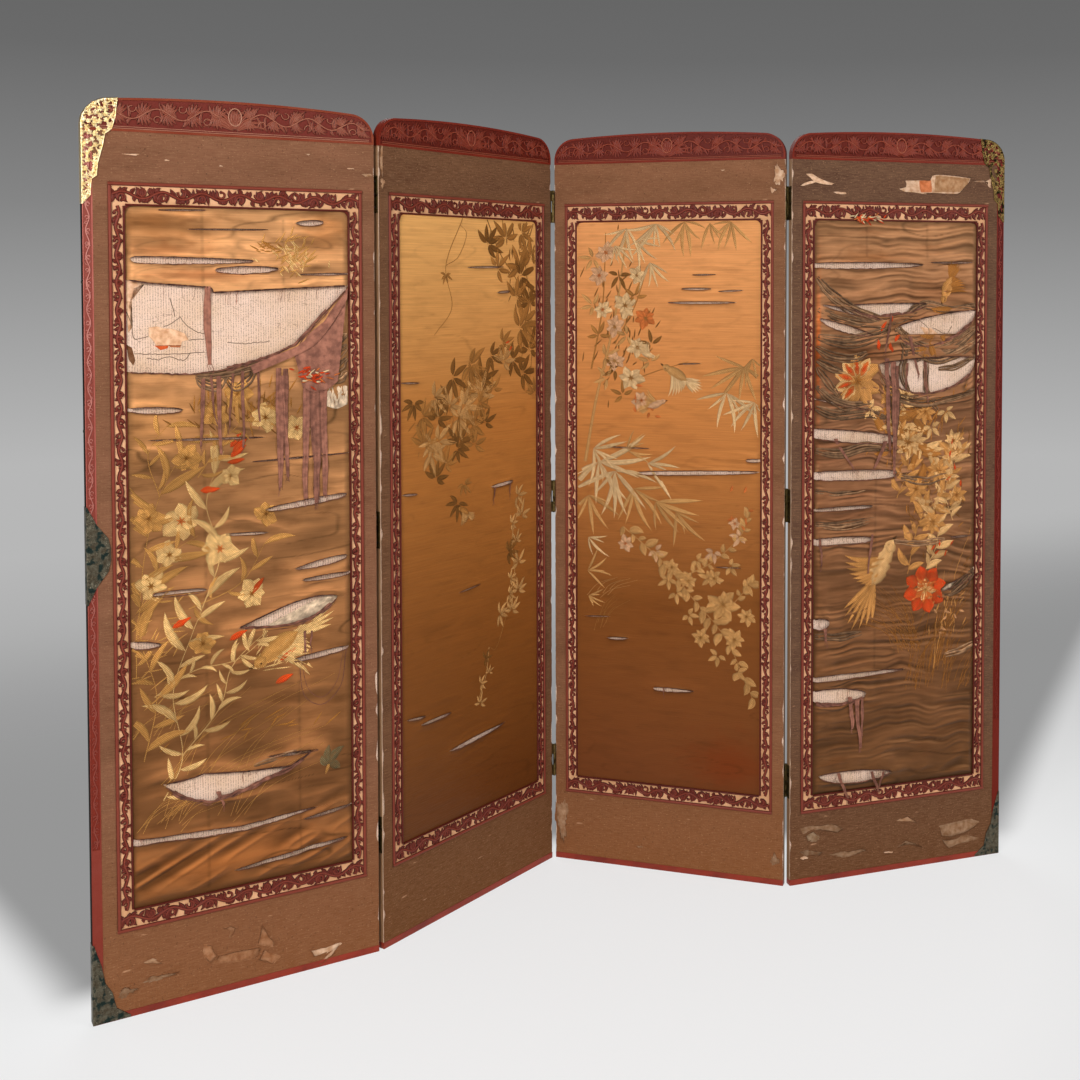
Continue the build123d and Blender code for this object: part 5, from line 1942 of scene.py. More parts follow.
def stitch_bamboo(work: Stitching) -> None:
    """Leaf 3: bamboo down the left side, blossom over it, three small birds and a trailing rose spray.

    Args:
        work: takes the stitches.
    """
    gold, cream, ochre, shell = Floss.PALE_GOLD, Floss.CREAM, Floss.OCHRE, Floss.SHELL
    for points, width, floss in (
        ([(76, 960), (104, 1110), (150, 1300), (180, 1500)], 8.0, gold),
        ([(92, 1180), (120, 1330), (128, 1500)], 4.0, ochre),
        ([(150, 1240), (200, 1330), (230, 1420)], 3.0, ochre),
        ([(180, 1150), (260, 1180), (330, 1200)], 2.4, ochre),
    ):
        work.stem(points, width, floss)
    for x, z, size, turn, blades in (
        (250, 1520, 84, 262, 7), (320, 1524, 76, 275, 6), (206, 1480, 80, 320, 5), (430, 1522, 66, 250, 6),
        (236, 1430, 70, 290, 5), (180, 1510, 80, 250, 5), (380, 1520, 60, 290, 4), (462, 1190, 104, 235, 7),
        (420, 1130, 90, 262, 6), (486, 1110, 84, 240, 6), (480, 1210, 70, 265, 5), (110, 960, 118, 300, 8),
        (150, 940, 124, 270, 7), (196, 900, 110, 300, 6), (84, 880, 90, 285, 6), (96, 990, 100, 330, 6),
        (250, 872, 104, 325, 5), (180, 990, 80, 20, 5), (300, 850, 84, 310, 4), (82, 700, 56, 10, 5),
        (84, 640, 48, -20, 5), (84, 780, 60, -30, 4), (230, 960, 90, 350, 4), (150, 1470, 60, 300, 5),
    ):
        work.bamboo((x, z), size, turn, work.draw.choice((gold, cream, cream, gold)), blades)
    for centre, radius, floss, heart in (
        ((128, 1454), 27, shell, Floss.CORAL), ((176, 1330), 32, cream, ochre),
        ((112, 1400), 26, shell, Floss.CORAL), ((150, 1280), 26, shell, ochre),
        ((226, 1300), 27, Floss.CORAL, ochre), ((206, 1232), 27, cream, ochre),
        ((190, 1160), 34, cream, ochre), ((216, 1108), 25, shell, Floss.CORAL),
        ((176, 770), 22, shell, Floss.CORAL), ((120, 1320), 24, cream, Floss.CORAL),
        ((150, 1200), 24, shell, ochre), ((204, 1400), 22, cream, ochre),
    ):
        work.flower(centre, radius, 6, floss, heart, 1.0)
    for place in ((110, 1260), (128, 1210), (96, 1330), (160, 1400), (150, 1180), (240, 1240), (130, 1160),
                  (180, 1260), (200, 1350), (96, 1440), (236, 1200), (170, 1120)):
        work.fan(place, 38, work.draw.uniform(0, 360), work.draw.choice((ochre, Floss.OLIVE, gold)), 4)
    work.hatch((160, 1300), (60, 150), 26, 70, 70, Floss.OLIVE)
    work.scatter((226, 1110), (26, 40), 18, 9, Floss.CORAL)
    work.bird((300, 1172), 66, 150, cream, gold)
    work.bird((250, 1100), 46, 20, gold, shell)
    work.bird((230, 1216), 36, 340, cream, cream)
    work.spray([(170, 810), (270, 730), (340, 650), (420, 560), (486, 420)], 32, gold, 13, 0.55)
    work.spray([(320, 700), (390, 740), (452, 800), (470, 850)], 26, gold, 13, 0.55)
    work.spray([(400, 600), (450, 660), (486, 700)], 28, gold, 13, 0.6)
    for centre, radius in (((412, 640), 40), ((330, 690), 24), ((440, 560), 27), ((360, 560), 24),
                           ((290, 720), 20), ((468, 616), 24), ((392, 700), 22)):
        work.flower(centre, radius, 7, gold, ochre, 1.0)
    for x, z in ((390, 760), (430, 730), (452, 800), (380, 700), (470, 690), (300, 660), (330, 610),
                 (400, 520), (250, 756), (446, 486), (350, 740), (280, 690)):
        work.fan((x, z), 28, work.draw.uniform(180, 360), shell if z > 740 else gold, 4, 0.4)
    work.flower((440, 830), 16, 6, shell, Floss.CORAL)
    work.scatter((440, 870), (30, 50), 17, 8, Floss.CORAL)
    work.grass((120, 560), 70, 60, 6, ochre)
    work.grass((110, 640), 60, 90, 6, gold)


def stitch_peonies(work: Stitching) -> None:
    """Leaf 4: a great orange flower at the left, foliage down the right, a bird and tall grasses.

    Args:
        work: takes the stitches.
    """
    gold, cream, ochre, orange, coral = Floss.PALE_GOLD, Floss.CREAM, Floss.OCHRE, Floss.ORANGE, Floss.CORAL
    work.hatch((330, 1000), (110, 170), 34, 90, 60, ochre)
    work.hatch((360, 900), (90, 150), 30, 60, 110, Floss.OLIVE)
    great = (166, 1156)
    work.flower(great, 66, 8, gold, ochre, 1.0)
    for i in range(6):
        angle = 60 + i * 34
        work.blade(polar(great, angle, 12), polar(great, angle, 62), 30, cream, lift=1.5)
        work.blade(polar(great, angle, 14), polar(great, angle, 54), 22, coral, lift=2.0)
        work.blade(polar(great, angle, 24), polar(great, angle, 44), 10, orange, lift=2.8)
    small = (346, 660)
    for i in range(8):
        angle = 12 + i * 45
        work.blade(polar(small, angle, 22), polar(small, angle, 58), 34, orange, lift=1.6)
    work.flower(small, 40, 8, coral, gold, 1.0)
    work.flower(small, 26, 7, cream, gold, 1.0)
    for points, size, pitch in (
        ([(420, 1330), (330, 1200), (320, 1080), (250, 1000)], 50, 15),
        ([(250, 1090), (330, 1000), (420, 960)], 52, 15),
        ([(300, 700), (330, 820), (400, 900), (430, 1010)], 52, 16),
        ([(200, 1080), (300, 1040), (350, 940)], 54, 15), ([(346, 700), (380, 780), (360, 880)], 46, 15),
        ([(420, 820), (400, 900), (450, 1000)], 42, 15), ([(270, 880), (300, 960), (280, 1050)], 44, 16),
    ):
        work.spray(points, size, work.draw.choice((gold, ochre, cream)), pitch, 0.36)
    for centre, radius in (((300, 1010), 42), ((380, 940), 38), ((320, 900), 38), ((366, 820), 36),
                           ((250, 1130), 34), ((344, 1080), 30), ((420, 1010), 28), ((290, 1150), 26),
                           ((430, 880), 28)):
        work.flower(centre, radius, 8, work.draw.choice((cream, gold)), ochre, 0.95)
    work.buds(((252, 1293), (225, 1271), (260, 1246), (222, 1227), (256, 1220), (234, 1300)), 26, 80)
    work.buds(((408, 972), (424, 940), (400, 916), (440, 900), (372, 742), (398, 736), (414, 760), (384, 760),
               (362, 752), (416, 1000)), 16, 60)
    work.bird((230, 724), 118, 62, gold, cream, 1.1)
    work.bird((400, 1370), 66, 250, ochre, gold)
    for foot, height, lean, count in (((380, 470), 260, 120, 22), ((300, 520), 150, -110, 34),
                                      ((330, 430), 180, 60, 18), ((420, 420), 120, 70, 14)):
        work.grass(foot, height, lean, count, ochre, 40)
    work.stem([(370, 470), (410, 640), (470, 800)], 2.6, gold)
    work.stem([(372, 470), (380, 600), (400, 700)], 2.2, gold)
    work.scatter((410, 600), (40, 50), 16, 8, Floss.SHELL)
    work.hatch((410, 600), (44, 70), 26, 24, 70, gold)
    for x, z in ((198, 1092), (249, 1049), (284, 1102), (361, 1044), (400, 1080)):
        work.fan((x, z), 34, work.draw.uniform(180, 360), cream, 4, 0.36)


DESIGNS = {1: stitch_lilies, 2: stitch_creeper, 3: stitch_bamboo, 4: stitch_peonies}


# ---------------------------------------------------------------- shreds and threads
@dataclass(frozen=True)
class Shred:
    """A strip of torn satin that hangs.

    Attributes:
        top: where it is still held.
        length: of the strip.
        width: at its top.
        drift: how far its foot lies to the side.
        proud: how far it stands off the satin.
        shade: of its silk.
    """

    top: Point
    length: float
    width: float
    drift: float
    proud: float
    shade: float


class Gather(NamedTuple):
    """Folds of satin drawn tight along a route: how many, across how much, and how light."""

    strands: int
    spread: float
    shade: float
    route: Sequence[Point]


# a row for each gather: its strands, spread and shade, and then its route
GATHERS: dict[int, tuple[tuple, ...]] = {
    1: (
        (4, 14.0, 1.0, (197, 1206), (234, 1206), (297, 1218), (341, 1231), (390, 1244)),
        (4, 16.0, 0.8, (200, 1203), (216, 1188), (240, 1186), (258, 1207)),
        (3, 12.0, 0.8, (250, 1205), (272, 1180), (300, 1196), (310, 1219)),
        (3, 12.0, 1.5, (462, 1262), (480, 1268), (497, 1280)),
        (4, 14.0, 1.2, (460, 1232), (480, 1242), (497, 1258)),
        (3, 14.0, 0.8, (458, 1208), (480, 1216), (497, 1232)),
        (3, 12.0, 1.4, (456, 1186), (480, 1190), (497, 1204)),
        (2, 8.0, 1.2, (300, 436), (360, 446), (424, 452)),
    ),
    2: (), 3: (),
    4: (
        (5, 22.0, 1.0, (60, 1394), (99, 1354), (148, 1322), (212, 1299), (252, 1282)),
        (4, 16.0, 1.1, (255, 1287), (292, 1306), (338, 1331), (405, 1321), (480, 1331)),
        (4, 16.0, 0.9, (64, 1323), (113, 1305), (182, 1290), (242, 1280)),
        (5, 26.0, 0.9, (64, 1258), (109, 1250), (158, 1248), (212, 1262), (250, 1278)),
        (6, 30.0, 1.0, (265, 1280), (303, 1244), (354, 1222), (416, 1238), (480, 1276)),
        (4, 20.0, 1.5, (290, 1232), (365, 1206), (427, 1218), (480, 1246)),
        (5, 22.0, 0.9, (228, 1168), (263, 1124), (335, 1103), (402, 1112), (480, 1127)),
        (3, 14.0, 0.9, (262, 1275), (288, 1234), (283, 1175), (300, 1128)),
        (3, 12.0, 1.1, (272, 1275), (308, 1234), (326, 1198)),
        (3, 12.0, 0.8, (349, 1200), (346, 1160), (353, 1118), (381, 1080)),
        (5, 22.0, 0.9, (243, 1170), (262, 1121), (264, 1040)),
        (4, 18.0, 0.8, (60, 1236), (99, 1216), (153, 1210), (190, 1222)),
        (3, 14.0, 0.8, (62, 1206), (99, 1188), (129, 1178)),
        (3, 14.0, 0.8, (62, 1190), (86, 1160), (119, 1122)),
        (4, 20.0, 1.0, (60, 1146), (99, 1116), (149, 1098), (208, 1100)),
        (4, 20.0, 0.9, (60, 1098), (114, 1080), (183, 1084), (240, 1070)),
        (4, 20.0, 1.0, (60, 1000), (120, 992), (190, 1004), (250, 1000)),
        (3, 16.0, 1.0, (60, 908), (120, 902), (200, 910)), (4, 18.0, 1.1, (60, 830), (130, 824), (210, 834)),
        (3, 14.0, 1.2, (280, 930), (340, 918), (420, 930)),
        (3, 12.0, 1.0, (380, 1180), (430, 1186), (480, 1210)),
        (4, 20.0, 0.7, (400, 640), (440, 664), (480, 700)),
        (3, 12.0, 1.2, (260, 780), (330, 770), (400, 776)), (3, 14.0, 1.0, (60, 572), (120, 566), (180, 572)),
        (3, 14.0, 1.5, (400, 500), (440, 506), (480, 520)),
    ),
}
# lower and upper edges of white under-cloth that has crumpled in a split
CRUMPLES: dict[int, tuple[tuple[tuple[Point, ...], tuple[Point, ...]], ...]] = {
    1: ((((300, 690), (360, 694), (409, 700), (450, 722), (478, 744)),
         ((326, 708), (380, 730), (420, 746), (476, 760))),
        (((452, 1136), (474, 1130), (496, 1138)), ((454, 1176), (474, 1182), (496, 1174)))),
    4: ((((392, 650), (430, 664), (484, 690)), ((396, 668), (440, 690), (484, 706))),),
}


# a row for each shred: where its top is, its length, width and drift, how proud it is, and its shade
HANGING: dict[int, tuple[tuple[float, ...], ...]] = {
    1: (
        (221, 1376, 150, 15, 4, 4.0, 1.15), (356, 1216, 236, 15, 4, 4.6, 0.95),
        (370, 1214, 214, 13, 0, 5.4, 0.8), (362, 1200, 180, 9, 12, 6.2, 1.1),
        (412, 1190, 236, 17, -4, 4.6, 1.0), (430, 1190, 246, 18, 0, 5.2, 0.85),
        (446, 1190, 232, 17, 2, 4.4, 1.05), (422, 1180, 206, 9, 6, 6.4, 0.7),
        (440, 1170, 220, 7, -6, 6.8, 0.6), (212, 1200, 130, 8, -4, 3.4, 0.8),
        (240, 1204, 150, 9, 6, 3.6, 0.9), (286, 1212, 150, 7, 3, 3.6, 0.8), (268, 1208, 104, 6, -8, 3.4, 0.7),
        (316, 1222, 110, 6, 4, 3.4, 0.75), (226, 1206, 96, 5, 10, 3.6, 0.7), (404, 690, 44, 6, 2, 3.0, 0.9),
        (418, 688, 36, 4, -3, 3.0, 0.8), (232, 398, 26, 9, 10, 3.0, 1.0),
    ),
    2: ((350, 922, 30, 4, -2, 2.0, 0.7), (402, 924, 26, 4, 2, 2.0, 0.7)),
    3: ((270, 436, 12, 3, 3, 1.6, 0.7),),
    4: (
        (240, 1208, 214, 13, 10, 4.6, 0.8), (258, 1200, 262, 14, 4, 5.2, 0.9),
        (270, 1190, 230, 8, -6, 6.0, 0.7), (300, 1258, 90, 9, 26, 4.6, 0.8), (344, 1200, 96, 9, 4, 4.6, 0.75),
        (296, 1196, 60, 10, -4, 4.2, 0.7), (110, 1026, 70, 9, 46, 4.2, 0.9),
        (236, 1016, 62, 12, -30, 4.2, 0.8), (204, 800, 92, 7, -10, 3.8, 0.8), (70, 800, 66, 7, 8, 3.6, 0.7),
        (84, 590, 30, 9, 4, 3.4, 0.9), (150, 424, 76, 12, 8, 4.2, 1.0), (166, 418, 116, 13, 14, 4.8, 0.95),
        (180, 420, 92, 8, 2, 5.4, 0.8), (120, 250, 62, 10, 26, 6.0, 0.8), (206, 244, 52, 8, 22, 6.0, 0.75),
        (236, 240, 44, 6, -18, 6.0, 0.7), (250, 1312, 90, 6, -16, 4.2, 0.7),
    ),
}


def of_silk(colour: str) -> np.ndarray:
    """A colour as a mesh of shredded silk carries it, against the silk's own."""
    return light_of(colour) / light_of(SHRED_SILK.colour)


@dataclass
class Tatters:
    """The strips, flap, gathered ropes and loose threads that hang from a leaf's splits."""

    satin: TornSatin
    seed: int = 70
    rows: int = 18

    def build(self) -> bpy.types.Object:
        """Makes one piece of them all.

        Returns:
            The piece.
        """
        patches = Patches()
        leaf = self.satin.leaf
        draw = random.Random(self.seed + leaf.number)
        for tear in self.satin.tears:
            if tear.gap > 28 and leaf.free_side:
                self.rope(patches, tear)
            self.fringe(patches, tear, draw)
            self.hem(patches, tear)
        for strands, spread, shade, *route in GATHERS[leaf.number]:
            self.gather(patches, Gather(strands, spread, shade, route), draw)
        for low, high in CRUMPLES.get(leaf.number, ()):
            self.crumple(patches, low, high)
        for x, z, *sizes in HANGING[leaf.number]:
            self.strip(patches, Shred((x, z), *sizes), draw)
        if leaf.number == 1:
            self.flap(patches, [(496, 1372), (458, 1322), (414, 1280), (384, 1254)],
                      [(474, 1186), (456, 1172), (424, 1166), (402, 1178)])
            self.flap(patches, [(496, 1372), (460, 1318), (416, 1272), (300, 1222)],
                      [(494, 1350), (462, 1300), (418, 1254), (306, 1206)], 1.6)
            self.stitches(patches, (418, 1196), (34, 18), -7.9, draw)
            self.thread(patches, [(392, 628), (402, 560), (440, 536), (478, 570), (488, 640)], 1.4, 0.5)
            self.thread(patches, [(396, 628), (410, 572), (440, 550), (470, 580), (482, 636)], 1.0, 0.6)
        if leaf.number == 4:
            self.stitches(patches, (176, 1530), (40, 7), -4.0, draw)
        return patches.piece(leaf.node("tatters"), leaf, SHRED_SILK, "silk_satin")

    def strip(self, patches: Patches, shred: Shred, draw: random.Random) -> None:
        """Adds a hanging strip with a lengthwise fold and a frayed foot.

        Args:
            patches: takes the strip.
            shred: the strip.
            draw: gives its frayed ends.
        """
        count = max(8, int(shred.length / 9))
        share = np.linspace(0, 1, count)
        sway = smooth_noise(share * 4 + shred.top[0], 0, self.seed) * 3.0 * share
        x = shred.top[0] + shred.drift * share**1.3 + sway
        z = shred.top[1] - shred.length * share
        width = shred.width * (1 - 0.45 * share**2) * (1 + 0.15 * smooth_noise(share * 9, x[0], 5))
        twist = smooth_noise(share * 3 + shred.top[1], 3, 8)
        under = np.minimum.reduce([self.satin.front(x + s * width / 3, z) for s in (-1, 0, 1)])
        under = np.convolve(np.pad(under, 2, mode="edge"), np.ones(5) / 5, "valid")
        out = 0.4 + 0.25 * shred.proud + 0.5 * smooth_noise(share * 5, share + x[0], 9)
        columns = np.linspace(-1, 1, 5)
        fold = np.array([0.0, 0.9, -0.2, 0.8, 0.1]) * min(2.0, shred.width * 0.16)
        across = x[:, None] + columns * width[:, None] / 2 * np.cos(twist * 0.8)[:, None]
        depth = under[:, None] - out[:, None] - fold * (1 - 0.5 * share[:, None])
        # what reaches the border hangs over its carving
        depth -= 5.0 * np.clip((self.satin.sheet.bottom + TUCK + 16 - z) / 14, 0, 1)[:, None]
        depth = np.clip(depth + columns * twist[:, None] * width[:, None] * 0.06, PROUDEST, 0.8)
        # painted shade: the strip is darker at its edges and down the valley of its lengthwise fold
        shade = shred.shade * (0.66 + 0.34 * np.array([0.2, 1.0, 0.45, 1.0, 0.5]))
        patches.add(np.stack([across, depth, np.broadcast_to(z[:, None], across.shape)], -1), shade)
        for _ in range(max(2, int(shred.width / 3))):
            start = (x[-1] + draw.uniform(-0.5, 0.5) * width[-1], z[-1] + 2)
            end = (start[0] + draw.uniform(-3, 3), start[1] - draw.uniform(5, 20))
            middle = ((start[0] + end[0]) / 2 + draw.uniform(-2, 2), (start[1] + end[1]) / 2)
            self.thread(patches, [start, middle, end], 0.9, shred.shade * 0.8)

    def web(self, start: Sequence[Point], end: Sequence[Point], count: int) -> tuple[np.ndarray, ...]:
        """Spans a flat sheet between two edges.

        Args:
            start: points along one edge.
            end: points along the other.
            count: of the sheet's columns.

        Returns:
            Its grid of points, how far each row lies from the first edge, and how far along each column is.
        """
        share, radial = np.linspace(0, 1, self.rows)[:, None], np.linspace(0, 1, count)[None, :]
        first, second = curve_through(start, count), curve_through(end, count)
        return first[None] * (1 - share[..., None]) + second[None] * share[..., None], share, radial

    def flap(self, patches: Patches, held: Sequence[Point], loose: Sequence[Point],
             proud: float = 0.0) -> None:
        """Adds a smooth sheet that is folded over.

        Args:
            patches: takes the sheet.
            held: points along its held edge.
            loose: points along its loose edge.
            proud: how far it stands off what is under it.
        """
        plan, share, radial = self.web(held, loose, 24)
        folds = 0.5 * np.sin(radial * 17 + share * 2) * share + 0.5 * np.sin(radial * 7 + 1)
        depth = np.clip(-2.6 - proud - 4.0 * np.minimum(1, share * 3) - folds, PROUDEST, 0.0)
        # painted shade that follows its folds, darker towards its loose edge, and a little lighter on the
        # sheet that stands proud
        shade = 1.05 + 0.12 * np.sin(radial * 17 + share * 2) - 0.2 * share + 0.1 * (proud > 0)
        patches.add(raised(plan, depth), shade)

    def gather(self, patches: Patches, gather: Gather, draw: random.Random) -> None:
        """Adds tight folds, which fan out between the ends of their route.

        Args:
            patches: takes the folds.
            gather: the folds.
            draw: gives their widths, heights and shades.
        """
        path = curve_through(gather.route, 9 * len(gather.route))
        along = np.linspace(0, 1, len(path))
        swell = np.sin(np.pi * along) ** 0.6
        sheet = self.satin.sheet
        for i in range(gather.strands):
            shift = (i / (gather.strands - 1) - 0.5) * gather.spread * (0.4 + 0.6 * swell)
            shift = shift + 2.0 * smooth_noise(along * 5 + 3 * i, gather.route[0][1], 18)
            plan = path + beside(path) * shift[:, None]
            plan[:, 0] = np.clip(plan[:, 0], sheet.left + TUCK + 3, sheet.right - TUCK - 3)
            width = gather.spread / gather.strands * draw.uniform(0.8, 1.5) * (0.4 + 0.6 * swell)
            grid = bar(plan, width, draw.uniform(1.4, 2.6) * (0.3 + 0.7 * swell), 0.0)
            self.settle(grid, plan, 0.6, 0.2)
            # painted light and shade across each fold: lit on one side, darker on the other and dark at both
            # feet
            light = gather.shade * draw.uniform(0.5, 1.25) * (1 + 0.25 * smooth_noise(along * 9, i, 19))
            sides = np.array([0.36, 1.3, 1.0, 0.6, 0.34])
            patches.add(grid, light[:, None, None] * sides[:, None] * of_silk("#8E6A4B"))

    def settle(self, grid: np.ndarray, path: np.ndarray, share: float, proud: float = 0.0) -> None:
        """Lowers a bar part of the way to the silk that is under its path.

        Args:
            grid: of the bar, which is changed.
            path: the bar's middle line.
            share: of the way.
            proud: how far it then stands off.
        """
        under = self.satin.front(path[:, 0], path[:, 1])
        grid[..., 1] = np.clip(grid[..., 1] + (share * under - proud)[:, None], PROUDEST, 1.2)

    def crumple(self, patches: Patches, low: Sequence[Point], high: Sequence[Point]) -> None:
        """Adds crumpled white under-cloth between two edges.

        Args:
            patches: takes the cloth.
            low: points along its lower edge.
            high: points along its upper edge.
        """
        plan, share, radial = self.web(low, high, 34)
        crease = 1 - 2 * np.abs(smooth_noise(radial * 9 + share * 2.5, share * 2.2 + radial, 41))
        fine = np.abs(smooth_noise(radial * 21 - share * 5, share * 6 + radial, 42))
        crease = 0.6 * crease + 0.4 - 0.8 * fine
        depth = 0.4 - 1.6 * crease * np.sin(np.pi * share) ** 0.5
        # painted shade: the cloth is lighter on the crests of its creases and darker in their valleys
        patches.add(raised(plan, depth), (0.7 + 0.5 * crease)[..., None] * of_silk("#F0D0AC"))

    def stitches(self, patches: Patches, centre: Point, spread: Point, front: float,
                 draw: random.Random) -> None:
        """Adds what is left of an orange motif, on a flap or over the border.

        Args:
            patches: takes the stitches.
            centre: of the motif.
            spread: how far they lie from it, across and up.
            front: their depth.
            draw: gives their lie and colours.
        """
        for _ in range(44):
            root = about(draw, centre, spread)
            plan = blade(root, polar(root, draw.uniform(-50, 50), draw.uniform(9, 19)), 3.6)
            floss = draw.choice((Floss.ORANGE, Floss.ORANGE, Floss.CORAL, Floss.CREAM))
            # painted shade: each blade is dark at its edges, by its rise
            tone = 1.3 * of_silk(floss.value) * BLADE_RISE[None, :, None]
            patches.add(raised(plan, front - draw.uniform(0, 0.4)), tone)

    def rope(self, patches: Patches, tear: Tear) -> None:
        """Adds the dark gathered roll of satin along a wide split's lower lip.

        Args:
            patches: takes the roll.
            tear: the split.
        """
        share = np.linspace(0.46, 0.9, 40) if tear.gap > 100 else np.linspace(0.06, 0.94, 34)
        x = self.inside(tear.start[0] + (tear.end[0] - tear.start[0]) * share, 4)
        for shift, size in ((0.0, 1.0), (5.0, 0.7), (-4.0, 0.5)):
            z = tear.line(x) - (1 - tear.above) * tear.opening(x) + shift * smooth_noise(x / 30, 0, 12)
            path = np.stack([x, np.maximum(z - 1, self.satin.sheet.bottom + TUCK + 2)], 1)
            grid = bar(path, size * (7 + 3 * smooth_noise(x / 18, shift, 13)), 3.0 * size, 0.0)
            self.settle(grid, path, 0.5)
            # painted shade: bands of shade across the roll, and lighter along its crest
            patches.add(grid, 0.5 + 0.28 * np.sin(x / 3.4 + shift)[:, None] + 0.25 * BAR_RISE)

    def inside(self, x: np.ndarray, margin: float) -> np.ndarray:
        """Those of some places across the leaf that lie inside the border by a margin."""
        sheet = self.satin.sheet
        return x[(x > sheet.left + TUCK + margin) & (x < sheet.right - TUCK - margin)]

    def fringe(self, patches: Patches, tear: Tear, draw: random.Random) -> None:
        """Adds frayed threads along a split's lips, some of them right across it.

        Args:
            patches: takes the threads.
            tear: the split.
            draw: gives their lie and shades.
        """
        if tear.gap < 3.5:
            return
        length = tear.end[0] - tear.start[0]
        for _ in range(int(length / (12 if tear.gap < 30 else 22))):
            x = self.inside(np.array([tear.start[0] + length * draw.uniform(0.04, 0.96)]), 2)
            if not len(x):
                continue
            opening = float(tear.opening(x)[0])
            over = float(tear.line(x)[0]) + opening * tear.above
            reach = min(opening * draw.uniform(0.3, 1.0), 26)
            end = (x[0] + draw.uniform(-5, 5), over - reach)
            middle = ((x[0] + end[0]) / 2 + draw.uniform(-2, 2), over - reach * 0.5)
            self.thread(patches, [(x[0], over + 1), middle, end], 0.6, draw.uniform(0.5, 1.25))

    def hem(self, patches: Patches, tear: Tear) -> None:
        """Adds the dark frayed edges of a split, rolled under where it gapes; their darkness is partly
        painted shadow under the lips, most at the upper one.

        Args:
            patches: takes the edges.
            tear: the split.
        """
        share = np.linspace(0.02, 0.98, max(8, int((tear.end[0] - tear.start[0]) / 3.5)))
        x = self.inside(tear.start[0] + (tear.end[0] - tear.start[0]) * share, 2)
        opening = tear.opening(x)
        # painted shadow: the strip at the upper lip is darker than the one at the lower
        for lip, dark in ((tear.above, 0.26), (tear.above - 1, 0.5)):
            size = min(1.0 + 0.06 * tear.gap, 3.0) * np.minimum(1, opening / 2 + 0.2)
            path = np.stack([x, tear.line(x) + opening * lip], 1)
            grid = bar(path, size * (0.8 + 0.45 * smooth_noise(x / 5, lip, 14)), 0.7, 0.0)
            grid[..., 1] += (self.satin.front(x, path[:, 1]) - 0.1)[:, None]
            patches.add(grid, dark * (1 + 0.5 * smooth_noise(x / 9, lip, 15))[:, None])

    def thread(self, patches: Patches, points: Sequence[Point], width: float, shade: float) -> None:
        """Adds one loose thread, which lies on whatever is under it.

        Args:
            patches: takes the thread.
            points: that it goes through.
            width: of the thread.
            shade: of its silk.
        """
        path = curve_through(points, 4 + 4 * len(points))
        under = self.satin.front(path[:, 0], path[:, 1])
        depth = np.clip(under - 0.3, PROUDEST, 1.5)[:, None]
        patches.add(raised(widened(path, width / 2 * np.array([-1.0, 1.0])), depth), shade)


# ---------------------------------------------------------------- bared lining
@dataclass(frozen=True)
class Scrap:
    """A patch of other paper on the lining, with its colour against the paper's own."""

    outline: tuple[Point, ...]
    tint: Colour


SCRAPS: dict[int, tuple[Scrap, ...]] = {
    1: (
        Scrap(((114, 1299), (129, 1301), (141, 1297), (156, 1296), (165, 1293), (180, 1287), (187, 1274),
               (175, 1271), (173, 1263), (127, 1264), (123, 1272), (114, 1283)), (1.25, 1.12, 0.98)),
        Scrap(((124, 1265), (150, 1265), (148, 1259), (135, 1256)), (1.0, 0.26, 0.1)),
        Scrap(((150, 1265), (173, 1265), (171, 1260), (154, 1261)), (0.7, 0.34, 0.2)),
        Scrap(((76, 1392), (92, 1386), (108, 1380), (88, 1372), (80, 1340), (86, 1300), (78, 1290),
               (74, 1340)),
              (1.2, 1.1, 1.0)),
        Scrap(((74, 1268), (84, 1262), (90, 1238), (86, 1228), (78, 1240)), (0.3, 0.2, 0.14)),
    ),
    4: (Scrap(((330, 1280), (362, 1276), (380, 1262), (350, 1256)), (1.2, 1.08, 0.95)),),
}
# routes of the cracks in the lining
CRACKS: dict[int, tuple[tuple[Point, ...], ...]] = {
    1: (((171, 1318), (156, 1306), (141, 1300)), ((171, 1318), (186, 1300), (204, 1288), (216, 1286)),
        ((75, 1330), (84, 1305), (89, 1278), (114, 1283)), ((89, 1250), (149, 1248), (216, 1250)),
        ((187, 1274), (216, 1275)), ((259, 1268), (297, 1265), (341, 1269)),
        ((153, 1354), (160, 1329), (162, 1318)),
        ((110, 1242), (130, 1238), (150, 1243), (176, 1236), (190, 1250))),
    4: (((328, 1297), (354, 1273), (349, 1246)), ((364, 1278), (400, 1263), (416, 1281))),
}


def rings(outline: np.ndarray, centre: np.ndarray, shares: tuple[float, ...], depth: float) -> np.ndarray:
    """Fills a flat outline with rings.

    Args:
        outline: n points, closed.
        centre: that the rings shrink to.
        shares: size of each ring.
        depth: of them all.

    Returns:
        A grid with a row for each ring.
    """
    return np.stack([raised(outline * share + centre * (1 - share), depth) for share in shares])


def torn_lining(leaf: Leaf) -> None:
    """Makes the patches and cracks of the lining where wide splits bare it.

    Args:
        leaf: one of the two that have such splits.
    """
    patches = Patches()
    depth = leaf.box("paper_lining").front - 0.06
    for scrap in SCRAPS[leaf.number]:
        outline = np.array([*scrap.outline, scrap.outline[0]])
        patches.add(rings(outline, outline[:-1].mean(0), (0.02, 0.94, 1.0), depth),
                    np.array([1.0, 1.0, 0.62])[:, None, None] * np.array(scrap.tint))
    for route in CRACKS[leaf.number]:
        path = curve_through(route, 9 * len(route))
        path[:, 1] += 1.2 * smooth_noise(path[:, 0] / 4, 0, 17)
        patches.add(bar(path, 1.5, 0.2, depth), (0.8, 0.3, 0.2, 0.3, 0.9))
    patches.piece(leaf.node("lining_scraps"), leaf, BARE_PAPER, "lining_paper")


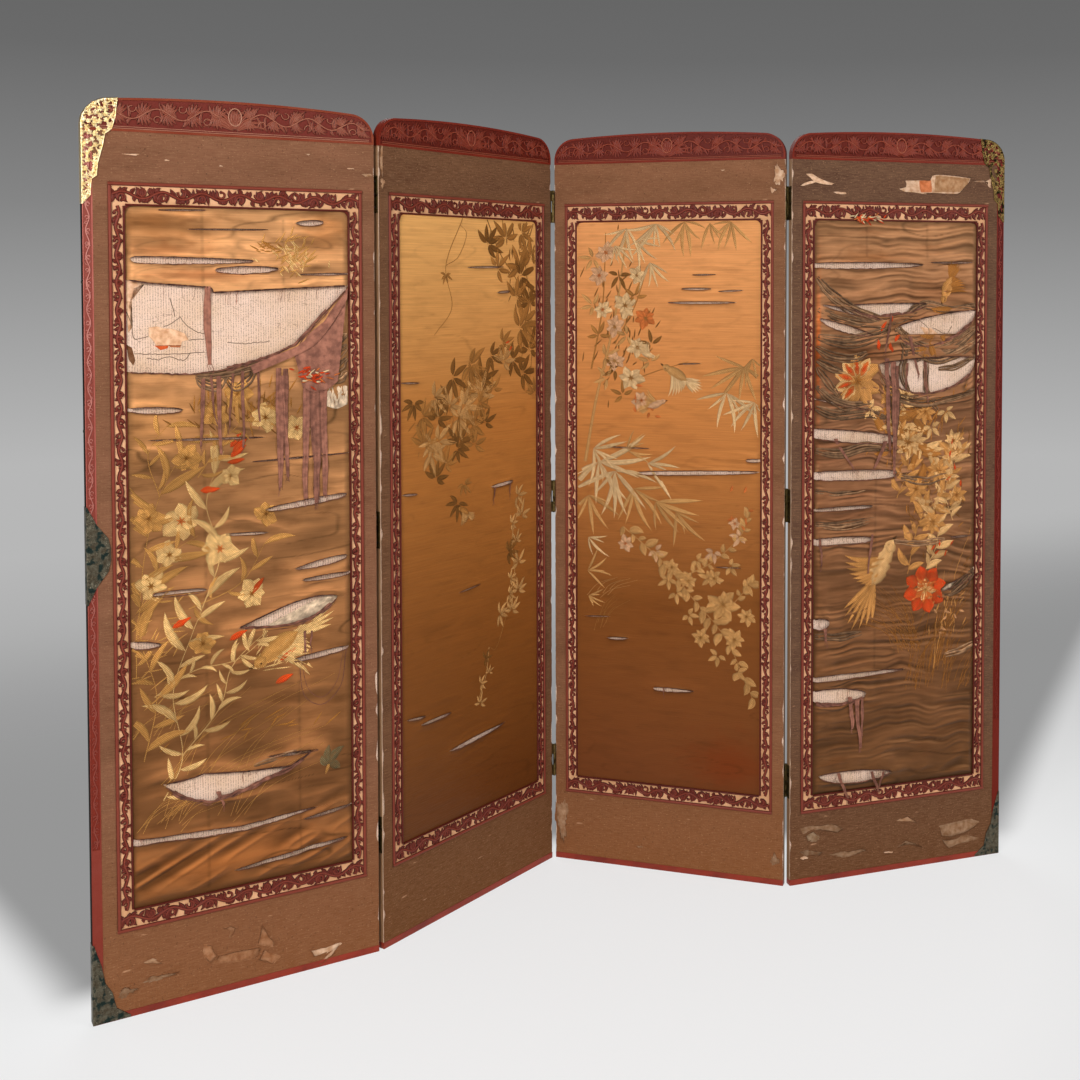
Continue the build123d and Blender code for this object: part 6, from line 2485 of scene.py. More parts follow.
# ---------------------------------------------------------------- mount cloth
@dataclass(frozen=True)
class Damage:
    """A place where the mount cloth has torn off its paper.

    Attributes:
        centre: across and up the leaf.
        size: its width and height.
        shade: of the bared paper.
        lift: how far the torn cloth curls up round it.
        outline: its corners, where it isn't a plain ragged blot.
        tint: of the bared paper, against the paper's own colour.
    """

    centre: Point
    size: Point
    shade: float = 1.0
    lift: float = 2.5
    outline: tuple[Point, ...] = ()
    tint: Colour = (1.0, 1.0, 1.0)


def peel(outline: tuple[Point, ...], shade: float, lift: float, tint: Colour = (1.0, 1.0, 1.0)) -> Damage:
    """A torn place of a given outline."""
    points = np.array(outline, float)
    low, high = points.min(0), points.max(0)
    return Damage(tuple(points.mean(0)), tuple(high - low), shade, lift, outline, tint)


TORN_CLOTH: dict[int, tuple[Damage, ...]] = {
    1: (
        Damage((88, 1620), (30, 3), 1.1, 0.8), Damage((150, 1612), (10, 4), 1.0, 0.8),
        Damage((505, 1612), (16, 3), 1.1, 0.8), Damage((540, 1600), (22, 8), 0.6, 1.0),
        Damage((250, 1606), (8, 3), 0.9, 0.6), Damage((420, 1636), (7, 3), 0.8, 0.6),
        peel(((241, 126), (253, 131), (264, 122), (260, 109), (249, 102), (251, 116)), 0.42, 2.6,
             (1.1, 0.9, 0.78)),
        peel(((312, 116), (341, 70), (335, 64), (304, 78)), 0.5, 3.4, (1.1, 0.88, 0.74)),
        peel(((409, 38), (431, 39), (472, 39), (476, 35), (443, 23), (415, 24)), 1.1, 3.0),
        peel(((472, 36), (447, 22), (423, 4), (431, 3), (456, 18)), 1.0, 2.0),
        peel(((217, 61), (228, 74), (258, 78), (312, 70), (304, 50), (273, 51)), 0.48, 3.6,
             (1.1, 0.88, 0.74)),
        peel(((202, 105), (217, 99), (228, 74), (213, 62), (198, 84)), 0.56, 3.0, (1.1, 0.9, 0.78)),
        peel(((304, 48), (316, 67), (351, 41), (335, 29)), 0.52, 3.2, (1.1, 0.88, 0.74)),
        peel(((86, 97), (107, 102), (125, 86)), 0.7, 2.4),
        Damage((118, 62), (60, 12), 0.46, 3.5), Damage((60, 50), (34, 22), 0.4, 3.5),
    ),
    2: (Damage((8, 1630), (9, 60), 0.7, 1.0), Damage((10, 1585), (12, 26), 0.7, 1.0),
        Damage((300, 90), (24, 3), 0.6, 1.0), Damage((120, 60), (14, 3), 0.6, 0.6)),
    3: (
        Damage((540, 1628), (28, 52), 1.0, 3.2), Damage((528, 1592), (16, 12), 1.05, 2.4),
        Damage((16, 96), (34, 100), 0.62, 4.0), Damage((210, 50), (16, 5), 0.5, 1.6),
        Damage((536, 60), (22, 30), 0.5, 1.4), Damage((410, 1640), (9, 3), 0.9, 0.6),
    ),
    4: (
        peel(((289, 1620), (353, 1624), (359, 1637), (380, 1638), (466, 1631), (460, 1618), (434, 1592),
              (338, 1591), (286, 1595), (273, 1600), (292, 1606)), 1.1, 2.4),
        peel(((325, 1621), (357, 1623), (360, 1594), (329, 1594)), 1.0, 0.0, (1.0, 0.5, 0.3)),
        peel(((368, 1635), (460, 1629), (454, 1612), (432, 1596), (366, 1595)), 0.72, 0.0, (1.0, 0.96, 0.86)),
        peel(((17, 1600), (25, 1607), (49, 1615), (34, 1630), (49, 1629), (77, 1616), (105, 1609),
              (102, 1605), (59, 1608)), 1.2, 1.6),
        peel(((101, 1591), (132, 1591), (137, 1585), (109, 1586)), 1.1, 1.0),
        peel(((462, 1623), (509, 1627), (519, 1630), (519, 1608), (513, 1610), (509, 1622)), 1.0, 1.0),
        peel(((26, 130), (62, 133), (110, 131), (136, 116), (121, 109), (77, 121), (51, 120), (33, 116)),
             0.46, 3.0),
        peel(((37, 113), (59, 122), (77, 102), (66, 94), (44, 97)), 0.52, 2.0, (0.9, 1.0, 1.05)),
        peel(((24, 76), (55, 78), (84, 67), (77, 60), (37, 64)), 0.36, 2.4),
        peel(((23, 61), (37, 64), (48, 57), (33, 55)), 1.1, 1.6),
        peel(((274, 114), (305, 125), (332, 103), (309, 110)), 0.66, 2.4),
        peel(((275, 51), (298, 68), (325, 57), (348, 41), (317, 55), (298, 58)), 0.4, 3.4),
        peel(((396, 53), (422, 51), (465, 57), (501, 44), (414, 29)), 0.5, 3.4),
        peel(((390, 89), (477, 94), (501, 85), (497, 77), (465, 62), (422, 56), (394, 64)), 0.52, 3.2),
        peel(((241, 46), (267, 44), (265, 40), (244, 42)), 1.1, 1.0), Damage((150, 56), (90, 16), 0.44, 3.0),
    ),
}


@dataclass
class MountCloth:
    """The four strips of cloth round the border, and where they have torn."""

    leaf: Leaf
    depth: float = 0.95
    step: float = 7.0

    def build(self) -> None:
        """Makes the strips, the laps between them and the bared paper."""
        cloth, top, bottom = (self.leaf.box(name) for name in ("mount_cloth", "fret_top", "fret_bottom"))
        low, high = bottom.bottom + 2, top.top - 2
        strips = {
            "cloth_top_band": Box(cloth.left, cloth.right, 0, 0, top.top - 6, cloth.top),
            "cloth_bottom_band": Box(cloth.left, cloth.right, 0, 0, cloth.bottom, bottom.bottom + 6),
            "cloth_left_margin": Box(cloth.left, top.left + 6, -0.35, 0, low,
                                     cloth.top - 4 if self.leaf.number == 4 else high),
            "cloth_right_margin": Box(top.right - 6, cloth.right, -0.35, 0, low, high),
        }
        for name, strip in strips.items():
            self.strip(name, strip)
        self.damage()

    def strip(self, name: str, strip: Box) -> None:
        """Makes one pasted strip, ragged where it turns over a fold.

        Args:
            name: of its node, without the leaf's.
            strip: its cut edges, with how far it stands off its fellows.
        """
        columns = max(5, round((strip.right - strip.left) / self.step) + 1)
        rows = max(5, round((strip.top - strip.bottom) / self.step) + 1)
        x, z = np.meshgrid(np.linspace(strip.left, strip.right, columns),
                           np.linspace(strip.bottom, strip.top, rows))
        seed = 40 + self.leaf.number
        relief = 0.22 * smooth_noise(x / 45, z / 30, seed) + 0.12 * smooth_noise(x / 12, z / 9, seed + 1)
        bite = np.clip(smooth_noise(z / 24, 0, seed + 2) - 0.45, 0, 1) * 9
        bite += np.clip(smooth_noise(z / 7, 0, seed + 3) - 0.2, 0, 1) * 1.1
        span = strip.right - strip.left
        if self.leaf.free_side is not Side.LEFT and strip.left < 1:
            x = x + bite * (1 - (x - strip.left) / span) ** 6
        if self.leaf.free_side is not Side.RIGHT and strip.right > self.leaf.width - 1:
            x = x - bite * ((x - strip.left) / span) ** 6
        patches = Patches()
        patches.add(np.stack([x, self.depth + strip.front - np.abs(relief), z], -1))
        piece = patches.piece(self.leaf.node(name), self.leaf, MOUNT_CLOTHS[self.leaf.number], "brown_cloth")
        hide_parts(self.leaf.node("mount_cloth"))
        self.leaf.node("paper_lining")

    def damage(self) -> None:
        """Makes the bared paper and the cloth that curls up round it."""
        bare, curls = Patches(), Patches()
        draw = random.Random(90 + self.leaf.number)
        waver = (0.9 + 0.1 * np.sin(np.arange(4) * 2.1))[:, None, None]
        for place in TORN_CLOTH[self.leaf.number]:
            outline, centre = self.blot(place, draw), np.array(place.centre)
            hue = np.array((1.0, 0.86, 0.7) if place.shade < 0.8 else (1.0, 0.96, 0.9))
            bare.add(rings(outline, centre, (0.02, 0.5, 0.85, 1.0),
                           self.depth - (0.5 if place.lift else 0.6)),
                     place.shade * waver * hue * np.array(place.tint))
            if place.lift:
                self.curl(curls, outline, centre, place, draw)
        bare.piece(self.leaf.node("bared_paper"), self.leaf, BARE_PAPER, "lining_paper")
        curls.piece(self.leaf.node("cloth_curls"), self.leaf, MOUNT_CLOTHS[self.leaf.number], "brown_cloth")

    def blot(self, place: Damage, draw: random.Random) -> np.ndarray:
        """The ragged outline of a torn place.

        Args:
            place: that has torn.
            draw: gives the outline of a plain blot.

        Returns:
            Its points, closed.
        """
        if place.outline:
            corners = np.array([*place.outline, place.outline[0]], float)
            at = np.linspace(0, len(corners) - 1, 6 * len(corners))
            ragged = np.stack([np.interp(at, np.arange(len(corners)), corners[:, i]) for i in (0, 1)], 1)
            ragged += 0.9 * np.stack([smooth_noise(at * 2, i + corners[0, 0], 44) for i in (0, 1)], 1)
            ragged[-1] = ragged[0]
            return np.clip(ragged, 1.0, (self.leaf.width - 1.0, self.leaf.height))
        count = 34
        angles = np.linspace(0, 2 * np.pi, count)
        wander = np.array([draw.uniform(0.72, 1.12) for _ in range(count - 1)])
        radius = np.append(wander, wander[0]) * (1 + 0.22 * np.sin(angles * 3 + draw.uniform(0, 6)))
        around = np.stack([np.cos(angles), np.sin(angles)], 1) * radius[:, None] * (np.array(place.size) / 2)
        points = np.array(place.centre) + around
        points[:, 0] = np.clip(points[:, 0], 1.0, self.leaf.width - 1.0)
        return points

    def curl(self, patches: Patches, outline: np.ndarray, centre: np.ndarray, place: Damage,
             draw: random.Random) -> None:
        """Adds a rolled lip along parts of a torn place.

        Args:
            patches: takes the lip.
            outline: of the torn place.
            centre: of the torn place.
            place: that has torn.
            draw: gives where the lip starts and how high it rises.
        """
        out = outline - centre
        out /= np.maximum(np.linalg.norm(out, axis=1, keepdims=True), 1e-6)
        start = draw.randrange(len(outline))
        order = [(start + i) % (len(outline) - 1) for i in range(int(len(outline) * 0.7))]
        reach = min(5.0, 0.3 * min(place.size))
        rise = place.lift * np.sin(np.linspace(0, np.pi, len(order)))
        rise *= 0.6 + 0.4 * np.array([draw.random() for _ in order])
        patches.add(np.array([
            raised(outline[order] - out[order] * inward * reach, self.depth - 0.3 - rise * lift)
            for inward, lift in ((-0.9, 0.0), (-0.3, 0.35), (0.25, 0.8), (0.6, 1.0), (0.3, 1.15))
        ]))


# ---------------------------------------------------------------- metalwork
@dataclass
class Openwork:
    """A pierced or chased sheet mount on a free edge."""

    leaf: Leaf
    node: str
    finish: Metal
    slot: str
    pierced: bool
    height: float = 1.5
    spacing: float = 10.5
    scallop: float = 6.5     # from one lobe of the edge to the next

    def build(self) -> None:
        """Makes the flowers, scrolls and lobed edge over the mount's own outline."""
        patches = Patches()
        outline = self.outline()
        base = -0.05 if self.pierced else self.leaf.box(self.node).front + 0.02
        height = self.height if self.pierced else self.height * 0.7
        path = np.vstack([outline, outline[:1]])
        inset = path - beside(path) * 1.3
        patches.add(bar(inset, 2.2, height, base), BAR_RISE)
        for x, z in self.lobes(outline):
            patches.dome((x, base, z), FORWARD, self.scallop * 0.46, height * 1.1, 10)
        draw = random.Random(len(self.node) * 7 + self.leaf.number)
        centres = self.spots(outline, draw)
        for i, centre in enumerate(centres):
            for other in sorted(centres, key=lambda other: math.dist(centre, other))[1:3]:
                middle = ((centre[0] + other[0]) / 2, (centre[1] + other[1]) / 2)
                bend = polar(middle, draw.uniform(0, 360), 1.6)
                stem = curve_through([centre, bend, other], 7)
                patches.add(bar(stem, 2.4, height * 0.7, base), BAR_RISE)
            radius = min(self.spacing * draw.uniform(0.56, 0.7), room(outline, centre) - 0.3)
            self.flower(patches, centre, base, height, 5 if i % 3 else 8, radius, draw.uniform(0, 360))
        if self.pierced:
            self.wrap(patches)
        piece = patches.piece(self.leaf.node(f"{self.node}_chasing"), self.leaf, self.finish, self.slot)
        if self.pierced:
            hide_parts(self.leaf.node(self.node))

    def flower(self, patches: Patches, centre: Point, base: float, height: float, petals: int, radius: float,
               turn: float) -> None:
        """Adds a chased flower with a domed heart.

        Args:
            patches: takes the flower.
            centre: of the flower.
            base: depth of the sheet.
            height: of the petals over it.
            petals: how many.
            radius: of the flower.
            turn: of its first petal, in degrees.
        """
        share = 0.84 if petals == 5 else 0.5
        for i in range(petals):
            tip = polar(centre, turn + i * 360 / petals, radius)
            patches.petal(centre, tip, radius * share, height, base, 0.14)
        patches.dome((centre[0], base - height * 0.55, centre[1]), FORWARD, radius * 0.24, 0.9, 10)

    def lobes(self, outline: np.ndarray) -> np.ndarray:
        """Points just inside the outline, evenly spaced.

        Args:
            outline: of the mount.

        Returns:
            A row for each lobe's centre.
        """
        path = np.vstack([outline, outline[:1]])
        along = np.append(0, np.cumsum(np.linalg.norm(np.diff(path, axis=0), axis=1)))
        steps = np.arange(0, along[-1], self.scallop)
        points = np.stack([np.interp(steps, along, path[:, i]) for i in (0, 1)], 1)
        spots = points - beside(points) * self.scallop * 0.5
        return np.array([p for p in spots if room(outline, tuple(p)) > self.scallop * 0.4])

    def faces(self) -> tuple[np.ndarray, list[tuple[int, ...]], list[tuple[int, ...]]]:
        """The CAD mount's points, its front face's triangles and all the others.

        Returns:
            A row for each point, and the points of each triangle.
        """
        points = self.leaf.points(self.node)
        polygons = [tuple(p.vertices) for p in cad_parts[self.leaf.node(self.node)].data.polygons]
        front = points[:, 1].min() + 0.05
        face = [p for p in polygons if all(points[v, 1] < front for v in p)]
        return points, face, [p for p in polygons if p not in set(face)]

    def outline(self) -> np.ndarray:
        """The mount's front outline.

        Returns:
            Its corners, in order.
        """
        points, face, _ = self.faces()
        keys = {v: tuple(np.round(points[v], 2)) for p in face for v in p}
        uses: dict[frozenset, int] = {}
        for p in face:
            for a, b in zip(p, (*p[1:], p[0])):
                edge = frozenset((keys[a], keys[b]))
                uses[edge] = uses.get(edge, 0) + 1
        links: dict[tuple, list[tuple]] = {}
        for edge, count in uses.items():
            if count == 1 and len(edge) == 2:
                a, b = edge
                links.setdefault(a, []).append(b)
                links.setdefault(b, []).append(a)
        start = min(links)
        loop, last = [start], None
        while True:
            ahead = [p for p in links[loop[-1]] if p != last]
            if not ahead or ahead[0] == start:
                break
            last = loop[-1]
            loop.append(ahead[0])
        flat = np.array(loop)[:, [0, 2]]
        area = np.sum(flat[:, 0] * np.roll(flat[:, 1], -1) - flat[:, 1] * np.roll(flat[:, 0], -1))
        return flat if area > 0 else flat[::-1]

    def spots(self, outline: np.ndarray, draw: random.Random) -> list[Point]:
        """Centres of the flowers, spread over the outline and clear of its edge.

        Args:
            outline: of the mount.
            draw: gives their places.

        Returns:
            The centres.
        """
        low, high = outline.min(0), outline.max(0)
        found: list[Point] = []
        for _ in range(1500):
            point = (draw.uniform(low[0], high[0]), draw.uniform(low[1], high[1]))
            if room(outline, point) > 3.4 and all(math.dist(point, other) > self.spacing for other in found):
                found.append(point)
        return found

    def wrap(self, patches: Patches) -> None:
        """Adds the CAD mount's band and back sheet, without its front face.

        Args:
            patches: takes them.
        """
        points, _, others = self.faces()
        back = [p for p in others if points[list(p), 1].max() > 0.4]
        for p in back:
            corners = points[list(p)]
            grid = np.array([[corners[0], corners[1]], [corners[0], corners[2]]])
            if len(p) == 3:
                patches.points.append(corners)
                patches.faces.append(np.array([[patches.count, patches.count + 1, patches.count + 2,
                                                patches.count + 2]]))
                patches.tones.append(np.ones((3, 3)))
                patches.count += 3
            else:
                patches.add(grid)


def room(outline: np.ndarray, point: Point) -> float:
    """How far inside an outline a point lies.

    Args:
        outline: n corners, in order.
        point: that is looked at.

    Returns:
        Its distance from the outline, below 0 where it is outside.
    """
    x, z = point
    a, b = outline, np.roll(outline, -1, axis=0)
    crosses = (a[:, 1] > z) != (b[:, 1] > z)
    at = a[:, 0] + (z - a[:, 1]) / np.where(crosses, b[:, 1] - a[:, 1], 1) * (b[:, 0] - a[:, 0])
    run = b - a
    share = np.clip(((np.array(point) - a) * run).sum(1) / np.maximum((run**2).sum(1), 1e-9), 0, 1)
    near = np.linalg.norm(a + run * share[:, None] - np.array(point), axis=1).min()
    return float(near if (crosses & (x < at)).sum() % 2 else -near)


@dataclass
class HingeScrews:
    """The countersunk screws of one fold's plates, three to each plate."""

    leaf: Leaf
    fold: str
    side: Side
    radius: float = 2.4
    plate_height: float = 76.0
    spread: float = 26.0
    inset: float = 7.0
    plate_face: float = 1.2
    middle_share: float = 0.48

    def build(self) -> None:
        """Makes the screws on each of the three plates."""
        node = f"{self.fold}_{'left' if self.side is Side.RIGHT else 'right'}_plates"
        low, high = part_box(node)
        patches = Patches()
        face = self.leaf.width + self.plate_face if self.side is Side.RIGHT else -self.plate_face
        middle = self.inset if self.fold == "fold_2_3" else self.leaf.box("crest_rail").back - self.inset
        towards = Vector((1, 0, 0)) if self.side is Side.RIGHT else Vector((-1, 0, 0))
        first = low.z / MM + self.plate_height / 2
        run = (high.z - low.z) / MM - self.plate_height
        for share in (0.0, self.middle_share, 1.0):
            for rise in (-self.spread, 0.0, self.spread):
                patches.dome((face, middle, first + run * share + rise), towards, self.radius, 0.18, 12)
        patches.piece(f"{node}_screws", self.leaf, HINGE_STEEL, "hinge_steel")


def edge_studs(leaf: Leaf) -> None:
    """Makes the two domed studs on the free edge of the first leaf.

    Args:
        leaf: the one that has them.
    """
    patches = Patches()
    for height in (1384.0, 1110.0):
        patches.dome((0.0, 9.0, height), Vector((-1, 0, 0)), 5.0, 2.0)
    patches.piece(leaf.node("edge_studs"), leaf, BRONZE, "dark_bronze")


# ---------------------------------------------------------------- the screen and its setting
NODE_FINISHES: dict[str, Finish] = {
    "core_frame": CORE_WOOD,
    "core_lattice": CORE_WOOD,
    "back_panel": BACK_PAPER,
    "paper_lining": LINING,
    "foot_rail": FOOT_LACQUER,
    "bottom_corner_mount": BRONZE,
    "middle_mount": BRONZE,
}


def dress_node(name: str, leaf: Leaf, finish: Finish) -> None:
    """Gives a CAD node its finish.

    Args:
        name: of the node.
        leaf: that it belongs to.
        finish: of its surface.
    """
    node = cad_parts[name]
    node.data.materials.clear()
    node.data.materials.append(finish.material(leaf))
    log.info("%s: CAD node, %s", name, finish.name)


class Screen:
    """The whole screen: four leaves, their pictures and the folds."""

    def __init__(self) -> None:
        """Reads the four leaves from the frame."""
        self.leaves = [read_leaf(number) for number in range(1, 5)]

    def build(self) -> None:
        """Makes and dresses every piece."""
        for leaf in self.leaves:
            self.dress_leaf(leaf)
            MountCloth(leaf).build()
            PiercedBorder(leaf).build()
            CrestCarving(leaf).build()
            self.picture(leaf)
            if leaf.free_side:
                self.free_edge(leaf)
        self.folds()

    def dress_leaf(self, leaf: Leaf) -> None:
        """Finishes the leaf's own CAD nodes.

        Args:
            leaf: whose nodes they are.
        """
        dress_node(leaf.node("crest_rail"), leaf, CRESTS[leaf.number][0])
        for piece, finish in NODE_FINISHES.items():
            if leaf.node(piece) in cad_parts:
                dress_node(leaf.node(piece), leaf, finish)

    def picture(self, leaf: Leaf) -> None:
        """Makes the satin, its stitching and what hangs from it.

        Args:
            leaf: that they belong to.
        """
        if leaf.free_side:
            gold = leaf.free_side is Side.LEFT
            loose, drape, fold = (0.24, 1.0, 31.0) if gold else (0.66, 0.3, 12.5)
            satin = TornSatin(leaf, Wear.SHREDDED, loose, step=2.6, drape=drape, fold=fold)
            torn_lining(leaf)
        else:
            satin = TornSatin(leaf, Wear.CREASED)
        ground = satin.build()
        work = Stitching(satin, 50 + leaf.number)
        DESIGNS[leaf.number](work)
        stitches = work.piece(leaf.node("embroidery"), leaf, FLOSS, "silk_satin")
        tatters = Tatters(satin).build()
        leaf.node("paper_lining")

    def free_edge(self, leaf: Leaf) -> None:
        """Makes the carved stile and the metal mounts of an outer leaf.

        Args:
            leaf: an outer one.
        """
        dress_node(leaf.node("outer_stile"), leaf, STILES[leaf.free_side][0])
        StileCarving(leaf).build()
        gilt = GILT if leaf.number == 1 else OLD_GILT
        Openwork(leaf, "top_corner_mount", gilt, "gilt_brass", True, spacing=9.0).build()
        Openwork(leaf, "bottom_corner_mount", BRONZE, "dark_bronze", False).build()
        if leaf.number == 1:
            Openwork(leaf, "middle_mount", BRONZE, "dark_bronze", False).build()
            edge_studs(leaf)

    def folds(self) -> None:
        """Finishes the hinges and drives their screws."""
        for left, right in zip(self.leaves, self.leaves[1:]):
            fold = f"fold_{left.number}_{right.number}"
            dress_node(f"{fold}_left_plates", left, HINGE_BRASS)
            dress_node(f"{fold}_right_plates", right, HINGE_BRASS)
            dress_node(f"{fold}_pins", right, HINGE_STEEL)
            HingeScrews(left, fold, Side.RIGHT).build()
            HingeScrews(right, fold, Side.LEFT).build()


@dataclass(frozen=True)
class Studio:
    """The plain floor, the soft lights and the camera, in metres and degrees."""

    camera_place: tuple[float, float, float] = (-1.0134, -2.9056, 1.381)
    camera_heading: float = -22.45
    camera_pitch: float = -2.0
    focal_pixels: float = 1368.0
    image_side: float = 1080.0
    centre: Point = (650.0, 331.4)
    sensor: float = 36.0
    floor_side: float = 40.0
    # greys of the backdrop, by the height that one looks at, as the sine of its angle
    backdrop: tuple[tuple[float, str], ...] = (
        (-0.36, "#A0A0A0"), (-0.27, "#A7A7A7"), (-0.18, "#B7B7B7"), (-0.12, "#B7B7B7"), (-0.04, "#A3A3A3"),
        (0.055, "#858585"), (0.16, "#6A6A6A"), (0.3, "#5C5C5C"),
    )

    def build(self) -> None:
        """Makes the floor, the world, the lamps and the camera."""
        self.floor()
        self.world()
        self.lamp("key", (-2.7, -3.3, 2.7), 1.3, 133.0)
        self.lamp("fill", (3.4, -3.6, 2.2), 2.4, 80.0)
        self.lamp("back", (0.5, 4.2, 3.4), 3.0, 60.0)
        self.camera()

    def seen(self, tree: bpy.types.NodeTree) -> bpy.types.NodeSocket:
        """Is 1 for what the camera sees, mirrored or through glass too, and 0 for light on the screen.

        Args:
            tree: of the material.

        Returns:
            A socket, 1 for such rays and 0 for the others.
        """
        rays = add_node(tree, "ShaderNodeLightPath")
        kinds = ("Camera", "Glossy", "Transmission")
        camera, glossy, through = (rays.outputs[f"Is {kind} Ray"] for kind in kinds)
        total = add_node(tree, "ShaderNodeMath", {0: camera, 1: glossy}, operation="ADD")
        both = {0: total.outputs[0], 1: through}
        return add_node(tree, "ShaderNodeMath", both, operation="ADD", use_clamp=True).outputs[0]

    def past(self, tree: bpy.types.NodeTree, place: bpy.types.NodeSocket, across: float, deep: float,
             start: float) -> bpy.types.NodeSocket:
        """Turns softly from 0 to 1 over a straight line on the floor, across x + deep y + start = 0.

        Args:
            tree: of the material.
            place: on the floor, in metres.
            across: the line's share of x.
            deep: its share of y.
            start: its constant.

        Returns:
            A socket, 1 past the line.
        """
        dot = add_node(tree, "ShaderNodeVectorMath", {0: place, 1: (across, deep, 0.0)},
                       operation="DOT_PRODUCT")
        sockets = {"Value": dot.outputs["Value"], "From Min": -start - 0.06, "From Max": 0.07 - start}
        return add_node(tree, "ShaderNodeMapRange", sockets, interpolation_type="SMOOTHSTEP").outputs[0]

    def floor(self) -> None:
        """Adds a pale floor with a painted pool of light round the screen, a painted shadow that turns it
        grey behind the screen, and a fade into the backdrop.
        """
        half = self.floor_side / 2
        mesh = bpy.data.meshes.new("floor")
        mesh.from_pydata([(-half, -half, 0), (half, -half, 0), (half, half, 0), (-half, half, 0)], [],
                         [(0, 1, 2, 3)])
        material = bpy.data.materials.new("studio_floor_painted")
        material.use_nodes = True
        tree = material.node_tree
        tree.nodes.clear()
        place = add_node(tree, "ShaderNodeNewGeometry").outputs["Position"]
        sides = add_node(tree, "ShaderNodeSeparateXYZ", {0: place})
        away = add_node(tree, "ShaderNodeMath", {0: sides.outputs["X"], 1: -0.12, 2: sides.outputs["Y"]},
                        operation="MULTIPLY_ADD").outputs[0]
        # painted shadow: a grey wedge behind the screen, between two slanting lines and past a shallow V
        left, right = self.past(tree, place, 0.949, 0.316, 1.04), self.past(tree, place, -0.698, 0.719, 0.842)
        inner = add_node(tree, "ShaderNodeMath", {
            0: self.past(tree, place, 0.38, 1.0, -0.3), 1: self.past(tree, place, -0.38, 1.0, -0.3),
        }, operation="MAXIMUM").outputs[0]
        wedge = add_node(tree, "ShaderNodeMath", {0: left, 1: right}, operation="MULTIPLY")
        behind = add_node(tree, "ShaderNodeMath", {0: wedge.outputs[0], 1: inner}, operation="MULTIPLY")
        far = add_node(tree, "ShaderNodeVectorMath", {0: place}, operation="LENGTH").outputs["Value"]
        # painted light: a near-white pool round the screen that dims to light grey with distance
        dim = add_node(tree, "ShaderNodeMapRange", {"Value": far, "From Min": 1.0, "From Max": 2.4})
        fade = add_node(tree, "ShaderNodeMapRange", {"Value": away, "From Min": 1.0, "From Max": 3.4},
                        interpolation_type="SMOOTHSTEP")
        near = add_node(tree, "ShaderNodeMix",
                        {0: dim.outputs[0], 6: linear("#FBFBFB"), 7: linear("#DCDCDC")},
                        data_type="RGBA").outputs[2]
        colour = add_node(tree, "ShaderNodeMix", {0: behind.outputs[0], 6: near, 7: linear("#A2A2A2")},
                          data_type="RGBA").outputs[2]
        matt = add_node(tree, "ShaderNodeBsdfDiffuse", {"Color": colour})
        # painted light: for the camera the floor partly glows with its own colour, pool and shadow included
        plain = add_node(tree, "ShaderNodeEmission", {"Color": colour, "Strength": 0.92})
        seen = self.seen(tree)
        share = add_node(tree, "ShaderNodeMath", {0: seen, 1: 0.7}, operation="MULTIPLY")
        lit = add_node(tree, "ShaderNodeMixShader",
                       {0: share.outputs[0], 1: matt.outputs[0], 2: plain.outputs[0]})
        gone = add_node(tree, "ShaderNodeMath", {0: seen, 1: fade.outputs[0]}, operation="MULTIPLY")
        clear = add_node(tree, "ShaderNodeBsdfTransparent")
        whole = add_node(tree, "ShaderNodeMixShader",
                         {0: gone.outputs[0], 1: lit.outputs[0], 2: clear.outputs[0]})
        add_node(tree, "ShaderNodeOutputMaterial", {"Surface": whole.outputs[0]})
        mesh.materials.append(material)
        floor = bpy.data.objects.new("floor", mesh)
        bpy.context.scene.collection.objects.link(floor)

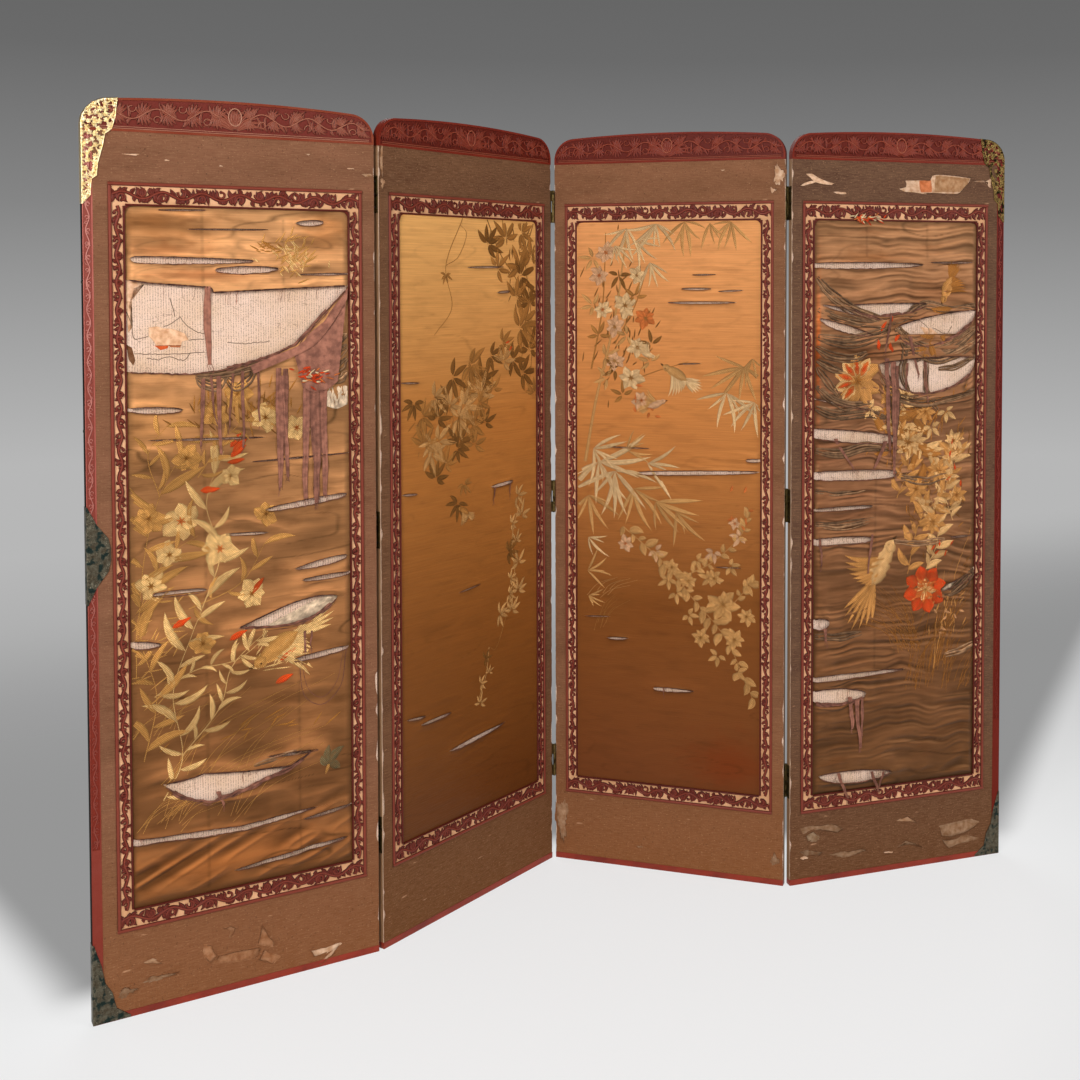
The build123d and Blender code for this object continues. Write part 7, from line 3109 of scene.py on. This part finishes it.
    def world(self) -> None:
        """Lights everything evenly from all round, before a grey backdrop that darkens upwards."""
        world = bpy.data.worlds.new("studio")
        world.use_nodes = True
        tree = world.node_tree
        tree.nodes.clear()
        towards = add_node(tree, "ShaderNodeTexCoord").outputs["Generated"]
        rise = add_node(tree, "ShaderNodeSeparateXYZ", {0: towards}).outputs["Z"]
        low, high = self.backdrop[0][0], self.backdrop[-1][0]
        place = add_node(tree, "ShaderNodeMapRange", {"Value": rise, "From Min": low, "From Max": high})
        greys = add_node(tree, "ShaderNodeValToRGB", {0: place.outputs[0]})
        fill_ramp(greys, [((height - low) / (high - low), grey) for height, grey in self.backdrop])
        light = add_node(tree, "ShaderNodeBackground", {"Color": linear("#D6D7D8"), "Strength": 0.46})
        wall = add_node(tree, "ShaderNodeBackground", {"Color": greys.outputs[0], "Strength": 1.0})
        mixed = add_node(tree, "ShaderNodeMixShader",
                         {0: self.seen(tree), 1: light.outputs[0], 2: wall.outputs[0]})
        add_node(tree, "ShaderNodeOutputWorld", {"Surface": mixed.outputs[0]})
        bpy.context.scene.world = world

    def lamp(self, name: str, place: tuple[float, float, float], side: float, watts: float) -> None:
        """Adds a square soft lamp that looks at the screen's middle.

        Args:
            name: of the lamp.
            place: of its middle.
            side: its length and breadth.
            watts: its power.
        """
        light = bpy.data.lights.new(name, "AREA")
        light.size = side
        light.energy = watts
        lamp = bpy.data.objects.new(name, light)
        lamp.location = place
        lamp.rotation_euler = (Vector((0, 0, 0.9)) - Vector(place)).to_track_quat("-Z", "Y").to_euler()
        bpy.context.scene.collection.objects.link(lamp)

    def camera(self) -> None:
        """Stands the camera at eye height, to the left of the screen."""
        data = bpy.data.cameras.new("camera")
        data.sensor_width = self.sensor
        data.lens = self.focal_pixels / self.image_side * self.sensor
        data.shift_x = (self.image_side / 2 - self.centre[0]) / self.image_side
        data.shift_y = (self.centre[1] - self.image_side / 2) / self.image_side
        camera = bpy.data.objects.new("camera", data)
        camera.location = self.camera_place
        camera.rotation_euler = (math.radians(90 + self.camera_pitch), 0, math.radians(self.camera_heading))
        bpy.context.scene.collection.objects.link(camera)
        bpy.context.scene.camera = camera


def main() -> None:
    """Builds the screen and its setting, and notes the sizes."""
    logging.basicConfig(level=logging.INFO, format="%(name)s: %(message)s")
    Screen().build()
    Studio().build()
    bpy.context.scene.view_settings.view_transform = "Standard"
    bpy.context.view_layer.update()


if __name__ == "__main__":
    main()
